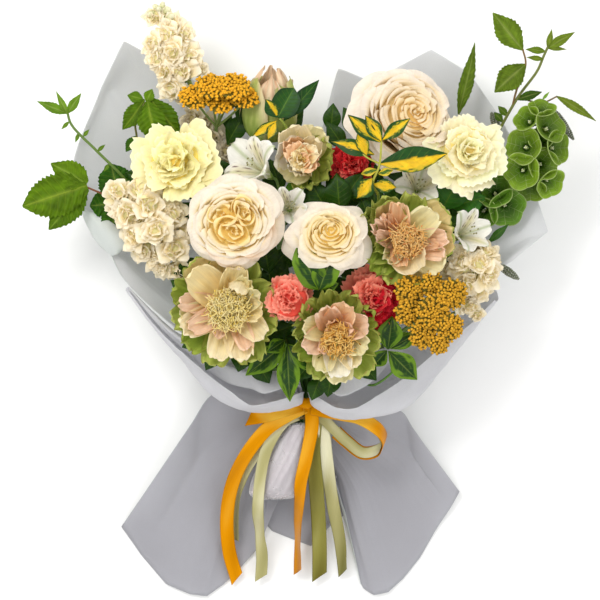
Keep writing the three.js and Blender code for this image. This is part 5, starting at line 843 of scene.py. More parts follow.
# ------------------------------------------------------------------ double tulips
TULIP = {
    "cream": ("#f8e4a4", "#f9ecc8", "#e8c66c", 0.02),
    "yellow": ("#f8dc94", "#f9e9b8", "#dcb45c", 0.03),
    "pink": ("#f9cfa4", "#f9dac0", "#ee9e78", 0.02),
    "peach": ("#fbc48c", "#fbd6ae", "#e69458", 0.02),
    "creamgreen": ("#eee29c", "#f5ecc0", "#b8b050", 0.12),
    "bowl": ("#f4d690", "#f4e0a4", "#94a840", 0.05),
    "green": ("#9cb23c", "#bcc668", "#8c6236", 0.50),
    "darkgreen": ("#7d9a30", "#a0b04c", "#7c4f2a", 0.65),
    "white": ("#f8f2dc", "#fdf9ec", "#e6d6a6", 0.03),
}


def tulip_colour(kind, seed):
    base, tip, rim, green = TULIP[kind]
    b, t, e, gr = lin(base), lin(tip), lin(rim), lin("#87a233")

    def colour(u, v):
        n = 0.5 + 0.5 * wob(u * 1.5, v * 0.8, seed, 6, 1.5, 5.0)
        c = mix(b, t, sstep(0.15, 0.85, v + 0.12 * (n - 0.5)))
        mid = np.exp(-((u / 0.28) ** 2)) * (0.10 + 0.90 * green) * sstep(1.05, 0.2, v)
        c = mix(c, gr, np.clip(green * 0.45 * n + mid * green * 1.1, 0, 0.85))
        if kind == "bowl":
            return mix(c, e, 0.95 * sstep(0.80, 0.93, np.maximum(np.abs(u), v) + 0.05 * (n - 0.5)))
        edge = sstep(0.90, 1.0, np.maximum(np.abs(u), v)) * (0.2 + 0.8 * n)
        return mix(c, e, edge * (0.65 if kind in ("green", "darkgreen") else 0.3))

    return colour


def tulip(name, H, d, r, h, seed, petals, stamens, spread, gold, pistil=True, leaves=(), heart="#f0dc98"):
    """petals: (tip x, tip y, tip height over the base, half width, kind, lean in)."""
    pc = Piece(name, name, slot="petal_green_peach")
    g = np.random.default_rng(seed)
    F = frame_of((0, 0, 1))
    base = at(H) - h * unit(np.array(d, float))
    O = base
    stem(pc, name, "#6d8a4a", "#4e7436")
    foliage(pc, name, leaves, seed)
    off = np.clip((at(stamens[:2] + (0,)) - O)[:2] * 0.8, -8, 8)
    core(pc, O, F, 0.30 * r, stamens[2] - O[2] - 5.0, heart, heart, M["soft"], base=5.0, dish=0.0, offset=off)
    lathe(pc, O, F, [(0.3, -1), (2.8, 0), (5.5, 3), (8, 8), (5, 11), (1, 12)], mix(lin("#7f9c4c"), lin("#a9b56a"), np.linspace(0, 1, 24)), M["bud"], 18)
    for j, row in enumerate(petals):
        x, y, z, wid, kind, inward = row[:6]
        opt = row[6] if len(row) > 6 else {}
        tipw = at([x, y, 0.0])
        dx, dy = tipw[0] - O[0], tipw[1] - O[1]
        phi, R = math.atan2(dy, dx), math.hypot(dx, dy)
        bulge = opt.get("bulge", 1.0)
        outer = kind in ("green", "darkgreen")
        if outer:
            R = R * 0.99
        elif inward == 2 and kind != "bowl":
            R, wid = R * 0.955, wid * 1.02
        if opt.get("high"):
            prof = [(0.6, z - 12), (0.40 * R, z - 8.5), (0.74 * R, z - 4.5), (0.98 * R, z - 1.0), (0.97 * R, z)]
        elif inward == 2 and not outer and kind != "bowl":
            prof = [(2.5, 6), (0.38 * R, 0.38 * z), (0.75 * R, 0.63 * z), (1.00 * R, 0.88 * z), (0.97 * R, z + 1.0)]
        elif inward == 2:
            prof = [(2.5, 6), (0.40 * R, 0.26 * z), (0.78 * R, 0.50 * z), (1.00 * R, 0.80 * z), (0.97 * R, z)]
        elif inward:
            prof = [(2.5, 5), (0.46 * R * bulge + 2, 0.28 * z), (0.90 * R * bulge + 3, 0.60 * z), (R + 2 * bulge, 0.88 * z), (R - 1.0, z)]
        else:
            prof = [(2.5, 5), (0.34 * R * bulge, 0.30 * z), (0.68 * R * bulge, 0.56 * z), (0.92 * R, 0.82 * z), (R, z)]
        petal(pc, M["tulip"], O, F, phi, prof, wid, opt.get("shape", [0.30, 0.70, 1.0, 1.0, 0.78]), tulip_colour(kind, seed * 31 + j), nu=27, nv=26,
              Rc=opt.get("Rc", wid * (1.9 if kind == "bowl" else 1.05)), tip=opt.get("tip", 0.26), point=opt.get("point", 0.03), ruffle=opt.get("ruffle", 2.4 if outer else 1.5), rf=2.2, crinkle=opt.get("crinkle", 1.9 if outer else 1.15), cf=(3.2, 2.6), power=2.1,
              teeth=0.03, tf=5.0, lean=opt.get("lean", 0.0), roll=opt.get("roll", 0.0), skew=opt.get("skew", 0.0), seed=seed * 100 + j)
    if stamens:
        cx, cy, cz, n = stamens
        C = at([cx, cy, cz])
        for k in range(n):
            a, q = g.uniform(0, 6.283), math.sqrt(g.uniform(0, 1))
            end = C + np.array([math.cos(a) * q * spread, math.sin(a) * q * spread, (1 - q * q) * 5 + g.uniform(-2, 2)])
            side = np.array([-math.sin(a), math.cos(a), 0]) * g.normal(0, 3.5)
            start = O + np.array([off[0] + math.cos(a) * 5 * q, off[1] + math.sin(a) * 5 * q, 0.45 * (C[2] - O[2])])
            mid = (start * 0.45 + end * 0.55) + side + np.array([0, 0, -1.0])
            over = end + np.array([g.normal(0, 3.6), g.normal(0, 3.6), g.uniform(-2.5, 0.5)])
            c = mix(lin(gold[0]), lin(gold[1]), g.uniform(0, 1))
            pc.tube(ccr([start, mid, end, over], 11), np.interp(np.linspace(0, 1, 12), [0, 0.6, 1], [0.42, 0.50, 0.36]), c, M["thread"], 4, rnd=k)
            if k % 4 == 0:
                pc.tube(np.array([over, over + unit(over - end) * 2.2]), [0.7, 0.5], lin(gold[2]), M["dust"], 5)
        if pistil:
            for k in range(3):
                a = k * 2.094
                p = C + np.array([math.cos(a), math.sin(a), 0]) * 1.8 + np.array([0, 0, 1.0])
                pc.tube(np.array([O + [0, 0, 11], p, p + [math.cos(a) * 2, math.sin(a) * 2, 1.2]]), [1.2, 1.0, 1.3], lin("#dcd070"), M["dust"], 7)
    return pc.build()


def tulip_closed(name, H, d, r, h, seed, leaves=()):
    pc = Piece(name, name, slot="petal_green_peach")
    g = np.random.default_rng(seed)
    F = frame_of(d)
    O = at(H) - h * F[:, 2]
    stem(pc, name, "#6d8a4a", "#4e7436")
    foliage(pc, name, leaves, seed)

    def colour(k, outer):
        def f(u, v):
            n = 0.5 + 0.5 * wob(u * 2, v, seed * 7 + k, 6, 1.5, 5.0)
            if outer:
                c = mix(lin("#7c9a3a"), lin("#b4c068"), sstep(0.1, 0.7, v + 0.2 * (n - 0.5)))
                c = mix(c, lin("#dfd2a4"), sstep(0.55, 0.95, np.abs(u) * 0.6 + v * 0.5))
            else:
                c = mix(lin("#c8c88a"), lin("#ecd6b4"), sstep(0.1, 0.6, v + 0.2 * (n - 0.5)))
                c = mix(c, lin("#e4bd9a"), sstep(0.55, 1.0, v) * n)
            return mix(c, lin("#9a7048"), 0.4 * sstep(0.9, 1.0, np.maximum(np.abs(u), v)) * n)
        return f

    for k in range(10):
        outer = k < 5
        rr = r * (1.0 if outer else 0.86 - 0.07 * (k - 5))
        z = h * (g.uniform(0.80, 0.90) if outer else g.uniform(0.93, 1.0))
        close = 0.62 if outer else 0.34
        prof = [(2.5, 1), (0.72 * rr, 0.07 * h), (rr, 0.28 * h), (0.98 * rr, 0.52 * z), (0.84 * rr, 0.80 * z), (close * rr, z)]
        wrapped(pc, M["tulip"], O, F, k * 2.39996 + 0.5, prof, [0.5, 0.85, 0.95, 0.95, 0.85, 0.55], colour(k, outer), nu=31, nv=30, tip=0.10, point=0.05, skew=1.4, ruffle=1.2, rf=1.6, crinkle=0.6, seed=seed * 100 + k)
    return pc.build()


# ------------------------------------------------------------------ alstroemeria
def alstroemeria(name, H, d, r, h, seed, spin=0.3, wide=1.0):
    pc = Piece(name, name, slot="petal_white")
    g = np.random.default_rng(seed)
    F = frame_of(d)
    O = at(H) - h * F[:, 2]
    stem(pc, name, "#7fa35a", "#547e3a")
    lathe(pc, O, F, [(0.3, -0.5), (1.8, 0), (3.4, 4), (3.8, 8), (1, 9.5)], mix(lin("#6f9a3c"), lin("#9cb660"), np.linspace(0, 1, 24)), M["bud"], 14)
    for k in range(6):
        inner = k % 2
        phi = spin + k * 1.0472 + g.normal(0, 0.06)
        R = r * (1.04 if not inner else 0.96) * (1 + g.normal(0, 0.04))
        prof = [(1.8, 6), (3.2, 15), (0.48 * r, h - 13), (0.84 * R, h - 3.5), (R, h - (5 if not inner else 3))]
        streak = inner and k != 5
        hue = seed * 13 + k

        def colour(u, v, streak=streak, hue=hue, inner=inner):
            c = mix(lin("#dfe3b4"), lin("#f6f4ec"), sstep(0.15, 0.5, v))
            if inner:
                c = mix(c, lin("#f3e3a0"), 0.55 * sstep(0.25, 0.45, v) * sstep(0.85, 0.55, v) * np.exp(-((u / 0.55) ** 2)))
            c = mix(c, lin("#8fa64a"), np.exp(-((u / 0.13) ** 2)) * (0.30 if inner else 0.55) * sstep(0.1, 0.5, v))
            c = mix(c, lin("#7f9a3a"), 0.6 * sstep(0.88, 1.0, v) * np.exp(-((u / 0.35) ** 2)))
            if streak:
                a = np.sin(u * 15 + hue) * 0.5 + 0.5
                dash = sstep(0.78, 0.95, a) * sstep(0.32, 0.42, v) * sstep(0.84, 0.70, v) * sstep(-0.2, 0.4, np.sin(v * 34 + u * 9 + hue))
                c = mix(c, lin("#5a1f2a"), 0.85 * dash)
            return c

        petal(pc, M["petal"], O, F, phi, prof, r * (0.50 if not inner else 0.34) * wide, [0.22, 0.35, 0.8, 1.0, 0.55 if not inner else 0.4], colour, nu=31, nv=24,
              Rc=r * 0.9, tip=0.22, point=0.10, ruffle=0.9, rf=1.8, crinkle=0.3, roll=0.8, seed=seed * 100 + k)
    for k in range(6):
        a = k * 1.0472 + 0.2
        e = np.array([math.cos(a) * 4 + 2, math.sin(a) * 4, h - 4.0 - k % 2 * 2])
        p = ccr(np.array([[0, 0, 10], [math.cos(a) * 1.5, math.sin(a) * 1.5, h - 18], e]), 8)
        pc.tube(O + p @ F.T, 0.42, lin("#e8e6c8"), M["thread"], 5)
        q = O + np.array([e, e + [1.2, 0.3, 1.0]]) @ F.T
        pc.tube(q, [0.95, 0.7], lin("#8c8a5c"), M["dust"], 6)
    return pc


# ------------------------------------------------------------------ small parts
def ball(pc, c, r, col, mat, d=(0, 0, 1), stretch=1.0, n=9, m=7, tipcol=None):
    F = frame_of(d)
    a = np.linspace(0, 2 * math.pi, n, endpoint=False)
    b = np.linspace(-math.pi / 2 * 0.98, math.pi / 2 * 0.98, m)
    L = np.stack([np.cos(b)[:, None] * np.cos(a), np.cos(b)[:, None] * np.sin(a), np.broadcast_to(np.sin(b)[:, None] * stretch, (m, n))], -1) * r
    cc = np.broadcast_to(np.asarray(col, float), (m, n, 3)).copy()
    if tipcol is not None:
        cc = mix(cc, np.asarray(tipcol), np.broadcast_to(np.linspace(0, 1, m)[:, None], (m, n)))
    pc.grid(np.asarray(c) + L @ F.T, cc, np.zeros((m, n, 3)), mat, closed=True, cap=True)


LEAF = [0.06, 0.62, 1.0, 0.93, 0.52, 0.03]
LANCE = [0.08, 0.7, 1.0, 0.85, 0.45, 0.04]
ROUND = [0.12, 0.85, 1.0, 0.96, 0.75, 0.06]


def blade(pc, mat, a, b, width, col, outline=LEAF, up=(0, 0, 1), arch=0.08, fold=0.15, nu=17, nv=33, serr=0.0, nt=11,
          pleat=0.0, np_=8, slope=1.0, curl=0.0, twist=0.0, wave=0.0, bend=0.0, seed=0, layout=True, lobes=None):
    """A leaf from a to b. Outline is its half width from base to tip; teeth, pleats along the
    side veins, a curl of its rim, a sideways bend and a twist make it natural."""
    A = at(a) if layout else np.asarray(a, float)
    B = at(b) if layout else np.asarray(b, float)
    g = np.random.default_rng(seed)
    ph = g.uniform(0, 6.283, 5)
    X = B - A
    L = np.linalg.norm(X)
    X = X / L
    Y = unit(np.cross(np.asarray(up, float), X))
    Z = np.cross(X, Y)
    u = np.linspace(-1, 1, nu)[None, :]
    v = np.linspace(0, 1, nv)[:, None]
    half = np.maximum(crom(np.array(outline, float)[:, None], v)[..., 0], 0.015) * width / 2
    edge = np.ones_like(v)
    if serr:
        saw = (v * nt) % 1.0
        edge = 1 - serr * (1 - saw) * sstep(0.0, 0.08, v) * sstep(1.0, 0.9, v)
    w = half * (1 + (edge - 1) * np.abs(u) ** 2)
    y = u * w
    au = np.abs(u)
    z = arch * L * 4 * v * (1 - v) + fold * np.abs(y)
    if pleat:
        z = z + pleat * np.cos(2 * 3.1416 * (v * np_ - slope * au)) * au ** 0.7 * sstep(0, 0.12, v) * sstep(1.0, 0.85, v)
    if wave:
        z = z + wave * au * np.sin(2 * 3.1416 * (v * 1.7) + ph[0] + np.where(u > 0, 1.7, 0))
    if curl:
        z = z - curl * width * 0.5 * au ** 3
    z = z + 0.012 * L * np.sin(5 * v + ph[1])
    ang = twist * (v - 0.3)
    y2 = y * np.cos(ang) - 0
    z2 = z + y * np.sin(ang)
    y2 = y2 + bend * L * (v**2 - v) * -1
    x = L * v - (serr * 0.25 * half * au**2 if serr else 0) + 0.10 * np.abs(y) * sstep(0.0, 0.5, v)
    Pw = A + x[..., None] * X + y2[..., None] * Y + z2[..., None] * Z
    U = np.stack(np.broadcast_arrays(u, v, np.full((nv, nu), g.uniform(0, 1))), -1)
    uu, vv = np.broadcast_arrays(u, v)
    pc.grid(Pw, np.clip(col(uu, vv), 0, 1), U, mat)


def twig(pc, pts, r, col="#5c8436", layout=True, steps=None):
    p = at(pts) if layout else np.asarray(pts, float)
    c = ccr(p, steps or 7 * (len(p) - 1))
    pc.tube(c, np.linspace(r, r * 0.85, len(c)), lin(col), M["stem"], 8)


def green(base, rib="#a8c468", edge=None, tip=None, amount=0.35, seed=0):
    b, rc = lin(base) * np.array([1.0, 1.0, 0.5]), lin(rib)

    def f(u, v):
        n = 0.5 + 0.5 * wob(u * 1.2, v * 1.4, seed, 6, 1, 4)
        c = b * (0.86 + 0.26 * n)[..., None]
        c = mix(c, rc, amount * np.exp(-((u / 0.09) ** 2)))
        if edge:
            c = mix(c, lin(edge), sstep(0.62, 0.92, np.abs(u) + 0.12 * (n - 0.5)))
        if tip:
            c = mix(c, lin(tip), sstep(0.6, 1.0, v))
        return c

    return f


def two_tone(dark="#2f6420", light="#a6bf4a", cut=0.62, seed=0, rib="#9db45a"):
    """Leaf with a dark middle and a lime edge."""
    def f(u, v):
        n = wob(u * 1.5, v * 1.8, seed, 6, 1, 4)
        m = sstep(cut - 0.16, cut + 0.16, np.abs(u) + 0.18 * n + 0.35 * sstep(0.65, 1.0, v))
        c = mix(lin(dark), lin(light), m)
        return mix(c, lin(rib), 0.28 * np.exp(-((u / 0.05) ** 2)))
    return f


def variegated(seed=0, cut=0.52, gold="#efc01c", dark="#1c4814", flip=0.0):
    """Leaf with a gold middle and a ragged dark-green margin; flip turns one half green."""
    def f(u, v):
        n = wob(u * 2.0, v * 2.4, seed, 7, 1.5, 6)
        m = sstep(cut - 0.06, cut + 0.10, np.abs(u) + 0.16 * n + 0.35 * sstep(0.80, 1.0, v) + flip * sstep(-0.1, 0.2, u))
        c = mix(lin(gold) * (1 + 0.08 * n)[..., None], lin("#7ba52c"), sstep(cut - 0.28, cut, np.abs(u) + 0.2 * n) * 0.55)
        return mix(c, lin(dark) * (1 + 0.15 * n)[..., None], m)
    return f


def floret(pc, c, d, r, seed, n=14, tone=("#f7f2e4", "#f0e6c6", "#cfd07c"), mat="soft", depth=0.75, frill=1.0, heart=None):
    """A double floret: rings of soft ruffled petals round a yellow-green middle."""
    g = np.random.default_rng(seed)
    F = frame_of(unit(np.array(d, float)), spin=g.uniform(0, 6))
    hh = r * depth
    O = np.asarray(c) - F[:, 2] * hh * 0.7
    if heart:
        ball(pc, np.asarray(c) - F[:, 2] * 0.44 * r, r * 0.56, lin(heart), M["soft"], F[:, 2], 0.8, 16, 12)
    for i in range(n):
        f = i / (n - 1)
        phi = i * 2.39996 + g.normal(0, 0.35)
        R = r * (1.08 - 0.94 * f**0.8) * (1 + g.normal(0, 0.13))
        z = hh * (0.62 + 0.50 * f) + g.normal(0, 0.07) * r
        prof = [(0.06 * r, 0.0), (0.35 * R, 0.35 * z), (0.75 * R, 0.82 * z), (R, z - 0.12 * r * (1 - f))]
        lift = g.uniform(-0.04, 0.05)

        def colour(u, v, f=f, lift=lift):
            c0 = mix(lin(tone[2]), lin(tone[1]), sstep(0.15, 0.55 - 0.2 * (1 - f), v))
            return mix(c0, lin(tone[0]), sstep(0.45, 0.85, v)) * (1 + lift)

        petal(pc, M[mat], O, F, phi, prof, r * (0.58 - 0.18 * f), [0.3, 0.72, 1.0, 0.95], colour, nu=17, nv=10, Rc=r * (1.1 if g.uniform() < 0.7 else -1.6), tip=0.20, point=-0.05, ruffle=0.15 * r * frill, rf=g.uniform(1.0, 1.7), skew=g.normal(0, 1.2), crinkle=0.30, cf=(2.5, 2.0), seed=seed * 50 + i)


def nearest(axis, p):
    a = np.asarray(axis, float)
    best = None
    for q0, q1 in zip(a[:-1], a[1:]):
        t = np.clip(((p - q0) @ (q1 - q0)) / max((q1 - q0) @ (q1 - q0), 1e-9), 0, 1)
        q = q0 + t * (q1 - q0)
        if best is None or np.linalg.norm(p - q) < np.linalg.norm(p - best):
            best = q
    return best


# ------------------------------------------------------------------ plants: roses
def blush_right(phi, f):
    a = math.cos(phi - math.radians(-50))
    return (lin("#f6cfa4"), 0.85 * max(0.0, a) if f > 0.88 else 0.0)


rose("rose_left", [234, 223, 188], [-0.1, 0, 1], 46, 54, 11, blush=blush_right, spin=0.7, drift=(0, -6), oval=(1.03, 0.3),
     rings=ROSE_FULL[:7], whorls=[(-11, 8, 15.5, 56.0, 3, 0.3), (11, 9, 14.0, 57.0, 4, 2.0), (1, -10, 17.0, 57.5, 4, 2.6)],
     leaves=[(188, 214, 106, 140, 34, 24), (284, 214, 112, 60, 34, 22), (276, 176, 116, 110, 34, 22), (266, 254, 128, 100, 40, 24), (276, 264, 120, 50, 34, 20), (222, 174, 126, 125, 38, 24), (240, 178, 120, 60, 36, 22), (202, 184, 118, 160, 32, 20), (190, 268, 112, 200, 34, 20)])
rose("rose_centre", [328, 240, 184], [0.02, 0.05, 1], 42, 52, 12, rings=ROSE_OPEN, spin=2.1, drift=(3, 11), oval=(1.06, 0.1), points=0.03,
     leaves=[(350, 266, 128, 15, 38, 24), (338, 194, 128, 95, 40, 26), (352, 188, 122, 55, 36, 22), (318, 196, 122, 120, 36, 22), (286, 258, 118, 170, 34, 20), (330, 286, 116, 200, 36, 20)])
rose("rose_right", [406, 118, 145], [0.3, 0.25, 0.92], 54.5, 56, 13, spin=0.2, drift=(13, 6), tone=("#f5eadb", "#f6e4c2", "#f8dd9c", "#f6ca78"), wild=1.5, points=0.04,
     leaves=[(386, 162, 112, 25, 42, 24), (368, 170, 108, 150, 36, 22), (404, 172, 108, 0, 42, 24), (424, 160, 104, 25, 38, 22), (352, 122, 96, 120, 34, 20), (396, 196, 106, 60, 34, 24), (412, 206, 104, 100, 30, 20)])

# ------------------------------------------------------------------ carnations
def painted_lit_side(phi, f, tip):
    """Painted light and shade: salmon on the side towards the upper left, where the key light falls, deep red on the
    shaded right.
    """
    a = 0.5 + 0.5 * math.cos(phi - math.radians(140))
    return mix(lin("#cc1e2e"), lin("#ff9880"), float(sstep(0.30, 0.72, a)))


def lobe_side(phi, f, tip):
    a = 0.5 + 0.5 * math.cos(phi - math.radians(-95))
    return mix(lin("#e2343a"), lin("#f9776a"), float(sstep(0.5, 1.0, a)))


carnation("carnation_coral_centre", [289, 298, 179], [0, 0.05, 1], 30, 55, 21, lin("#ff9e88"), "#ff7e6a", "#ff5e4e", "petal_coral", N=27, amp=0.85, heart="#ff7464", folds=0.6, press=[(-46, 38, 0.28), (-24, 34, 0.50), (190, 36, 0.12), (150, 26, 0.16)], leaves=[(270, 278, 120, 100, 30, 20), (280, 276, 120, 60, 30, 20), (286, 341, 112, 280, 30, 20), (312, 270, 126, 60, 34, 22), (268, 338, 120, 250, 34, 20), (320, 300, 120, 0, 30, 20), (306, 332, 118, 290, 34, 20)])
# painted light and shade: its petals are painted salmon on the lit upper-left side and deep red on the shaded right
carnation("carnation_coral_right", [374, 298, 162], [0.1, 0, 1], 34, 55, 22, lin("#ea4a50"), "#ee4048", "#d02430", "petal_coral", side=painted_lit_side, N=38, heart="#d42c38", folds=1.1, press=[(220, 44, 0.42), (62, 34, 0.28), (-10, 30, 0.12)], leaves=[(346, 292, 126, 115, 32, 22), (380, 264, 118, 80, 30, 18), (384, 334, 112, 300, 32, 20), (352, 322, 116, 240, 28, 18)])
carnation("carnation_coral_rear", [352, 161, 128], [0, 0.2, 0.97], 26, 50, 23, lin("#e03c40"), "#e63a42", "#c01c28", "petal_coral", side=lobe_side, N=32, heart="#c42430", leaves=[(336, 136, 104, 125, 34, 18), (336, 178, 104, 235, 34, 20), (368, 186, 100, 300, 32, 20), (350, 198, 98, 260, 32, 20)])
carnation("carnation_yellow_left", [174, 161, 150], [-0.2, 0.2, 0.95], 42, 58, 24, lin("#fff6c0"), "#fff0a4", "#ffe678", "petal_yellow", N=28, heart="#ffe070", folds=0.42, sag=[(20, 1.05, -14, 1.25), (-20, 0.95, -16, 1.1), (188, 1.04, -15, 1.2), (150, 1.0, -14, 1.1)], leaves=[(214, 178, 108, 40, 30, 18), (224, 128, 74, 60, 30, 16), (140, 176, 104, 170, 30, 18), (198, 190, 110, 20, 34, 20)])
carnation("carnation_yellow_right", [469, 151, 150], [0.2, 0.15, 0.97], 40, 58, 25, lin("#fff6d0"), "#fff2b8", "#ffec98", "petal_yellow", N=26, amp=0.9, heart="#ffe690", folds=0.45, sag=[(195, 1.1, -12, 1.25), (235, 1.08, -14, 1.3), (280, 1.0, -16, 1.1)], leaves=[(450, 194, 118, 62, 38, 32, "#2c6424"), (436, 182, 112, 115, 36, 24, "#2c6424"), (468, 202, 108, 15, 36, 28, "#37742a"), (430, 196, 106, 180, 34, 20), (470, 196, 104, 330, 36, 22), (460, 216, 102, 20, 34, 26), (497, 234, 124, 42, 28, 8, "#2f5a20")])

# ------------------------------------------------------------------ tulips
tulip("tulip_left", [225, 311, 178], [-0.12, -0.1, 0.98], 51, 54, 31, [
    (175, 290, 44, 20, "darkgreen", 2), (174, 318, 42, 20, "green", 2), (188, 347, 40, 19, "darkgreen", 2), (214, 365, 38, 18, "green", 2), (256, 361, 41, 20, "green", 2),
    (275, 330, 50, 20, "green", 2), (273, 290, 52, 20, "green", 2), (252, 260, 50, 20, "green", 2), (222, 257, 47, 17, "bowl", 2), (193, 263, 45, 20, "bowl", 2),
    (192, 270, 48, 23, "yellow", 2, {"Rc": 20, "ruffle": 1.2}), (239, 266, 51, 19, "yellow", 2, {"Rc": 16, "crinkle": 1.8}), (250, 278, 50, 13, "creamgreen", 2, {"Rc": 11}),
    (179, 302, 46, 12, "pink", 2, {"tip": 0.3, "Rc": 14}), (180, 316, 42, 12, "creamgreen", 2, {"Rc": 14}),
    (183, 333, 46, 16, "cream", 2, {"Rc": 16, "lean": -0.2}), (190, 330, 45, 13, "pink", 2, {"Rc": 13}), (217, 361, 45, 15, "cream", 2, {"Rc": 15}), (245, 361, 46, 18, "cream", 2, {"Rc": 15, "crinkle": 1.7}),
    (250, 350, 46, 12, "pink", 2, {"Rc": 12}), (266, 338, 50, 17, "cream", 2, {"Rc": 15}), (264, 312, 52, 16, "yellow", 2, {"Rc": 14}), (262, 296, 54, 15, "creamgreen", 2, {"Rc": 13}),
    (218, 338, 44, 8, "pink", 0, {"Rc": 9}), (238, 292, 56, 14, "cream", 1, {"bulge": 1.8, "Rc": 12})],
    (229, 310, 166, 400), 21, ("#f8e48c", "#fff2bc", "#f2d468"), heart="#f6e29a",
    leaves=[(198, 340, 116, 205, 34, 22), (214, 356, 112, 240, 32, 20), (264, 356, 120, 320, 36, 22), (184, 288, 112, 150, 30, 18), (248, 262, 116, 80, 34, 20), (280, 330, 112, 20, 30, 18), (242, 358, 116, 255, 28, 22), (262, 370, 112, 300, 30, 22)])
tulip("tulip_centre", [334, 338, 184], [0.02, -0.2, 0.98], 44, 52, 32, [
    (293, 330, 46, 16, "green", 2), (298, 355, 44, 16, "darkgreen", 2), (316, 377, 38, 16, "green", 2), (341, 384, 37, 17, "creamgreen", 2),
    (368, 372, 40, 17, "green", 2), (378, 346, 42, 17, "green", 2), (374, 316, 44, 16, "darkgreen", 2), (354, 295, 47, 17, "green", 2), (328, 291, 50, 16, "green", 2), (304, 304, 50, 16, "green", 2),
    (322, 307, 53, 17, "pink", 2, {"Rc": 14}), (348, 304, 55, 19, "peach", 2, {"Rc": 15}), (369, 324, 53, 17, "pink", 2, {"Rc": 14}), (304, 350, 49, 16, "pink", 2, {"Rc": 14}), (302, 328, 50, 15, "creamgreen", 2),
    (340, 378, 46, 18, "white", 2, {"Rc": 15}), (320, 372, 45, 15, "creamgreen", 2, {"Rc": 13}), (366, 350, 50, 17, "creamgreen", 2, {"Rc": 14}), (356, 367, 47, 15, "cream", 2, {"Rc": 13}),
    (328, 322, 50, 11, "peach", 0, {"Rc": 9}), (352, 330, 49, 11, "pink", 0, {"Rc": 9}), (350, 354, 46, 11, "cream", 0, {"Rc": 9}), (322, 352, 45, 10, "pink", 0, {"Rc": 9})],
    (337, 341, 172, 170), 17, ("#f4c05a", "#fce090", "#dc9c38"), heart="#eec678",
    leaves=[(306, 368, 110, 230, 32, 20), (366, 368, 110, 310, 32, 20), (330, 382, 110, 260, 30, 22), (316, 388, 108, 250, 26, 18), (296, 312, 116, 120, 32, 20)])
tulip("tulip_right", [404, 241, 180], [0.1, 0.05, 0.99], 46, 52, 33, [
    (358, 232, 43, 18, "green", 2), (360, 254, 40, 18, "green", 0), (372, 274, 39, 16, "darkgreen", 0), (390, 286, 38, 17, "green", 0), (418, 284, 39, 18, "bowl", 2),
    (443, 268, 42, 18, "creamgreen", 2), (452, 240, 45, 19, "bowl", 2), (443, 210, 47, 20, "bowl", 2), (414, 196, 46, 18, "green", 2), (380, 200, 48, 22, "green", 2, {"Rc": 20}), (362, 214, 46, 16, "green", 2),
    (383, 205, 50, 21, "bowl", 2, {"Rc": 17}), (396, 203, 51, 14, "peach", 2, {"Rc": 12, "crinkle": 1.8}), (434, 212, 50, 20, "creamgreen", 2, {"Rc": 16, "crinkle": 1.6}),
    (371, 222, 49, 14, "pink", 2, {"Rc": 10, "crinkle": 2.0}), (384, 214, 48, 10, "peach", 0, {"Rc": 7, "crinkle": 1.8}), (374, 236, 46, 11, "pink", 2, {"Rc": 9, "crinkle": 1.6}),
    (446, 238, 48, 15, "pink", 2, {"Rc": 11, "crinkle": 1.8}), (437, 246, 45, 10, "peach", 0, {"Rc": 7, "crinkle": 1.8}), (444, 254, 46, 13, "pink", 2, {"Rc": 11}),
    (414, 274, 48, 25, "cream", 2, {"Rc": 19, "crinkle": 0.9}), (386, 264, 44, 13, "creamgreen", 2, {"Rc": 11}), (372, 250, 44, 9, "green", 0, {"Rc": 7, "crinkle": 1.6}), (398, 268, 45, 12, "peach", 2, {"Rc": 10})],
    (406, 241, 168, 300), 17, ("#f2bc64", "#fbdc9a", "#ea9c58"), heart="#eebe74",
    leaves=[(366, 212, 112, 110, 32, 20), (446, 260, 108, 340, 32, 20), (450, 226, 108, 25, 32, 20), (396, 282, 108, 250, 32, 18), (374, 198, 104, 90, 32, 20)])
tulip("tulip_rear", [302, 157, 150], [0, 0.1, 0.99], 31, 50, 34, [
    (277, 150, 45, 24, "white", 2, {"crinkle": 0.6}), (284, 181, 42, 20, "creamgreen", 2), (305, 190, 41, 18, "green", 2), (327, 178, 43, 19, "green", 2),
    (331, 150, 46, 21, "green", 2), (318, 127, 46, 19, "creamgreen", 2), (290, 127, 47, 20, "cream", 2),
    (288, 140, 50, 17, "peach", 2, {"Rc": 12, "crinkle": 1.6}), (317, 140, 51, 18, "cream", 2, {"Rc": 12, "crinkle": 1.6}), (320, 163, 48, 15, "peach", 2, {"Rc": 11, "crinkle": 1.6}), (306, 178, 46, 17, "cream", 2, {"Rc": 12, "crinkle": 1.6}), (286, 165, 46, 15, "white", 2, {"Rc": 12}),
    (290, 146, 50, 15, "peach", 2, {"high": 1, "Rc": 12, "crinkle": 1.8}), (314, 147, 51, 15, "cream", 2, {"high": 1, "Rc": 11, "crinkle": 1.8}), (318, 165, 49, 14, "peach", 2, {"high": 1, "Rc": 12, "crinkle": 1.6}), (303, 174, 48, 15, "cream", 2, {"high": 1, "Rc": 12, "crinkle": 1.8}),
     (289, 163, 49, 13, "cream", 2, {"high": 1, "Rc": 11, "crinkle": 1.6}), (299, 151, 52, 11, "yellow", 2, {"high": 1, "Rc": 8, "crinkle": 1.8}), (309, 158, 51, 10, "peach", 2, {"high": 1, "Rc": 8, "crinkle": 1.8}), (300, 166, 50, 9, "cream", 2, {"high": 1, "Rc": 7, "crinkle": 1.8})],
    (302, 157, 142, 40), 5, ("#eecb70", "#f8e4a0", "#d8a040"), heart="#f8dfae",
    leaves=[(292, 190, 108, 75, 30, 13, "#5f9a2c"), (312, 192, 104, 55, 34, 15), (272, 188, 106, 130, 30, 18), (332, 118, 98, 85, 30, 18), (262, 130, 96, 115, 34, 18), (258, 142, 92, 70, 32, 18), (324, 196, 104, 30, 32, 18)])
tulip_closed("tulip_bud", [273, 67, 118], [0.08, 0.90, 0.42], 27, 80, 35, leaves=[(246, 112, 92, 120, 40, 22), (236, 128, 90, 60, 36, 20), (292, 122, 92, 50, 36, 20)])

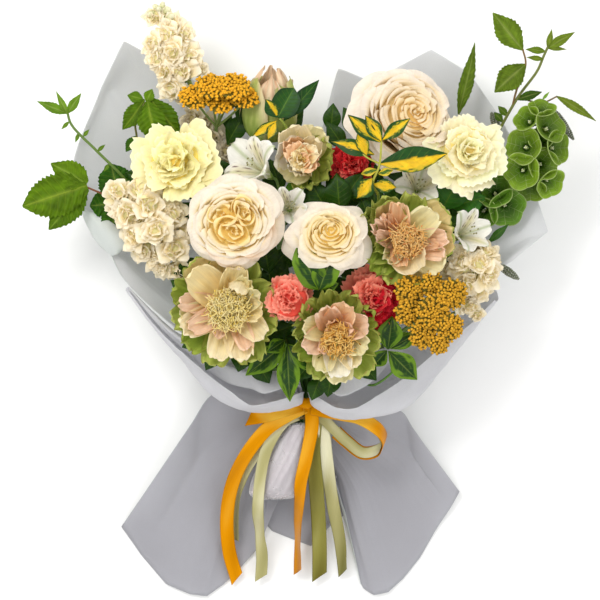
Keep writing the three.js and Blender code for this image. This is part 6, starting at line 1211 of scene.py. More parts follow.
# ------------------------------------------------------------------ alstroemeria
alstroemeria("alstroemeria_centre", [288, 206, 170], [-0.05, 0.15, 0.98], 21, 42, 41, spin=0.9).build()
alstroemeria("alstroemeria_right", [472, 230, 150], [0.45, 0.2, 0.87], 24, 44, 42, spin=0.2).build()
alstroemeria("alstroemeria_rear_left", [246, 162, 158], [-0.55, 0.35, 0.75], 31, 48, 43, spin=0.5, wide=1.15).build()
alstroemeria("alstroemeria_rear_right", [418, 183, 142], [0.05, 0.25, 0.96], 25, 44, 44, spin=1.2).build()


# ------------------------------------------------------------------ yarrow
def yarrow(name, H, d, h, clusters, seed, tone=("#ffc436", "#f2a51a", "#c88410")):
    pc = Piece(name, name, slot="yarrow_gold")
    g = np.random.default_rng(seed)
    stem(pc, name, "#7c9656", "#5c7a42")
    D = unit(np.array(d, float))
    F = frame_of(D)
    hub = at(H) - D * h
    a = np.linspace(0, 2 * math.pi, 10, endpoint=False)
    lob = 1 + 0.16 * np.cos(5 * a)
    for x, y, z, r in clusters:
        c = at([x, y, z])
        mid = hub * 0.45 + c * 0.55 - D * 4
        twig(pc, [hub + D * 1, mid, c - D * 5], 1.25, "#7c8f4c", layout=False)
        lathe(pc, c, F, [(0.8, -8), (1.6, -7), (0.55 * r, -4.2), (0.94 * r, -1.2), (0.8 * r, 0.2), (0.3 * r, 1.4)], mix(lin("#5a6a2c"), lin("#6a5a14"), np.linspace(0, 1, 24)), M["bud"], 16)
        for k in range(7):
            q = k * 0.9 + g.uniform(0, 0.4)
            e = np.array([math.cos(q) * r * 0.8, math.sin(q) * r * 0.8, -1.5])
            twig(pc, np.array([c - D * 7, c + (e * [0.5, 0.5, 1] + [0, 0, -3]) @ F.T, c + e @ F.T]), 0.6, "#8a9450", layout=False, steps=6)
        n = int((r * 1.05 / 1.58) ** 2)
        for i in range(n):
            rho = r * 1.05 * math.sqrt((i + 0.5) / n)
            th = i * 2.39996 + g.normal(0, 0.12)
            s = g.uniform(1.25, 1.7)
            zz = 4.2 * (1 - (rho / r) ** 2) + g.normal(0, 0.8)
            tilt = unit(np.array([math.cos(th) * rho / r * 0.55, math.sin(th) * rho / r * 0.55, 1.0]))
            Ff = frame_of(tilt, spin=g.uniform(0, 6))
            rr = np.array([0.05, 0.38, 0.62, 1.0, 0.72])
            hz = np.array([0.55, 0.50, 0.12, 0.30, -1.1])
            L = np.stack([rr[:, None] * lob * np.cos(a) * s, rr[:, None] * lob * np.sin(a) * s, np.broadcast_to(hz[:, None] * s, (5, 10))], -1)
            P3 = np.array([rho * math.cos(th), rho * math.sin(th), zz]) + L @ Ff.T
            k = g.uniform(0.82, 1.14)
            cc = np.stack([lin(tone[1]), lin(tone[0]) * 1.06, lin(tone[1]) * 0.8, lin(tone[0]), lin(tone[2]) * 0.7])[:, None] * k
            pc.grid(c + P3 @ F.T, np.broadcast_to(cc, (5, 10, 3)), np.zeros((5, 10, 3)), M["dust"], closed=True)
    return pc.build()


yarrow("yarrow_right", [431, 309, 164], [0.25, -0.12, 0.95], 58,
       [[431, 311, 165, 17], [408, 290, 162, 15], [450, 294, 162, 15], [447, 327, 162, 14], [421, 334, 161, 14], [406, 312, 161, 13], [430, 284, 160, 12], [437, 344, 159, 10]], 51,
       ("#f2bc3e", "#e4a426", "#a87c1c"))
yarrow("yarrow_left", [219, 95, 130], [0.05, 0.62, 0.78], 52,
       [[196, 98, 126, 16], [212, 88, 134, 16], [234, 88, 134, 17], [246, 99, 128, 14], [222, 103, 124, 15]], 52)


# ------------------------------------------------------------------ stock
def stock(name, axis, florets, seed, tone=("#faf0d8", "#f6e6b8", "#e2d884"), tone2=None, buds=(), more=True, leafy=()):
    pc = Piece(name, name, slot="petal_cream")
    g = np.random.default_rng(seed)
    stem(pc, name, "#86a05c", "#5f8446")
    line = at(np.array([[*STEMS[name][1][0]]] + [list(p) for p in axis], float))
    pc.tube(ccr(line, 40), np.linspace(STEMS[name][0], 1.9, 41), lin("#8ea560"), M["stem"], 9)
    for k, (x, y, z, r) in enumerate(florets):
        c = at([x, y, z])
        q = nearest(line, c)
        d = unit(unit(c - q + [0, 0, 1e-3]) * 0.75 + np.array([0, 0, 0.9]))
        t = tone if tone2 is None or k < len(florets) - tone2[0] else tone2[1]
        twig(pc, np.array([q, (q + c) / 2 - [0, 0, 2], c - d * r * 0.5]), 1.0, "#8fa664", layout=False)
        ball(pc, c - d * r * 0.75, r * 0.24, lin("#8ba060"), M["bud"], d, 1.4)
        floret(pc, c, d, r * 1.18, seed * 97 + k, n=13, tone=t, frill=1.0, heart="#eee8ac" if t is tone else "#d2c48e")
    for (x, y, z, s) in buds:
        c = at([x, y, z])
        q = nearest(line, c)
        d = unit(c - q + [0, 0.01, 0.5])
        ball(pc, c, s, lin("#c9cf8a"), M["bud"], d, 1.5, tipcol=lin("#eee8cc"))
        twig(pc, np.array([q, c - d * s]), 0.7, "#98ac66", layout=False)
    return pc.build()


stock("stock_right", [[470, 276, 130], [479, 264, 146]],
      [[479, 262, 148, 14], [458, 262, 142, 15], [489, 276, 140, 14], [466, 285, 136, 15], [487, 250, 136, 12], [452, 284, 128, 14], [480, 292, 126, 13], [470, 274, 136, 14], [476, 246, 128, 12], [492, 262, 128, 12], [462, 296, 122, 12], [450, 270, 124, 13], [468, 307, 118, 12], [477, 316, 112, 8]], 61)
stock("stock_left", [[160, 232, 120], [130, 202, 126], [116, 190, 126]],
      [[119, 194, 130, 15], [141, 188, 130, 15], [127, 216, 134, 16], [152, 206, 140, 16], [134, 238, 128, 15], [157, 232, 142, 17], [176, 213, 134, 15], [176, 250, 130, 16], [155, 257, 118, 14], [140, 204, 128, 14], [168, 222, 130, 14], [143, 224, 130, 14], [117, 208, 122, 13], [166, 246, 124, 14], [142, 252, 118, 13], [166, 192, 126, 13], [184, 232, 124, 13], [175, 272, 114, 13], [161, 268, 112, 11]], 62)
stock("stock_top_left", [[200, 112, 74], [185, 70, 86], [172, 32, 92], [160, 10, 92]],
      [[152, 17, 94, 11], [174, 21, 95, 12], [186, 34, 95, 11], [166, 37, 98, 14], [150, 44, 94, 12], [153, 58, 93, 12], [172, 53, 100, 14], [190, 56, 96, 13], [199, 68, 92, 11], [163, 71, 94, 13], [181, 73, 98, 14], [170, 89, 93, 14], [184, 96, 90, 12],
       [190, 118, 82, 13], [204, 124, 83, 13], [213, 136, 84, 15], [228, 152, 84, 14]], 63,
      tone2=(4, ("#e6dcc6", "#d8cba6", "#b8b070")),
      buds=[(156, 7, 94, 3.2), (162, 5, 94, 3.0), (167, 10, 95, 3.4), (151, 13, 94, 3.2), (170, 17, 96, 3.6), (159, 9, 98, 3.0)])


# ------------------------------------------------------------------ bells of Ireland
def bells(name, axis, cups, seed):
    pc = Piece(name, name, slot="calyx_green")
    g = np.random.default_rng(seed)
    stem(pc, name, "#8fb03c", "#6f9436")
    line = at(np.array([[*STEMS[name][1][0]]] + [list(p) for p in axis], float))
    pc.tube(ccr(line, 40), np.linspace(2.4, 1.8, 41), lin("#93b540"), M["stem"], 9)
    for k, (x, y, z, dx, dy, dz, r) in enumerate(cups):
        d = unit(np.array([dx, dy, dz], float))
        F = frame_of(d, spin=g.uniform(0, 6))
        O = at([x, y, z])
        nu, nv = 60, 22
        a = np.linspace(0, 2 * math.pi, nu, endpoint=False)
        v = np.linspace(0, 1, nv)
        p = crom(np.array([(1.6, -14.5), (3.4, -13.5), (4.8, -9.5), (0.66 * r, -4.5), (0.96 * r, -0.6), (1.10 * r, 0.6)]), v)
        lobe = (0.5 + 0.5 * np.cos(5 * a))[None] ** 0.6
        rad = p[:, :1] * (1 + (0.10 * lobe - 0.05) * (v[:, None] ** 2)) + 0.35 * np.sin(3 * a + k)[None] * v[:, None] ** 2
        zz = p[:, 1:2] + (-1.1 + 1.3 * lobe) * (v[:, None] ** 4) + 0.4 * np.sin(2 * a + k * 2)[None] * v[:, None] ** 3
        U = np.stack(np.broadcast_arrays((((a / (2 * math.pi) * 5) % 1) * 2 - 1)[None], v[:, None], np.full((nv, nu), k * 0.13)), -1)
        base = mix(lin("#426c08"), lin("#86a822"), np.broadcast_to(sstep(0.25, 0.95, v)[:, None], (nv, nu)))
        tone = g.uniform(0.80, 1.10) * (np.array([0.62, 0.82, 1.15]) if k >= 10 else 1.0)
        col = mix(base * tone, lin("#c6d88a"), np.broadcast_to(sstep(0.955, 1.0, v)[:, None] * 0.7, (nv, nu)))
        L = np.stack([rad * np.cos(a), rad * np.sin(a), zz], -1)
        Lin = np.stack([(rad - 0.5) * np.cos(a), (rad - 0.5) * np.sin(a), zz + 0.35], -1)
        pc.grid(O + np.concatenate([L, Lin[::-1]]) @ F.T, np.concatenate([col, col[::-1] * 1.04]), np.concatenate([U, U[::-1]]), M["calyx"], closed=True)
        ball(pc, O - F[:, 2] * 8.5, 1.9, lin("#c4cf8e"), M["dust"], F[:, 2], 1.1)
        for j in range(3):
            e = np.array([math.cos(j * 2.1), math.sin(j * 2.1), 0]) * 1.2 + [0, 0, 1.6]
            ball(pc, O + (np.array([0, 0, -8.2]) + e) @ F.T, 0.7, lin("#e4e6c4"), M["dust"])
        q = nearest(line, O - d * 12)
        twig(pc, np.array([q, O - d * 14.5]), 1.1, "#93b540", layout=False, steps=6)
    for k in range(10):
        t = k / 9
        c = at([542 - 20 * t - 3 * math.sin(k * 2.2), 100 + 62 * t, 104 + 4 * math.cos(k * 1.7)])
        dd = unit(np.array([g.normal(0, 0.5), 0.7, 0.3]))
        blade(pc, M["plainleaf"], c, c + dd * g.uniform(7, 12), 3.0, green("#6d9a26", "#c0d870"), LANCE, layout=False, seed=seed + k)
    return pc.build()


bells("bells_of_ireland", [[504, 198, 100], [524, 170, 104], [536, 138, 106], [541, 112, 108]],
      [[541, 109, 118, 0.05, 0.78, 0.62, 13], [525, 119, 120, -0.5, 0.45, 0.74, 13], [549, 127, 124, 0.5, 0.35, 0.8, 16], [557, 148, 118, 0.75, 0.05, 0.66, 16], [522, 147, 127, -0.35, 0.15, 0.92, 17],
       [539, 140, 118, 0.1, 0.3, 0.95, 11], [520, 172, 125, -0.25, -0.15, 0.95, 17], [542, 165, 121, 0.35, -0.05, 0.93, 15], [550, 184, 112, 0.5, -0.5, 0.7, 15], [530, 191, 108, 0.05, -0.75, 0.65, 15],
       [494, 191, 110, -0.15, 0.35, 0.92, 17], [507, 208, 106, 0.3, -0.35, 0.85, 18], [481, 213, 104, -0.35, -0.3, 0.88, 16]], 71)

# ------------------------------------------------------------------ variegated euonymus
pc = Piece("euonymus_centre", "euonymus_centre", slot="foliage_variegated")
stem(pc, "euonymus_centre", "#8aa040", "#5f8436")
top = STEMS["euonymus_centre"][1][0]
twig(pc, [top, [372, 184, 160], [378, 168, 168], [380, 144, 172]], 1.3, "#a8a840")
twig(pc, [[378, 166, 168], [366, 160, 168.5], [361, 156, 168]], 1.0, "#a8a840")
for k, (a, b, w, fl, cut) in enumerate([
        ([379, 145, 171], [347, 118, 172], 16, 0.0, 0.42), ([380, 144, 172], [364, 119, 176], 15, 0.0, 0.55), ([381, 143, 171], [408, 122, 176], 14, 0.0, 0.45),
        ([373, 157, 167], [331, 144, 162], 16, 0.35, 0.50), ([366, 158, 168], [357, 134, 170], 13, 0.0, 0.75), ([378, 166, 168], [445, 156, 166], 25, 1.0, 0.86),
        ([371, 180, 162], [356, 200, 160], 19, 0.0, 0.55), ([372, 186, 160], [395, 189, 160], 14, 0.0, 0.62)]):
    blade(pc, M["leaf"], a, b, w, variegated(80 + k, cut, flip=fl), LEAF, arch=0.06, fold=0.22, curl=0.05, wave=0.8, seed=80 + k, bend=0.05 * (-1) ** k)
for k, (a, b, w) in enumerate([([377, 176, 165], [392, 172, 168], 8), ([376, 172, 166], [360, 176, 163], 8)]):
    blade(pc, M["leaf"], a, b, w, two_tone("#2f5f1c", "#d8c030", 0.45, 200 + k), LEAF, seed=90 + k)
pc.build()

pc = Piece("euonymus_left", "euonymus_left", slot="foliage_variegated")
stem(pc, "euonymus_left", "#7f9440", "#5f8436")
top = STEMS["euonymus_left"][1][0]
twig(pc, [top, [286, 128, 126], [280, 120, 132]], 1.3, "#8fa040")
blade(pc, M["leaf"], [278, 119, 132], [294, 90, 134], 27, green("#1f4c18", "#5f8a40", edge="#143a12"), ROUND, arch=0.06, seed=101)
blade(pc, M["leaf"], [278, 119, 132], [266, 101, 136], 15, variegated(102, 0.5, flip=0.7), LEAF, seed=102)
blade(pc, M["leaf"], [276, 124, 132], [268, 141, 134], 11, variegated(103, 0.66), LEAF, seed=103)
blade(pc, M["leaf"], [277, 122, 131], [252, 139, 130], 10, variegated(104, 0.66), LEAF, seed=104)
blade(pc, M["leaf"], [284, 122, 129], [319, 81, 122], 17, green("#184416", "#4f7c38", edge="#103410"), LEAF, seed=105, curl=0.1)
pc.build()

# ------------------------------------------------------------------ raspberry foliage
pc = Piece("raspberry_left", "raspberry_left", slot="foliage")
stem(pc, "raspberry_left", "#4c632a", "#375123")
top = STEMS["raspberry_left"][1][0]
twig(pc, [top, [124, 178, 108], [98, 152, 114], [72, 125, 112], [68, 113, 112]], 1.5, "#59732b")
twig(pc, [[124, 201, 98], [103, 194, 110], [84, 186, 116]], 1.1, "#79472d")
twig(pc, [[150, 214, 84], [136, 207, 90], [122, 200, 99]], 1.2, "#63582b")
blade(pc, M["broad"], [88, 186, 116], [24, 207, 121], 46, green("#53720c", "#8fa438", amount=0.5, seed=1), [0.25, 0.80, 1.0, 0.95, 0.66, 0.04], arch=0.05, fold=0.08, nu=41, nv=61, serr=0.15, nt=15, pleat=1.6, np_=8, slope=1.6, seed=111)
blade(pc, M["broad"], [86, 188, 114], [50, 230, 117], 32, green("#4c6c0a", "#8aa840", amount=0.5, seed=2), [0.25, 0.75, 1.0, 0.9, 0.55, 0.04], arch=0.05, fold=0.10, nu=31, nv=47, serr=0.15, nt=12, pleat=1.3, np_=7, slope=1.5, seed=118)
blade(pc, M["broad"], [88, 184, 117], [52, 164, 119], 30, green("#5a7a10", "#96b44c", amount=0.5, seed=2), [0.2, 0.85, 1.0, 0.9, 0.5, 0.04], arch=0.05, fold=0.08, nu=31, nv=41, serr=0.15, nt=10, pleat=1.2, np_=6, slope=1.4, seed=112)
blade(pc, M["broad"], [121, 203, 95], [90, 206, 104], 30, green("#2f5a14", "#728a45", amount=0.5, seed=8), ROUND, arch=0.05, nu=31, nv=41, serr=0.12, nt=11, pleat=1.2, np_=7, slope=1.4, seed=137)
blade(pc, M["broad"], [120, 202, 98], [111, 164, 100], 36, green("#2d5818", "#728a45", amount=0.5, seed=3), ROUND, arch=0.05, nu=31, nv=41, serr=0.12, nt=11, pleat=1.2, np_=7, slope=1.4, seed=113)
blade(pc, M["broad"], [122, 203, 96], [108, 234, 106], 28, green("#35601b", "#79904b", amount=0.5, seed=4), ROUND, arch=0.05, nu=25, nv=33, serr=0.12, nt=9, pleat=0.9, np_=6, slope=1.4, seed=114)
blade(pc, M["broad"], [68, 114, 112], [38, 102, 114], 11, green("#5b7f28", "#95a363", amount=0.5), LANCE, serr=0.12, nt=9, seed=115, curl=0.1)
blade(pc, M["broad"], [68, 114, 112], [82, 94, 114], 10, green("#60832b", "#9aa668", amount=0.5), LANCE, serr=0.12, nt=9, seed=116)
blade(pc, M["broad"], [69, 116, 112], [57, 92, 116], 7, green("#658631", "#9aa668", amount=0.5), LANCE, serr=0.1, nt=7, seed=117)
for k, (a, b) in enumerate([([70, 122, 112], [62, 130, 112]), ([84, 137, 113], [90, 130, 115]), ([80, 133, 113], [76, 143, 112]), ([98, 152, 114], [106, 145, 114]), ([110, 164, 111], [104, 172, 110])]):
    blade(pc, M["broad"], a, b, 4, green("#5b7d28", "#95a363"), LANCE, seed=120 + k)
pc.build()

pc = Piece("raspberry_top_left", "raspberry_top_left", slot="foliage")
stem(pc, "raspberry_top_left", "#4c632a", "#375123")
top = STEMS["raspberry_top_left"][1][0]
twig(pc, [top, [137, 138, 104], [136, 120, 112], [146, 103, 118]], 1.15, "#63632b")
blade(pc, M["broad"], [145, 100, 116], [123, 130, 110], 20, green("#4c6c0c", "#8aa234", amount=0.5, seed=5), LEAF, nu=25, nv=41, serr=0.14, nt=12, pleat=0.9, np_=8, slope=1.5, arch=0.12, fold=0.25, bend=0.10, seed=131)
blade(pc, M["broad"], [148, 101, 119], [157, 144, 113], 30, green("#54760e", "#92a83a", amount=0.5, seed=6), LEAF, nu=31, nv=41, serr=0.14, nt=12, pleat=1.3, np_=9, slope=1.5, arch=0.10, fold=0.22, seed=132)
blade(pc, M["broad"], [150, 98, 116], [181, 135, 108], 26, green("#48680a", "#869c34", amount=0.5, seed=7), LEAF, nu=27, nv=41, serr=0.14, nt=12, pleat=1.1, np_=8, slope=1.5, arch=0.12, fold=0.25, bend=-0.08, seed=133)
blade(pc, M["broad"], [147, 103, 118], [153, 90, 119], 12, green("#587a12", "#9ab850", amount=0.5), LEAF, serr=0.14, nt=8, seed=134)
blade(pc, M["broad"], [144, 100, 116], [128, 96, 115], 13, green("#50720e", "#90ae48", amount=0.5), LEAF, serr=0.14, nt=8, seed=136)
blade(pc, M["broad"], [137, 136, 104], [126, 152, 104], 12, green("#335c16", "#708a42"), LEAF, serr=0.12, nt=9, seed=135)
pc.build()

pc = Piece("raspberry_right", "raspberry_right", slot="foliage")
stem(pc, "raspberry_right", "#596f2d", "#425925")
top = STEMS["raspberry_right"][1][0]
twig(pc, [top, [501, 127, 96], [518, 97, 104], [537, 71, 108], [543, 57, 109], [548, 46, 110]], 1.5, "#67702e")
twig(pc, [[512, 108, 101], [516, 91, 108], [525, 65, 113], [522, 50, 114]], 1.1, "#73592e")
twig(pc, [[518, 97, 104], [541, 103, 98], [557, 96.5, 100]], 0.9, "#70592b")
twig(pc, [[497, 134, 93], [470, 122, 84], [459, 113, 84]], 0.9, "#656b2e")
for k, (a, b, w, base, o) in enumerate([
        ([522, 51, 114], [492, 14, 118], 27, "#607928", LEAF), ([525, 65, 113], [494, 93, 112], 27, "#597025", LEAF), ([516, 100, 103], [542, 92, 102], 10, "#37541a", LEAF),
        ([545, 52, 109], [525, 50, 110], 8, "#637c2b", LANCE), ([547, 49, 110], [574, 33, 112], 11, "#697f2e", LANCE), ([547, 49, 110], [551, 30, 112], 7, "#6f8434", LANCE),
        ([556, 96, 100], [596.5, 121, 96], 10, "#65782b", LANCE), ([543, 60, 110], [526, 58, 111], 6, "#697f2e", LANCE), ([547, 49, 110], [566, 50, 110], 5, "#6f8434", LANCE),
        ([503, 122, 97], [494, 112, 98], 8, "#425f1d", LEAF), ([508, 116, 99], [498, 106, 100], 8, "#4c6823", LEAF)]):
    blade(pc, M["broad"], a, b, w, green(base, "#909a5c", amount=0.5, seed=20 + k), o, nu=27, nv=41, serr=0.14, nt=12, pleat=1.3 if w > 20 else 0.3, np_=8, slope=1.5, arch=0.07, bend=0.04 * (-1) ** k, seed=141 + k)
blade(pc, M["broad"], [459, 114, 84], [475, 42, 92], 16, green("#587028", "#8a9656", amount=0.5), LANCE, up=(0.25, 0, 0.97), nu=21, nv=51, serr=0.12, nt=14, seed=160, arch=0.04, pleat=0.8, np_=10, slope=1.5)
pc.build()


# ------------------------------------------------------------------ veronica
def veronica(name, pts, a, b, r, seed, tone=("#8d9180", "#6a7458", "#aeb0a2")):
    pc = Piece(name, name, slot="spike_grey")
    g = np.random.default_rng(seed)
    stem(pc, name, "#7c8c54", "#5f7844")
    twig(pc, [STEMS[name][1][0]] + pts, 1.05, "#7c8c54")
    A, B = at(a), at(b)
    D = unit(B - A)
    L = np.linalg.norm(B - A)
    F = frame_of(D)
    pc.tube(np.array([A - D * 2, A, B - D]), [1.2, 1.2, 0.5], lin("#6c7c4c"), M["stem"], 7)
    n = int(L * 9)
    for i in range(n):
        t = (i + 0.5) / n
        th = i * 2.39996
        rad = r * float(np.interp(t, [0, 0.12, 0.4, 0.75, 1], [0.55, 0.85, 1.0, 0.72, 0.2]))
        s = 0.95 * (1 - 0.45 * t) * g.uniform(0.8, 1.2)
        dd = unit(np.array([math.cos(th), math.sin(th), 0.55]))
        c = A + D * L * t + (dd * (rad - s * 0.6)) @ F.T
        ball(pc, c, s, lin(tone[i % 3]) * g.uniform(0.75, 1.2), M["dust"], dd @ F.T, 1.25, 7, 5)
    return pc.build()


veronica("veronica_right", [[550, 118, 83], [554, 111, 86]], [554, 110, 86], [574, 139, 92], 5.0, 151)
veronica("veronica_rear", [[500, 130, 79]], [500, 131, 79], [492, 112, 84], 4.6, 152)
veronica("veronica_low", [[499, 266, 106]], [499, 265.5, 106], [518, 279, 110], 4.6, 153)

# ------------------------------------------------------------------ two-tone leaf sprigs
pc = Piece("greenery_centre", "greenery_centre", slot="foliage")
stem(pc, "greenery_centre")
twig(pc, [STEMS["greenery_centre"][1][0], [322, 291, 158], [319, 288, 170]], 1.15)
blade(pc, M["leaf"], [320, 290, 169], [297, 248, 176], 28, two_tone("#1c400a", "#648818", 0.60, 161), ROUND, nu=25, nv=41, fold=0.28, arch=0.10, curl=0.10, seed=161)
blade(pc, M["leaf"], [319, 290, 170], [333, 251, 174], 26, two_tone("#1c400a", "#648818", 0.60, 162), ROUND, nu=25, nv=41, fold=0.28, arch=0.10, curl=0.10, seed=162)
blade(pc, M["leaf"], [321, 288, 167], [338, 284, 168], 12, two_tone("#1c400a", "#648818", 0.53, 163), LEAF, seed=163)
pc.build()

pc = Piece("greenery_right", "greenery_right", slot="foliage")
stem(pc, "greenery_right")
twig(pc, [STEMS["greenery_right"][1][0], [388, 351, 140]], 1.15)
for k, (a, b, w) in enumerate([([387, 349, 141], [391, 316, 146], 25), ([388, 351, 141], [416, 379, 138], 25), ([389, 348, 140], [416, 333, 136], 16), ([386, 350, 140], [372, 366, 138], 16)]):
    blade(pc, M["leaf"], a, b, w, two_tone("#1c400a", "#648818", 0.58, 165 + k), LEAF, nu=25, nv=41, fold=0.25, arch=0.09, curl=0.08, seed=165 + k)
pc.build()

pc = Piece("greenery_left", "greenery_left", slot="foliage")
stem(pc, "greenery_left")
twig(pc, [STEMS["greenery_left"][1][0], [286, 344, 130]], 1.15)
for k, (a, b, w) in enumerate([([286, 343, 130], [246, 375, 132], 23), ([287, 346, 130], [290, 401, 126], 23), ([285, 340, 130], [267, 352, 138], 15), ([288, 344, 130], [318, 372, 128], 18)]):
    blade(pc, M["leaf"], a, b, w, two_tone("#1c400a", "#648818", 0.58, 171 + k), LEAF, nu=25, nv=41, fold=0.25, arch=0.09, curl=0.08, seed=171 + k)
pc.build()


# ------------------------------------------------------------------ wrapping film
R_INNER, R_MID, R_OUT, R_BAND = 22.1, 23.9, 25.6, 27.4


def ring(deg, r, y):
    a = math.radians(deg)
    return [TIE_X + r * math.cos(a), y, TIE_Z + r * math.sin(a)]


def seen(p):
    """Shifts a point so that from straight above, 4 m up, it lies where the layout has it."""
    k = (4100.0 - p[2]) / 4000.0
    return [300 + (p[0] - 300) * k, 300 + (p[1] - 300) * k, *p[2:]]


def back_ribs(rows, radius, flare_by):
    out = []
    for deg, end, mid, *up in rows:
        end, mid = seen(end), seen(mid)
        low = max(0.0, -math.sin(math.radians(deg)))
        s = 10 + 14 * low
        fl = ring(deg, radius + flare_by, TIE_Y + s)
        fl[0] += TAIL_LEAN * s * s / (s + 15)
        out.append([end, mid, fl, ring(deg, radius, TIE_Y + 6), ring(deg, radius, TIE_Y - 5), *up])
    return at(np.array(out, float))


def loft(ribs, nu, nv, straight=0.0):
    """Surface through the ribs; near both ends of the ribs its edge runs straight from rib to rib."""
    a = np.stack([crom(r, np.linspace(0, 1, nu)) for r in ribs])
    if straight:
        q = np.linspace(0, ribs.shape[1] - 1, nu)[None, :, None]
        line = ribs[:, :1] * (1 - q) + ribs[:, 1:2] * q
        a = a + (line - a) * sstep(1.0, 0.80, q) * np.array([1.0, 1.0, 0.0])
    G = crom(a, np.linspace(0, 1, nv))
    if straight:
        t = np.linspace(0, len(ribs) - 1, nv)
        i = np.minimum(t.astype(int), len(ribs) - 2)
        f = (t - i)[:, None, None]
        s = np.linspace(0, 1, nu)
        w = straight * np.maximum(sstep(0.70, 1.0, s), sstep(0.25, 0.0, s))[None, :, None]
        G = G * (1 - w) + (a[i] * (1 - f) + a[i + 1] * f) * w
    return G


def normals(G):
    du, dv = np.gradient(G, axis=1), np.gradient(G, axis=0)
    return unit(np.cross(du, dv))


def crease(x, seed, n=9, lo=3.0, hi=16.0, sharp=0.6):
    """Sum of sharp-ridged folds of a stiff film along x."""
    g = np.random.default_rng(seed)
    out = 0.0
    for _ in range(n):
        f, p, w = g.uniform(lo, hi), g.uniform(0, 6.283), g.uniform(0.4, 1.0)
        out = out + w * (np.abs(np.sin(f * x * 1.5708 + p)) ** sharp - 0.62)
    return out / math.sqrt(n)


def facets(a, b, seed, n=26, soft=0.05):
    """Height of a crumpled sheet: the upper envelope of tilted planes over (a, b)."""
    g = np.random.default_rng(seed)
    P0 = g.uniform(0, 1, (n, 2))
    k = g.normal(0, 1, (n, 2))
    c = g.uniform(-0.15, 0.15, n)
    h = []
    for i in range(n):
        d2 = (a - P0[i, 0]) ** 2 + (b - P0[i, 1]) ** 2
        h.append(-d2 * 5.0 + 0.12 * (k[i, 0] * (a - P0[i, 0]) + k[i, 1] * (b - P0[i, 1])) + 0.05 * c[i])
    h = np.stack(h)
    m = h.max(0)
    return m + soft * np.log(np.exp((h - m) / soft).sum(0)) * 0.2


def thin(pc, G, t, col_top, col_low, mat_top, mat_low, extra_u=None):
    """A sheet of thickness t about the grid G (nv, nu, 3), top along its normals."""
    N = normals(G)
    nv, nu = G.shape[:2]
    U = np.stack(np.broadcast_arrays(np.linspace(-1, 1, nv)[:, None], np.linspace(0, 1, nu)[None], np.zeros((nv, nu))), -1)
    top, low = G + N * t / 2, G - N * t / 2
    idx = np.arange(nv * nu).reshape(nv, nu)
    q = np.stack([idx[:-1, :-1], idx[:-1, 1:], idx[1:, 1:], idx[1:, :-1]], -1).reshape(-1, 4)
    n0 = pc.n
    pc.add(top, col_top, U, mat_top, quads=q)
    pc.add(low, col_low, U, mat_low, quads=q[:, ::-1])
    rim = np.concatenate([idx[0, :], idx[1:, -1], idx[-1, -2::-1], idx[-2:0:-1, 0]])
    nxt = np.roll(rim, -1)
    q2 = np.stack([rim, rim + nv * nu, nxt + nv * nu, nxt], 1) + n0
    pc.Q.append(q2)
    pc.MQ.append(np.full(len(q2), pc.slot_of(mat_top)))
    return N


# SHADE is a darker film tone: the back sheets use it below the tie as painted shade on the skirts, and the collars mix
# a little of it in at random
LILAC, SHADE, SAGEWHITE = lin("#e6e6e9"), lin("#c0bfc6"), lin("#e2e7e3")


def film_sheet(name, ribs, nu, nv, seed, amp, skirt_amp, rest, tie=(3.0, 4.0), ends=1.0):
    """A back sheet: ribs run from the skirt through the gather at the tie to the free edge."""
    k = ribs.shape[1] - 1
    G = loft(ribs, nu, nv, 0.92)
    s = np.linspace(0, k, nu)[None, :]
    a = np.linspace(0, 1, nv)[:, None]
    tie0, tie1 = tie
    up = sstep(tie1, tie1 + 1.4, s) * (1 - 0.35 * sstep(k - 0.6, k, s))
    dn = sstep(tie0 - 0.6, tie0 - 2.0, s)
    radial = crease(a * 2.0 + 0.04 * np.sin(s * 1.7 + seed), seed, 6, 1.5, 7, 0.9)
    radial2 = crease(a * 2.0 + 0.10 * s, seed + 5, 5, 3, 10, 0.8)
    crum = facets(np.broadcast_to(a, G.shape[:2]) * 1.6, np.broadcast_to(s / k, G.shape[:2]) * 1.6, seed + 9, 60)
    crum = (crum - crum.mean()) / max(np.std(crum), 1e-6)
    D = up * (amp * (0.75 * radial + 0.35 * radial2) + 0.45 * amp * crum) + dn * skirt_amp * (0.9 * np.sin(a * 10.5 + seed + 0.5 * s) + 0.35 * radial2 + 0.16 * crum)
    near = sstep(tie0 - 1.2, tie0, s) * sstep(tie1 + 1.2, tie1, s)
    D = D + near * 0.35 * crease(a * 6.0, seed + 3, 6, 6, 20)
    G = G + normals(G) * D[..., None]
    z = G[..., 2]
    G[..., 2] = np.where(z < rest + 1.2, rest + 1.2 * np.exp((np.minimum(z, rest + 1.2) - rest - 1.2) / 1.2) * 0.9 + 0.1 * 1.2, z)
    pc = Piece(name, name, slot="film_lilac")
    # painted shade: the skirts below the tie are coloured SHADE, and the sheet above the tie is LILAC
    c = mix(SHADE, LILAC, np.broadcast_to(sstep(2.2, 4.2, s), G.shape[:2]) * (0.8 + 0.2 * np.clip(0.5 + 0.35 * wob(np.broadcast_to(a * 2, G.shape[:2]), np.broadcast_to(s / k * 2, G.shape[:2]), seed + 2), 0, 1)))
    thin(pc, G, 0.5, c * 0 + SAGEWHITE, c, M["film_in"], M["film"])
    return pc, G


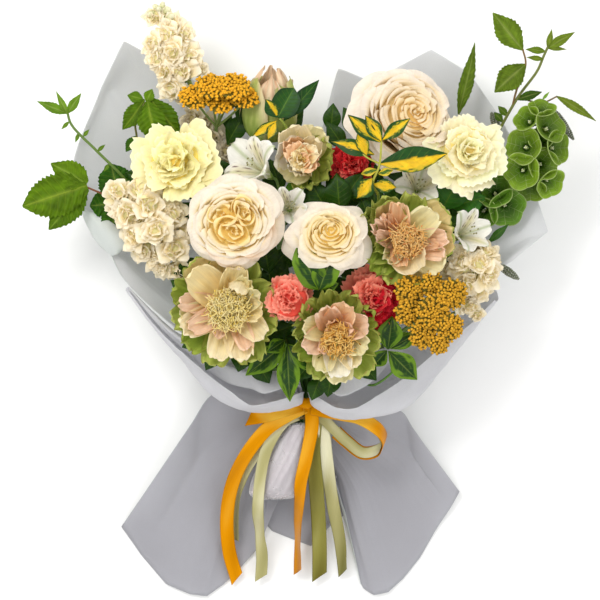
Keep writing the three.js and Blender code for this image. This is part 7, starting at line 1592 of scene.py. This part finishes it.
WRAP_LEFT = [
    [172, [121, 527, 5], [212, 396, 40], [262, 384, 52], [220, 359, 78], [170, 323, 93], [127, 283, 96], [111, 256, 96]],
    [185, [141, 555, 3], [205, 450, 11], [255, 376, 42], [205, 337, 62], [150, 287, 76], [105, 238, 86], [84, 214, 92]],
    [198, [166, 584, 3], [216, 480, 7], [250, 366, 28], [200, 315, 34], [140, 250, 46], [90, 198, 62], [68, 172, 72]],
    [211, [190, 594, 3], [228, 490, 6], [252, 354, 15], [205, 287, 16], [142, 207, 24], [90, 152, 44], [76, 141, 56]],
    [223, [207, 596, 3], [240, 494, 5.5], [260, 344, 8], [212, 258, 6], [160, 172, 11], [112, 98, 28], [98, 84, 44]],
    [234, [224, 584, 4], [251, 492, 5.5], [269, 338, 4.5], [228, 242, 2.4], [186, 152, 4], [142, 74, 20], [121, 37, 42]],
    [245, [243, 565, 5], [263, 486, 5.5], [280, 334, 3], [252, 240, 1.8], [222, 162, 1.8], [184, 96, 6], [160, 58, 16]],
    [256, [258, 548, 5], [275, 478, 5.5], [291, 332, 2.4], [276, 245, 1.8], [262, 185, 1.8], [244, 134, 1.8], [232, 98, 3]],
    [266, [279, 500, 6], [288, 466, 5.5], [301, 332, 2.4], [299, 250, 1.8], [296, 200, 1.8], [293, 158, 1.8], [290, 132, 1.8]],
]
WRAP_RIGHT = [
    [274, [346, 512, 5], [331, 462, 5.5], [309, 332, 2.4], [313, 250, 1.8], [316, 200, 1.8], [319, 160, 1.8], [323, 128, 6]],
    [285, [363, 588, 3], [338, 478, 5.5], [320, 328, 2.4], [328, 245, 1.8], [333, 178, 3], [335, 115, 14], [339, 64, 32]],
    [296, [374, 595, 3], [348, 486, 5.5], [331, 328, 2.4], [348, 245, 1.8], [358, 178, 3], [366, 118, 11], [373, 77, 20]],
    [307, [388, 592, 3], [360, 490, 5.5], [342, 330, 3], [368, 245, 2.2], [390, 168, 6], [412, 98, 26], [433, 46, 46]],
    [318, [403, 579, 3], [374, 488, 6], [350, 334, 5], [388, 254, 4.6], [424, 178, 12], [454, 108, 36], [472, 71, 54]],
    [329, [420, 558, 3], [390, 478, 8], [358, 342, 9], [403, 268, 11], [450, 200, 24], [489, 142, 48], [504, 118, 62]],
    [340, [437, 528, 4], [402, 464, 10], [364, 354, 18], [414, 292, 28], [470, 238, 46], [514, 196, 66], [532, 178, 76]],
    [351, [450, 508, 5], [408, 446, 13], [361, 366, 32], [414, 318, 51], [470, 274, 71], [522, 242, 86], [549, 232, 92]],
    [364, [459, 491, 7], [402, 411, 40], [352, 378, 46], [400, 345, 76], [450, 305, 94], [492, 274, 99], [512, 262, 98]],
]
WRAP_BACK = [
    [214, [250, 505, 0.4], [280, 458, 1.6], [262, 360, 0.4], [222, 250, 0.4], [204, 165, 0.4]],
    [242, [272, 531, 0.4], [290, 465, 1.2], [285, 356, 0.4], [262, 240, 0.4], [250, 150, 0.4]],
    [270, [311, 546, 0.4], [304, 466, 1], [307, 354, 0.4], [307, 240, 0.4], [307, 150, 0.4]],
    [298, [332, 524, 0.4], [318, 465, 1.2], [329, 356, 0.4], [352, 240, 0.4], [362, 150, 0.4]],
    [326, [362, 502, 0.4], [334, 458, 1.6], [352, 360, 0.4], [392, 250, 0.4], [410, 165, 0.4]],
]


def gather_round(side, y):
    rows = [[96, R_OUT], [118, R_OUT], [142, R_OUT], [165, R_OUT - 0.3], [163, R_MID + 0.2], [142, R_MID], [120, R_MID], [98, R_MID]]
    return [ring(a if side < 0 else 180 - a, r, y) for a, r in rows]


COLLAR_LEFT = [
    [[303, 392, 90], [303, 399, 88], [302, 403, 80], [300, 400, 76], [297, 391, 74], [297, 382, 79], [299, 378, 87], [300, 387, 92]],
    [[289, 397, 106], [289, 404, 100], [290, 409, 89], [287, 404, 78], [284, 391, 75], [283, 377, 83], [286, 371, 99], [286, 387, 109]],
    [[269, 403, 112], [268, 409, 104], [268, 413, 91], [266, 404, 78], [263, 388, 72], [261, 375, 84], [264, 372, 103], [265, 393, 114]],
    [[250, 405, 110], [249, 409, 102], [248, 412, 90], [246, 402, 70], [243, 384, 68], [242, 370, 80], [245, 370, 104], [251, 389, 104]],
    [[230, 391, 109], [229, 399, 103], [226, 405, 90], [222, 394, 66], [221, 375, 64], [223, 362, 80], [226, 364, 104], [230, 384, 100]],
    [[209, 375, 108], [207, 384, 102], [204, 389, 90], [200, 379, 66], [202, 363, 64], [206, 353, 80], [209, 355, 103], [209, 372, 96]],
    [[188, 357, 106], [186, 361, 100], [183, 362, 91], [180, 355, 72], [183, 345, 70], [188, 340, 82], [191, 344, 102], [189, 354, 96]],
    [[169, 340, 102], [167, 342, 98], [165, 342, 92], [163, 338, 80], [166, 331, 78], [170, 328, 86], [172, 332, 98], [170, 337, 95]],
    [[150, 319, 100], [148.5, 320, 97], [147, 319, 94], [146, 317, 88], [148, 312, 86], [151, 311, 90], [152, 313, 96], [151, 317, 96]],
    [[128, 290, 100], [127, 291, 98], [126, 291, 96], [125.5, 290, 93], [126, 288, 91.5], [128, 287, 92.5], [129, 287.5, 96], [128.8, 289, 97]],
]
COLLAR_RIGHT = [
    [[309, 392, 90], [310, 399, 88], [311, 403, 80], [313, 400, 76], [316, 391, 74], [316, 382, 79], [313, 378, 87], [312, 387, 92]],
    [[322, 399, 106], [322, 406, 100], [322, 412, 89], [325, 405, 80], [328, 391, 76], [328, 377, 83], [325, 371, 99], [325, 388, 109]],
    [[337, 407, 112], [337, 413, 103], [337, 418, 91], [341, 408, 80], [344, 389, 72], [343, 373, 85], [340, 365, 103], [340, 396, 114]],
    [[356, 407, 110], [356, 414, 102], [356, 419, 91], [360, 408, 82], [363, 387, 68], [360, 369, 84], [354, 359, 106], [356, 391, 108]],
    [[377, 395, 109], [378, 407, 102], [380, 416, 91], [384, 404, 80], [384, 383, 66], [378, 364, 84], [371, 352, 106], [375, 379, 106]],
    [[396, 383, 108], [399, 398, 101], [402, 410, 90], [406, 398, 66], [404, 376, 64], [397, 360, 76], [389, 348, 90], [392, 358, 92]],
    [[415, 369, 106], [417, 385, 100], [419, 397, 89], [424, 388, 66], [421, 368, 60], [415, 356, 60], [409, 347, 62], [406, 343, 66]],
    [[434, 353, 104], [437, 364, 98], [441, 371, 89], [445, 363, 68], [442, 350, 58], [437, 341, 56], [430, 333, 56], [425, 328, 58]],
    [[455, 337, 103], [458, 343, 98], [461, 347, 90], [464, 342, 73], [461, 331, 62], [456, 323, 59], [450, 316, 59], [445, 311, 61]],
    [[477, 318, 103], [479, 321, 99], [481, 322, 92], [484, 318, 80], [481, 310, 70], [477, 303, 66], [472, 297, 66], [468, 293, 68]],
    [[494, 300, 104], [496, 301, 101], [497.5, 301, 96], [499, 298, 87], [498, 292, 80], [495, 287, 77], [491, 283, 77], [488, 280, 78]],
]


def sheet_size(ob):
    """Half of a closed thin piece's surface, in square metres."""
    me = ob.data
    me.calc_loop_triangles()
    co = np.zeros(len(me.vertices) * 3)
    me.vertices.foreach_get("co", co)
    co = co.reshape(-1, 3)
    tr = np.zeros(len(me.loop_triangles) * 3, int)
    me.loop_triangles.foreach_get("vertices", tr)
    a, b, c = (co[tr.reshape(-1, 3)[:, i]] for i in range(3))
    return float(np.linalg.norm(np.cross(b - a, c - a), axis=1).sum() / 4)


SHEETS = []
pc, G_BACK = film_sheet("wrap_back", back_ribs(WRAP_BACK, R_MID + 0.1, 7.5), 130, 110, 301, 0.15, 0.35, 0.35)
SHEETS.append((pc.build(), "laid"))
pc, G_LEFT = film_sheet("wrap_left", back_ribs(WRAP_LEFT, R_INNER, 6.5), 190, 190, 302, 1.7, 2.6, 1.7)


def corner_flap(pc, edge, tips, seed, col, mat):
    """A corner of the film that has curled over: a patch from an edge line to a lip line."""
    a, b = even(at(np.array(edge, float)), 40), even(at(np.array(tips, float)), 40)
    v = np.linspace(0, 1, 22)[:, None, None]
    G = a[None] * (1 - v) + b[None] * v
    w = np.linspace(0, 1, 40)[None, :, None]
    G[..., 2:] += 7 * np.sin(v * 3.1416) * (0.4 + 0.6 * np.sin(w * 3.1416))
    G[..., 2] += 0.4 * crease(np.broadcast_to(np.linspace(0, 3, 40)[None], G.shape[:2]), seed)
    thin(pc, G, 0.5, col, LILAC, mat, M["film"])


corner_flap(pc, [[80, 209, 90], [86, 224, 93], [97, 243, 96], [112, 256, 97]], [[82, 208, 96], [103, 217, 103], [121, 230, 106], [127, 243, 106], [118, 254, 100]], 5, SAGEWHITE, M["film_in"])
SHEETS.append((pc.build(), "gathered"))
pc, G_RIGHT = film_sheet("wrap_right", back_ribs(WRAP_RIGHT, R_INNER, 6.5), 190, 190, 303, 1.7, 2.6, 1.7)
SHEETS.append((pc.build(), "gathered"))


def collar(name, rows, side, seed):
    """A sheet rolled outwards into a hollow cuff: columns run round the roll, rows along it."""
    st = at(np.array([gather_round(side, TIE_Y + 6), gather_round(side, TIE_Y - 7)] + rows, float))
    nr = len(st) - 1
    nv, nu = 210, 96
    G = loft(st, nu, nv)
    s = np.linspace(0, nr, nv)[:, None]
    a = np.linspace(0, 1, nu)[None, :]
    body = sstep(1.6, 3.2, s) * sstep(nr, nr - 1.5, s)
    cr = facets(np.broadcast_to(a * 1.2, G.shape[:2]), np.broadcast_to(s / nr * 2.4, G.shape[:2]), seed, 70)
    cr = (cr - cr.mean()) / max(np.std(cr), 1e-6)
    D = body * (0.55 * crease(s / nr * 3.0 + 0.10 * a, seed + 1, 8, 4, 16) + 0.45 * cr + 0.25 * crease(a * 3 + s / nr, seed + 2, 6, 4, 12))
    near = sstep(2.6, 1.2, s)
    D = D + near * 0.5 * crease(a * 4.0 + 0.05 * s, seed + 4, 7, 6, 20)
    N = normals(G)
    G = G + N * D[..., None]
    pc = Piece(name, name, slot="film_lilac")
    c = mix(SHADE, LILAC, 0.85 + 0.15 * np.clip(0.5 + 0.4 * wob(np.broadcast_to(a * 2, G.shape[:2]), np.broadcast_to(s / nr * 3, G.shape[:2]), seed + 2), 0, 1))
    thin(pc, G, 0.5, c, c, M["film"], M["film"])
    ob = pc.build()
    SHEETS.append((ob, "folded"))
    return ob


collar("collar_left", COLLAR_LEFT, -1, 311)
collar("collar_right", COLLAR_RIGHT, 1, 312)

# ------------------------------------------------------------------ twine, tissue, wet pack
def lean(s):
    return TIE_X + TAIL_LEAN * s * s / (s + 15)


pc = Piece("stem_twine", "stem_twine", slot="twine")
for turn in range(2):
    n = 150
    a = np.linspace(0, 2 * math.pi, n + 1)
    y = TIE_Y + 15 + (turn - 0.5) * 1.5
    c = np.array([lean(15), y, TIE_Z - 0.75])
    loop = np.stack([c[0] + 21.3 * np.cos(a), np.full_like(a, c[1]), c[2] + 21.3 * np.sin(a)], 1)
    for strand in range(2):
        ph = a * 26 + strand * math.pi
        off = np.stack([0.36 * np.cos(ph) * np.cos(a), 0.36 * np.sin(ph), 0.36 * np.cos(ph) * np.sin(a)], 1)
        pc.tube(at(loop + off), 0.42, lin("#b79a5e"), M["twine"], 6, rnd=strand)
pc.build()


def bag(name, rings, seed, close, mats, slot_name, col, crumple, t=0.25):
    pc = Piece(name, name, slot=slot_name)
    nu, nv = 150, 90
    R = crom(np.array(rings, float), np.linspace(0, 1, nv))
    a = np.linspace(0, 2 * math.pi, nu, endpoint=False)
    v = np.linspace(0, 1, nv)[:, None]
    fold = crease(np.cos(a)[None] * 1.4 + 0.7 * v, seed, 6, 1.5, 5, 1.0) + 0.7 * crease(np.sin(a)[None] * 1.4 - 0.5 * v, seed + 1, 6, 1.5, 5, 1.0)
    cr = facets(np.broadcast_to(0.5 + 0.45 * np.cos(a)[None], (nv, nu)) * 1.4, np.broadcast_to(v, (nv, nu)) * 1.4, seed + 2, 26, 0.12)
    cr = (cr - cr.mean()) / max(np.std(cr), 1e-6)
    D = crumple * (0.7 * fold + 0.5 * cr)
    D = D - max(0.0, float(D.max())) * 0.6
    rim = (0.45 * crease(np.cos(a)[None] * 3, seed + 4)) * sstep(0.8, 1.0, v) * 2
    P3 = np.stack([R[:, 1:2] + (R[:, 3:4] + D) * np.cos(a), R[:, :1] + rim, R[:, 2:3] + (R[:, 4:5] + D) * np.sin(a)], -1)
    Q3 = np.stack([R[:, 1:2] + (R[:, 3:4] + D - t) * np.cos(a), R[:, :1] + rim, R[:, 2:3] + (R[:, 4:5] + D - t) * np.sin(a)], -1)
    U = np.zeros((nv, nu, 3))
    U[..., 1] = v
    if close:
        pc.grid(at(np.concatenate([P3])), col, U, mats, closed=True)
        last = P3[-1]
        cen = last.mean(0)
        k = np.linspace(1, 0.02, 12)[:, None, None]
        cap = cen + (last[None] - cen) * k + np.array([0, 1.4, 0]) * (1 - k**2)
        pc.grid(at(cap), col, np.zeros((12, nu, 3)), mats, closed=True)
    else:
        pc.grid(at(np.concatenate([P3, Q3[::-1]])), col, np.concatenate([U, U]), mats, closed=True)
    return pc.build()


TISSUE = [[TIE_Y + s, lean(s), TIE_Z - 0.05 * s, a + 1.2, b + 1.2] for s, a, b in ((22, 20.9, 20.9), (30, 21.8, 21.6), (44, 22.8, 22.2), (62, 24, 22.4), (80, 24.6, 22), (92, 23.6, 21), (95.5, 18, 15))]
WET_BAG = [[TIE_Y + s, lean(s), TIE_Z - 0.05 * s, a, b] for s, a, b in ((20, 22.6, 22.6), (26, 23.8, 23.6), (36, 25.8, 25), (55, 28, 26), (76, 29.5, 25.6), (91, 28, 24), (97, 23, 19))]
bag("stem_tissue", TISSUE, 321, True, M["tissue"], "tissue", lin("#ece4e8"), 0.7, 0.6)
bag("wet_pack", WET_BAG, 322, True, M["clear"], "clear_film", lin("#e6e2e4"), 1.5)


# ------------------------------------------------------------------ satin ribbons
def ribbon(pc, rows, width, steps, col, seed, painted_light_keys, shift=0.0, t=0.35, cut=0.0):
    """Light keys: painted highlight and painted shade along the satin's length, from 0 (painted shade) to 1 (painted
    highlight); cut: slant of the trimmed end.
    """
    rows = np.array([seen(r) for r in rows], float)
    mid = ccr(at(rows[:, :3]), steps)
    wide = rows[:, 3:] * np.array([1, -1, 1])
    wv = unit(ccr(wide, steps))
    T = unit(np.gradient(mid, axis=0))
    wv = unit(wv - T * (wv * T).sum(1, keepdims=True) * 0.85)
    if shift:
        mid = mid + unit(np.cross(T, wv)) * shift
    N = unit(np.cross(T, wv))
    nu = 11
    u = np.linspace(-1, 1, nu)
    tt = np.linspace(0, 1, steps + 1)
    g = np.random.default_rng(seed)
    cup = 0.75 + 0.45 * np.sin(tt * 9 + g.uniform(0, 6))
    wav = 0.30 * np.sin(tt * 31 + g.uniform(0, 6)) + 0.25 * np.sin(tt * 17 + g.uniform(0, 6))
    slant = T[:, None] * (-u[None] * cut * sstep(0.82, 1.0, tt)[:, None])[..., None]
    top = mid[:, None] + slant + wv[:, None] * (u[None, :, None] * width / 2) + N[:, None] * (cup[:, None] * (u[None] ** 2 - 0.4) + wav[:, None] * u[None])[..., None]
    ringp = np.concatenate([top + N[:, None] * t / 2, (top - N[:, None] * t / 2)[:, ::-1]], 1)
    U = np.zeros(ringp.shape)
    U[..., 0] = np.concatenate([u, u[::-1]])[None]
    U[..., 1] = tt[:, None] * steps / 20
    U[..., 2] = g.uniform(0, 1)
    # painted highlight and painted shade: the colour runs between the dark and light tones along the ribbon, with a
    # painted sheen that varies across its width
    painted_lum = np.clip(crom(np.array(painted_light_keys, float)[:, None], tt)[:, 0][:, None] + 0.10 * np.sin(2.2 * np.concatenate([u, u[::-1]])[None] + tt[:, None] * 11), 0, 1)
    c = mix(mix(col[0], col[1], np.clip(painted_lum * 2, 0, 1)), col[2], np.clip(painted_lum * 2 - 1, 0, 1))
    pc.grid(ringp, c, U, M["satin"], closed=True, cap=True)


def band(pc, y, half, r, col, seed):
    n = 120
    a = np.linspace(0, 2 * math.pi, n, endpoint=False)
    rr = r + 0.35 * crease(np.cos(a) * 2, seed) + 0.3 * np.sin(a * 9)
    u = np.linspace(-1, 1, 9)

    def at_ring(k, off):
        return np.stack([TIE_X + (rr + off) * np.cos(a), np.full(n, y + half * k) + 0.5 * np.sin(a * 5), TIE_Z + (rr + off) * np.sin(a)], 1)

    rows = [at_ring(k, 0.55 + 0.3 * math.cos(k * 4.2)) for k in u] + [at_ring(k, 0.05) for k in u[::-1]]
    P3 = at(np.array(rows + [rows[0]]))
    U = np.zeros(P3.shape)
    U[..., 0] = np.concatenate([u, u[::-1], u[:1]])[:, None]
    U[..., 1] = np.linspace(0, 6, n)[None]
    pc.grid(P3, col, U, M["satin"], closed=True)


def knot(pc, x, y, z, a, b, c, col, seed):
    """A tied knot: folds of ribbon wrapped over each other."""
    g = np.random.default_rng(seed)
    n, m = 56, 40
    th = np.linspace(0, 2 * math.pi, n, endpoint=False)
    ph = np.linspace(-1.50, 1.50, m)
    X = np.cos(ph)[:, None] * np.cos(th)
    Y = np.broadcast_to(np.sin(ph)[:, None], X.shape)
    Z = np.cos(ph)[:, None] * np.sin(th)
    f = 1 + 0.10 * np.abs(np.sin(5 * Y + 1.5 * X + g.uniform(0, 6))) + 0.08 * np.abs(np.sin(4 * X - 3 * Y + g.uniform(0, 6)))
    f = f / 1.12
    P3 = at([x, y, z]) + np.stack([a * Y * f, b * X * f, c * Z * f], -1)
    U = np.zeros(P3.shape)
    U[..., 0] = X * 0.8
    U[..., 1] = Y
    pc.grid(P3, col, U, M["satin"], closed=True, cap=True)


LOOP = [[326, 411, 72, -0.1, 1, 0.1], [342, 414, 75, -0.15, 1, 0.15], [357, 417, 78, -0.2, 0.95, 0.2], [371, 424, 77, -0.3, 0.9, 0.3], [381, 432, 72, -0.35, 0.85, 0.45], [385, 441, 64, -0.35, 0.85, 0.5],
        [379, 450, 56, -0.3, 0.9, 0.35], [363, 453, 52, -0.3, 0.9, 0.2], [346, 441, 54, -0.4, 0.85, 0.15], [332, 428, 59, -0.5, 0.8, 0.1]]
# dark tone (painted shade), middle tone (the satin's own colour) and light tone (painted highlight) of each satin
ORANGE = (lin("#a46200"), lin("#dc9008"), lin("#fcc848"))
SAGE = (lin("#76733a"), lin("#b0aa76"), lin("#e6e2c0"))
OLIVE = (lin("#625c24"), lin("#8e8a46"), lin("#c4bf88"))

pc = Piece("ribbon_orange", "ribbon_orange", slot="satin_orange")
band(pc, TIE_Y, 4, R_BAND, ORANGE[1], 401)
knot(pc, 306.5, 404, 70.4, 9, 5.5, 3, ORANGE[1], 402)
ribbon(pc, [[302, 405, 70.5, 0, 1, 0.1], [286, 410, 70, 0.1, 1, 0.1], [266, 416, 70, 0.3, 1, 0.1], [248, 419, 67, 0.6, 0.9, 0.1]], 13, 40, ORANGE, 403, [0.35, 0.9, 0.75, 0.2], cut=-5)
ribbon(pc, [[304, 407, 70.5, 0.9, 0.5, 0], [288, 415, 68.8, 0.6, 0.8, 0], [268, 428, 67, 0.8, 0.6, 0], [248, 452, 60, 1, 0.4, 0], [233, 482, 40, 1, 0.2, 0], [227, 515, 24, 1, 0, 0], [229, 550, 15, 1, -0.1, 0], [237, 579, 8, 1, -0.4, 0]], 14, 110, ORANGE, 404, [0.6, 0.85, 0.6, 0.5, 0.45, 0.5, 0.35, 0.5], cut=5)
ribbon(pc, [[311, 405, 71, 1, 0, 0], [312, 425, 69.5, 1, 0.1, 0.1], [307, 455, 66, 0.9, 0.2, 0.4], [301, 482, 65, 0.8, 0.1, 0.4], [299.5, 500, 60, 0.7, 0, 0.7], [298, 520, 40, 0.4, 0, 0.9], [298, 545, 22, 0.4, 0.1, 0.9], [298, 572, 14, 0.6, 0.2, 0.8]], 14, 100, ORANGE, 405, [0.35, 0.5, 0.6, 0.5, 0.4, 0.4, 0.35, 0.3], cut=5)
ribbon(pc, [[311, 408, 71.5, 0, 1, 0], *LOOP[:-1], [336, 432, 56.8, -0.45, 0.82, 0.12]], 14, 130, ORANGE, 406, [0.3, 0.5, 0.9, 0.95, 0.6, 0.35, 0.4, 0.4, 0.3, 0.3])
SHEETS.append((pc.build(), "gathered"))
PLY = 1.8
pc = Piece("ribbon_sage_left", "ribbon_sage_left", slot="satin_sage")
knot(pc, 297, 415, 65, 6, 4, 2.2, SAGE[1], 411)
ribbon(pc, [[297, 415, 65, 0.8, 0.5, 0], [286, 420, 64, 0.7, 0.7, 0], [272, 432, 61.5, 0.8, 0.6, 0], [257, 452, 53, 0.8, 0.4, 0.4], [243, 478, 38, 0.6, 0.3, 0.7], [236, 505, 20, 0.5, 0.1, 0.8], [236, 540, 9.5, 0.5, 0, 0.8]], 12, 100, SAGE, 412, [0.5, 0.75, 0.95, 0.7, 0.45, 0.35, 0.4])
ribbon(pc, [[297, 415, 65, 0.8, 0.5, 0], [288, 418, 65, 0.8, 0.6, 0], [277, 430, 64, 0.9, 0.5, 0], [266, 451, 62, 1, 0.3, 0.1], [260.5, 477, 62, 1, 0.1, 0.3], [258.5, 497, 60, 1, 0, 0.3], [258, 513, 51, 0.9, 0, 0.4], [260, 532, 28, 0.8, 0, 0.6], [262, 556, 17, 1, 0, 0.1], [261, 578, 11, 1, -0.2, 0]], 12, 110, SAGE, 413, [0.5, 0.9, 0.7, 0.55, 0.6, 0.7, 0.55, 0.6, 0.45, 0.5], cut=4)
SHEETS.append((pc.build(), "gathered"))
pc = Piece("ribbon_sage_right", "ribbon_sage_right", slot="satin_sage")
knot(pc, 316.5, 415, 65, 6, 4, 2.2, SAGE[1], 421)
ribbon(pc, [[316, 415, 65, 1, 0, 0], [314, 430, 63, 1, 0, 0], [313, 452, 62, 1, 0, 0], [316, 485, 51, 1, 0, 0], [318, 512, 31, 1, 0, 0], [319.5, 545, 17, 1, 0, 0], [319.5, 577, 11, 1, -0.2, 0]], 15, 100, OLIVE, 422, [0.8, 0.6, 0.35, 0.3, 0.4, 0.45, 0.15], cut=5)
ribbon(pc, [[317, 415, 65, 1, 0, -0.3], [324, 434, 61, 0.9, -0.1, -0.4], [327, 462, 53, 1, -0.1, -0.2], [330, 486, 42, 1, -0.1, 0], [334, 510, 30, 1, -0.2, 0.1], [340, 541, 17, 0.8, -0.2, 0.4], [343, 573, 10, 0.6, -0.2, 0.7]], 13, 100, SAGE, 423, [0.85, 1.0, 0.95, 0.6, 0.35, 0.25, 0.05], cut=5)
ribbon(pc, [*LOOP[1:], [324, 420, 63, -0.5, 0.8, 0.1], [316.5, 414.5, 65.3, -0.5, 0.8, 0.1]], 11, 130, SAGE, 424, [0.2, 0.3, 0.3, 0.3, 0.5, 0.8, 0.6, 0.45, 0.55, 0.5, 0.5], shift=PLY)
SHEETS.append((pc.build(), "gathered"))

# ------------------------------------------------------------------ sheet names and areas
for ob, held in SHEETS:
    key, area = ob.name.removesuffix("_look"), sheet_size(ob)
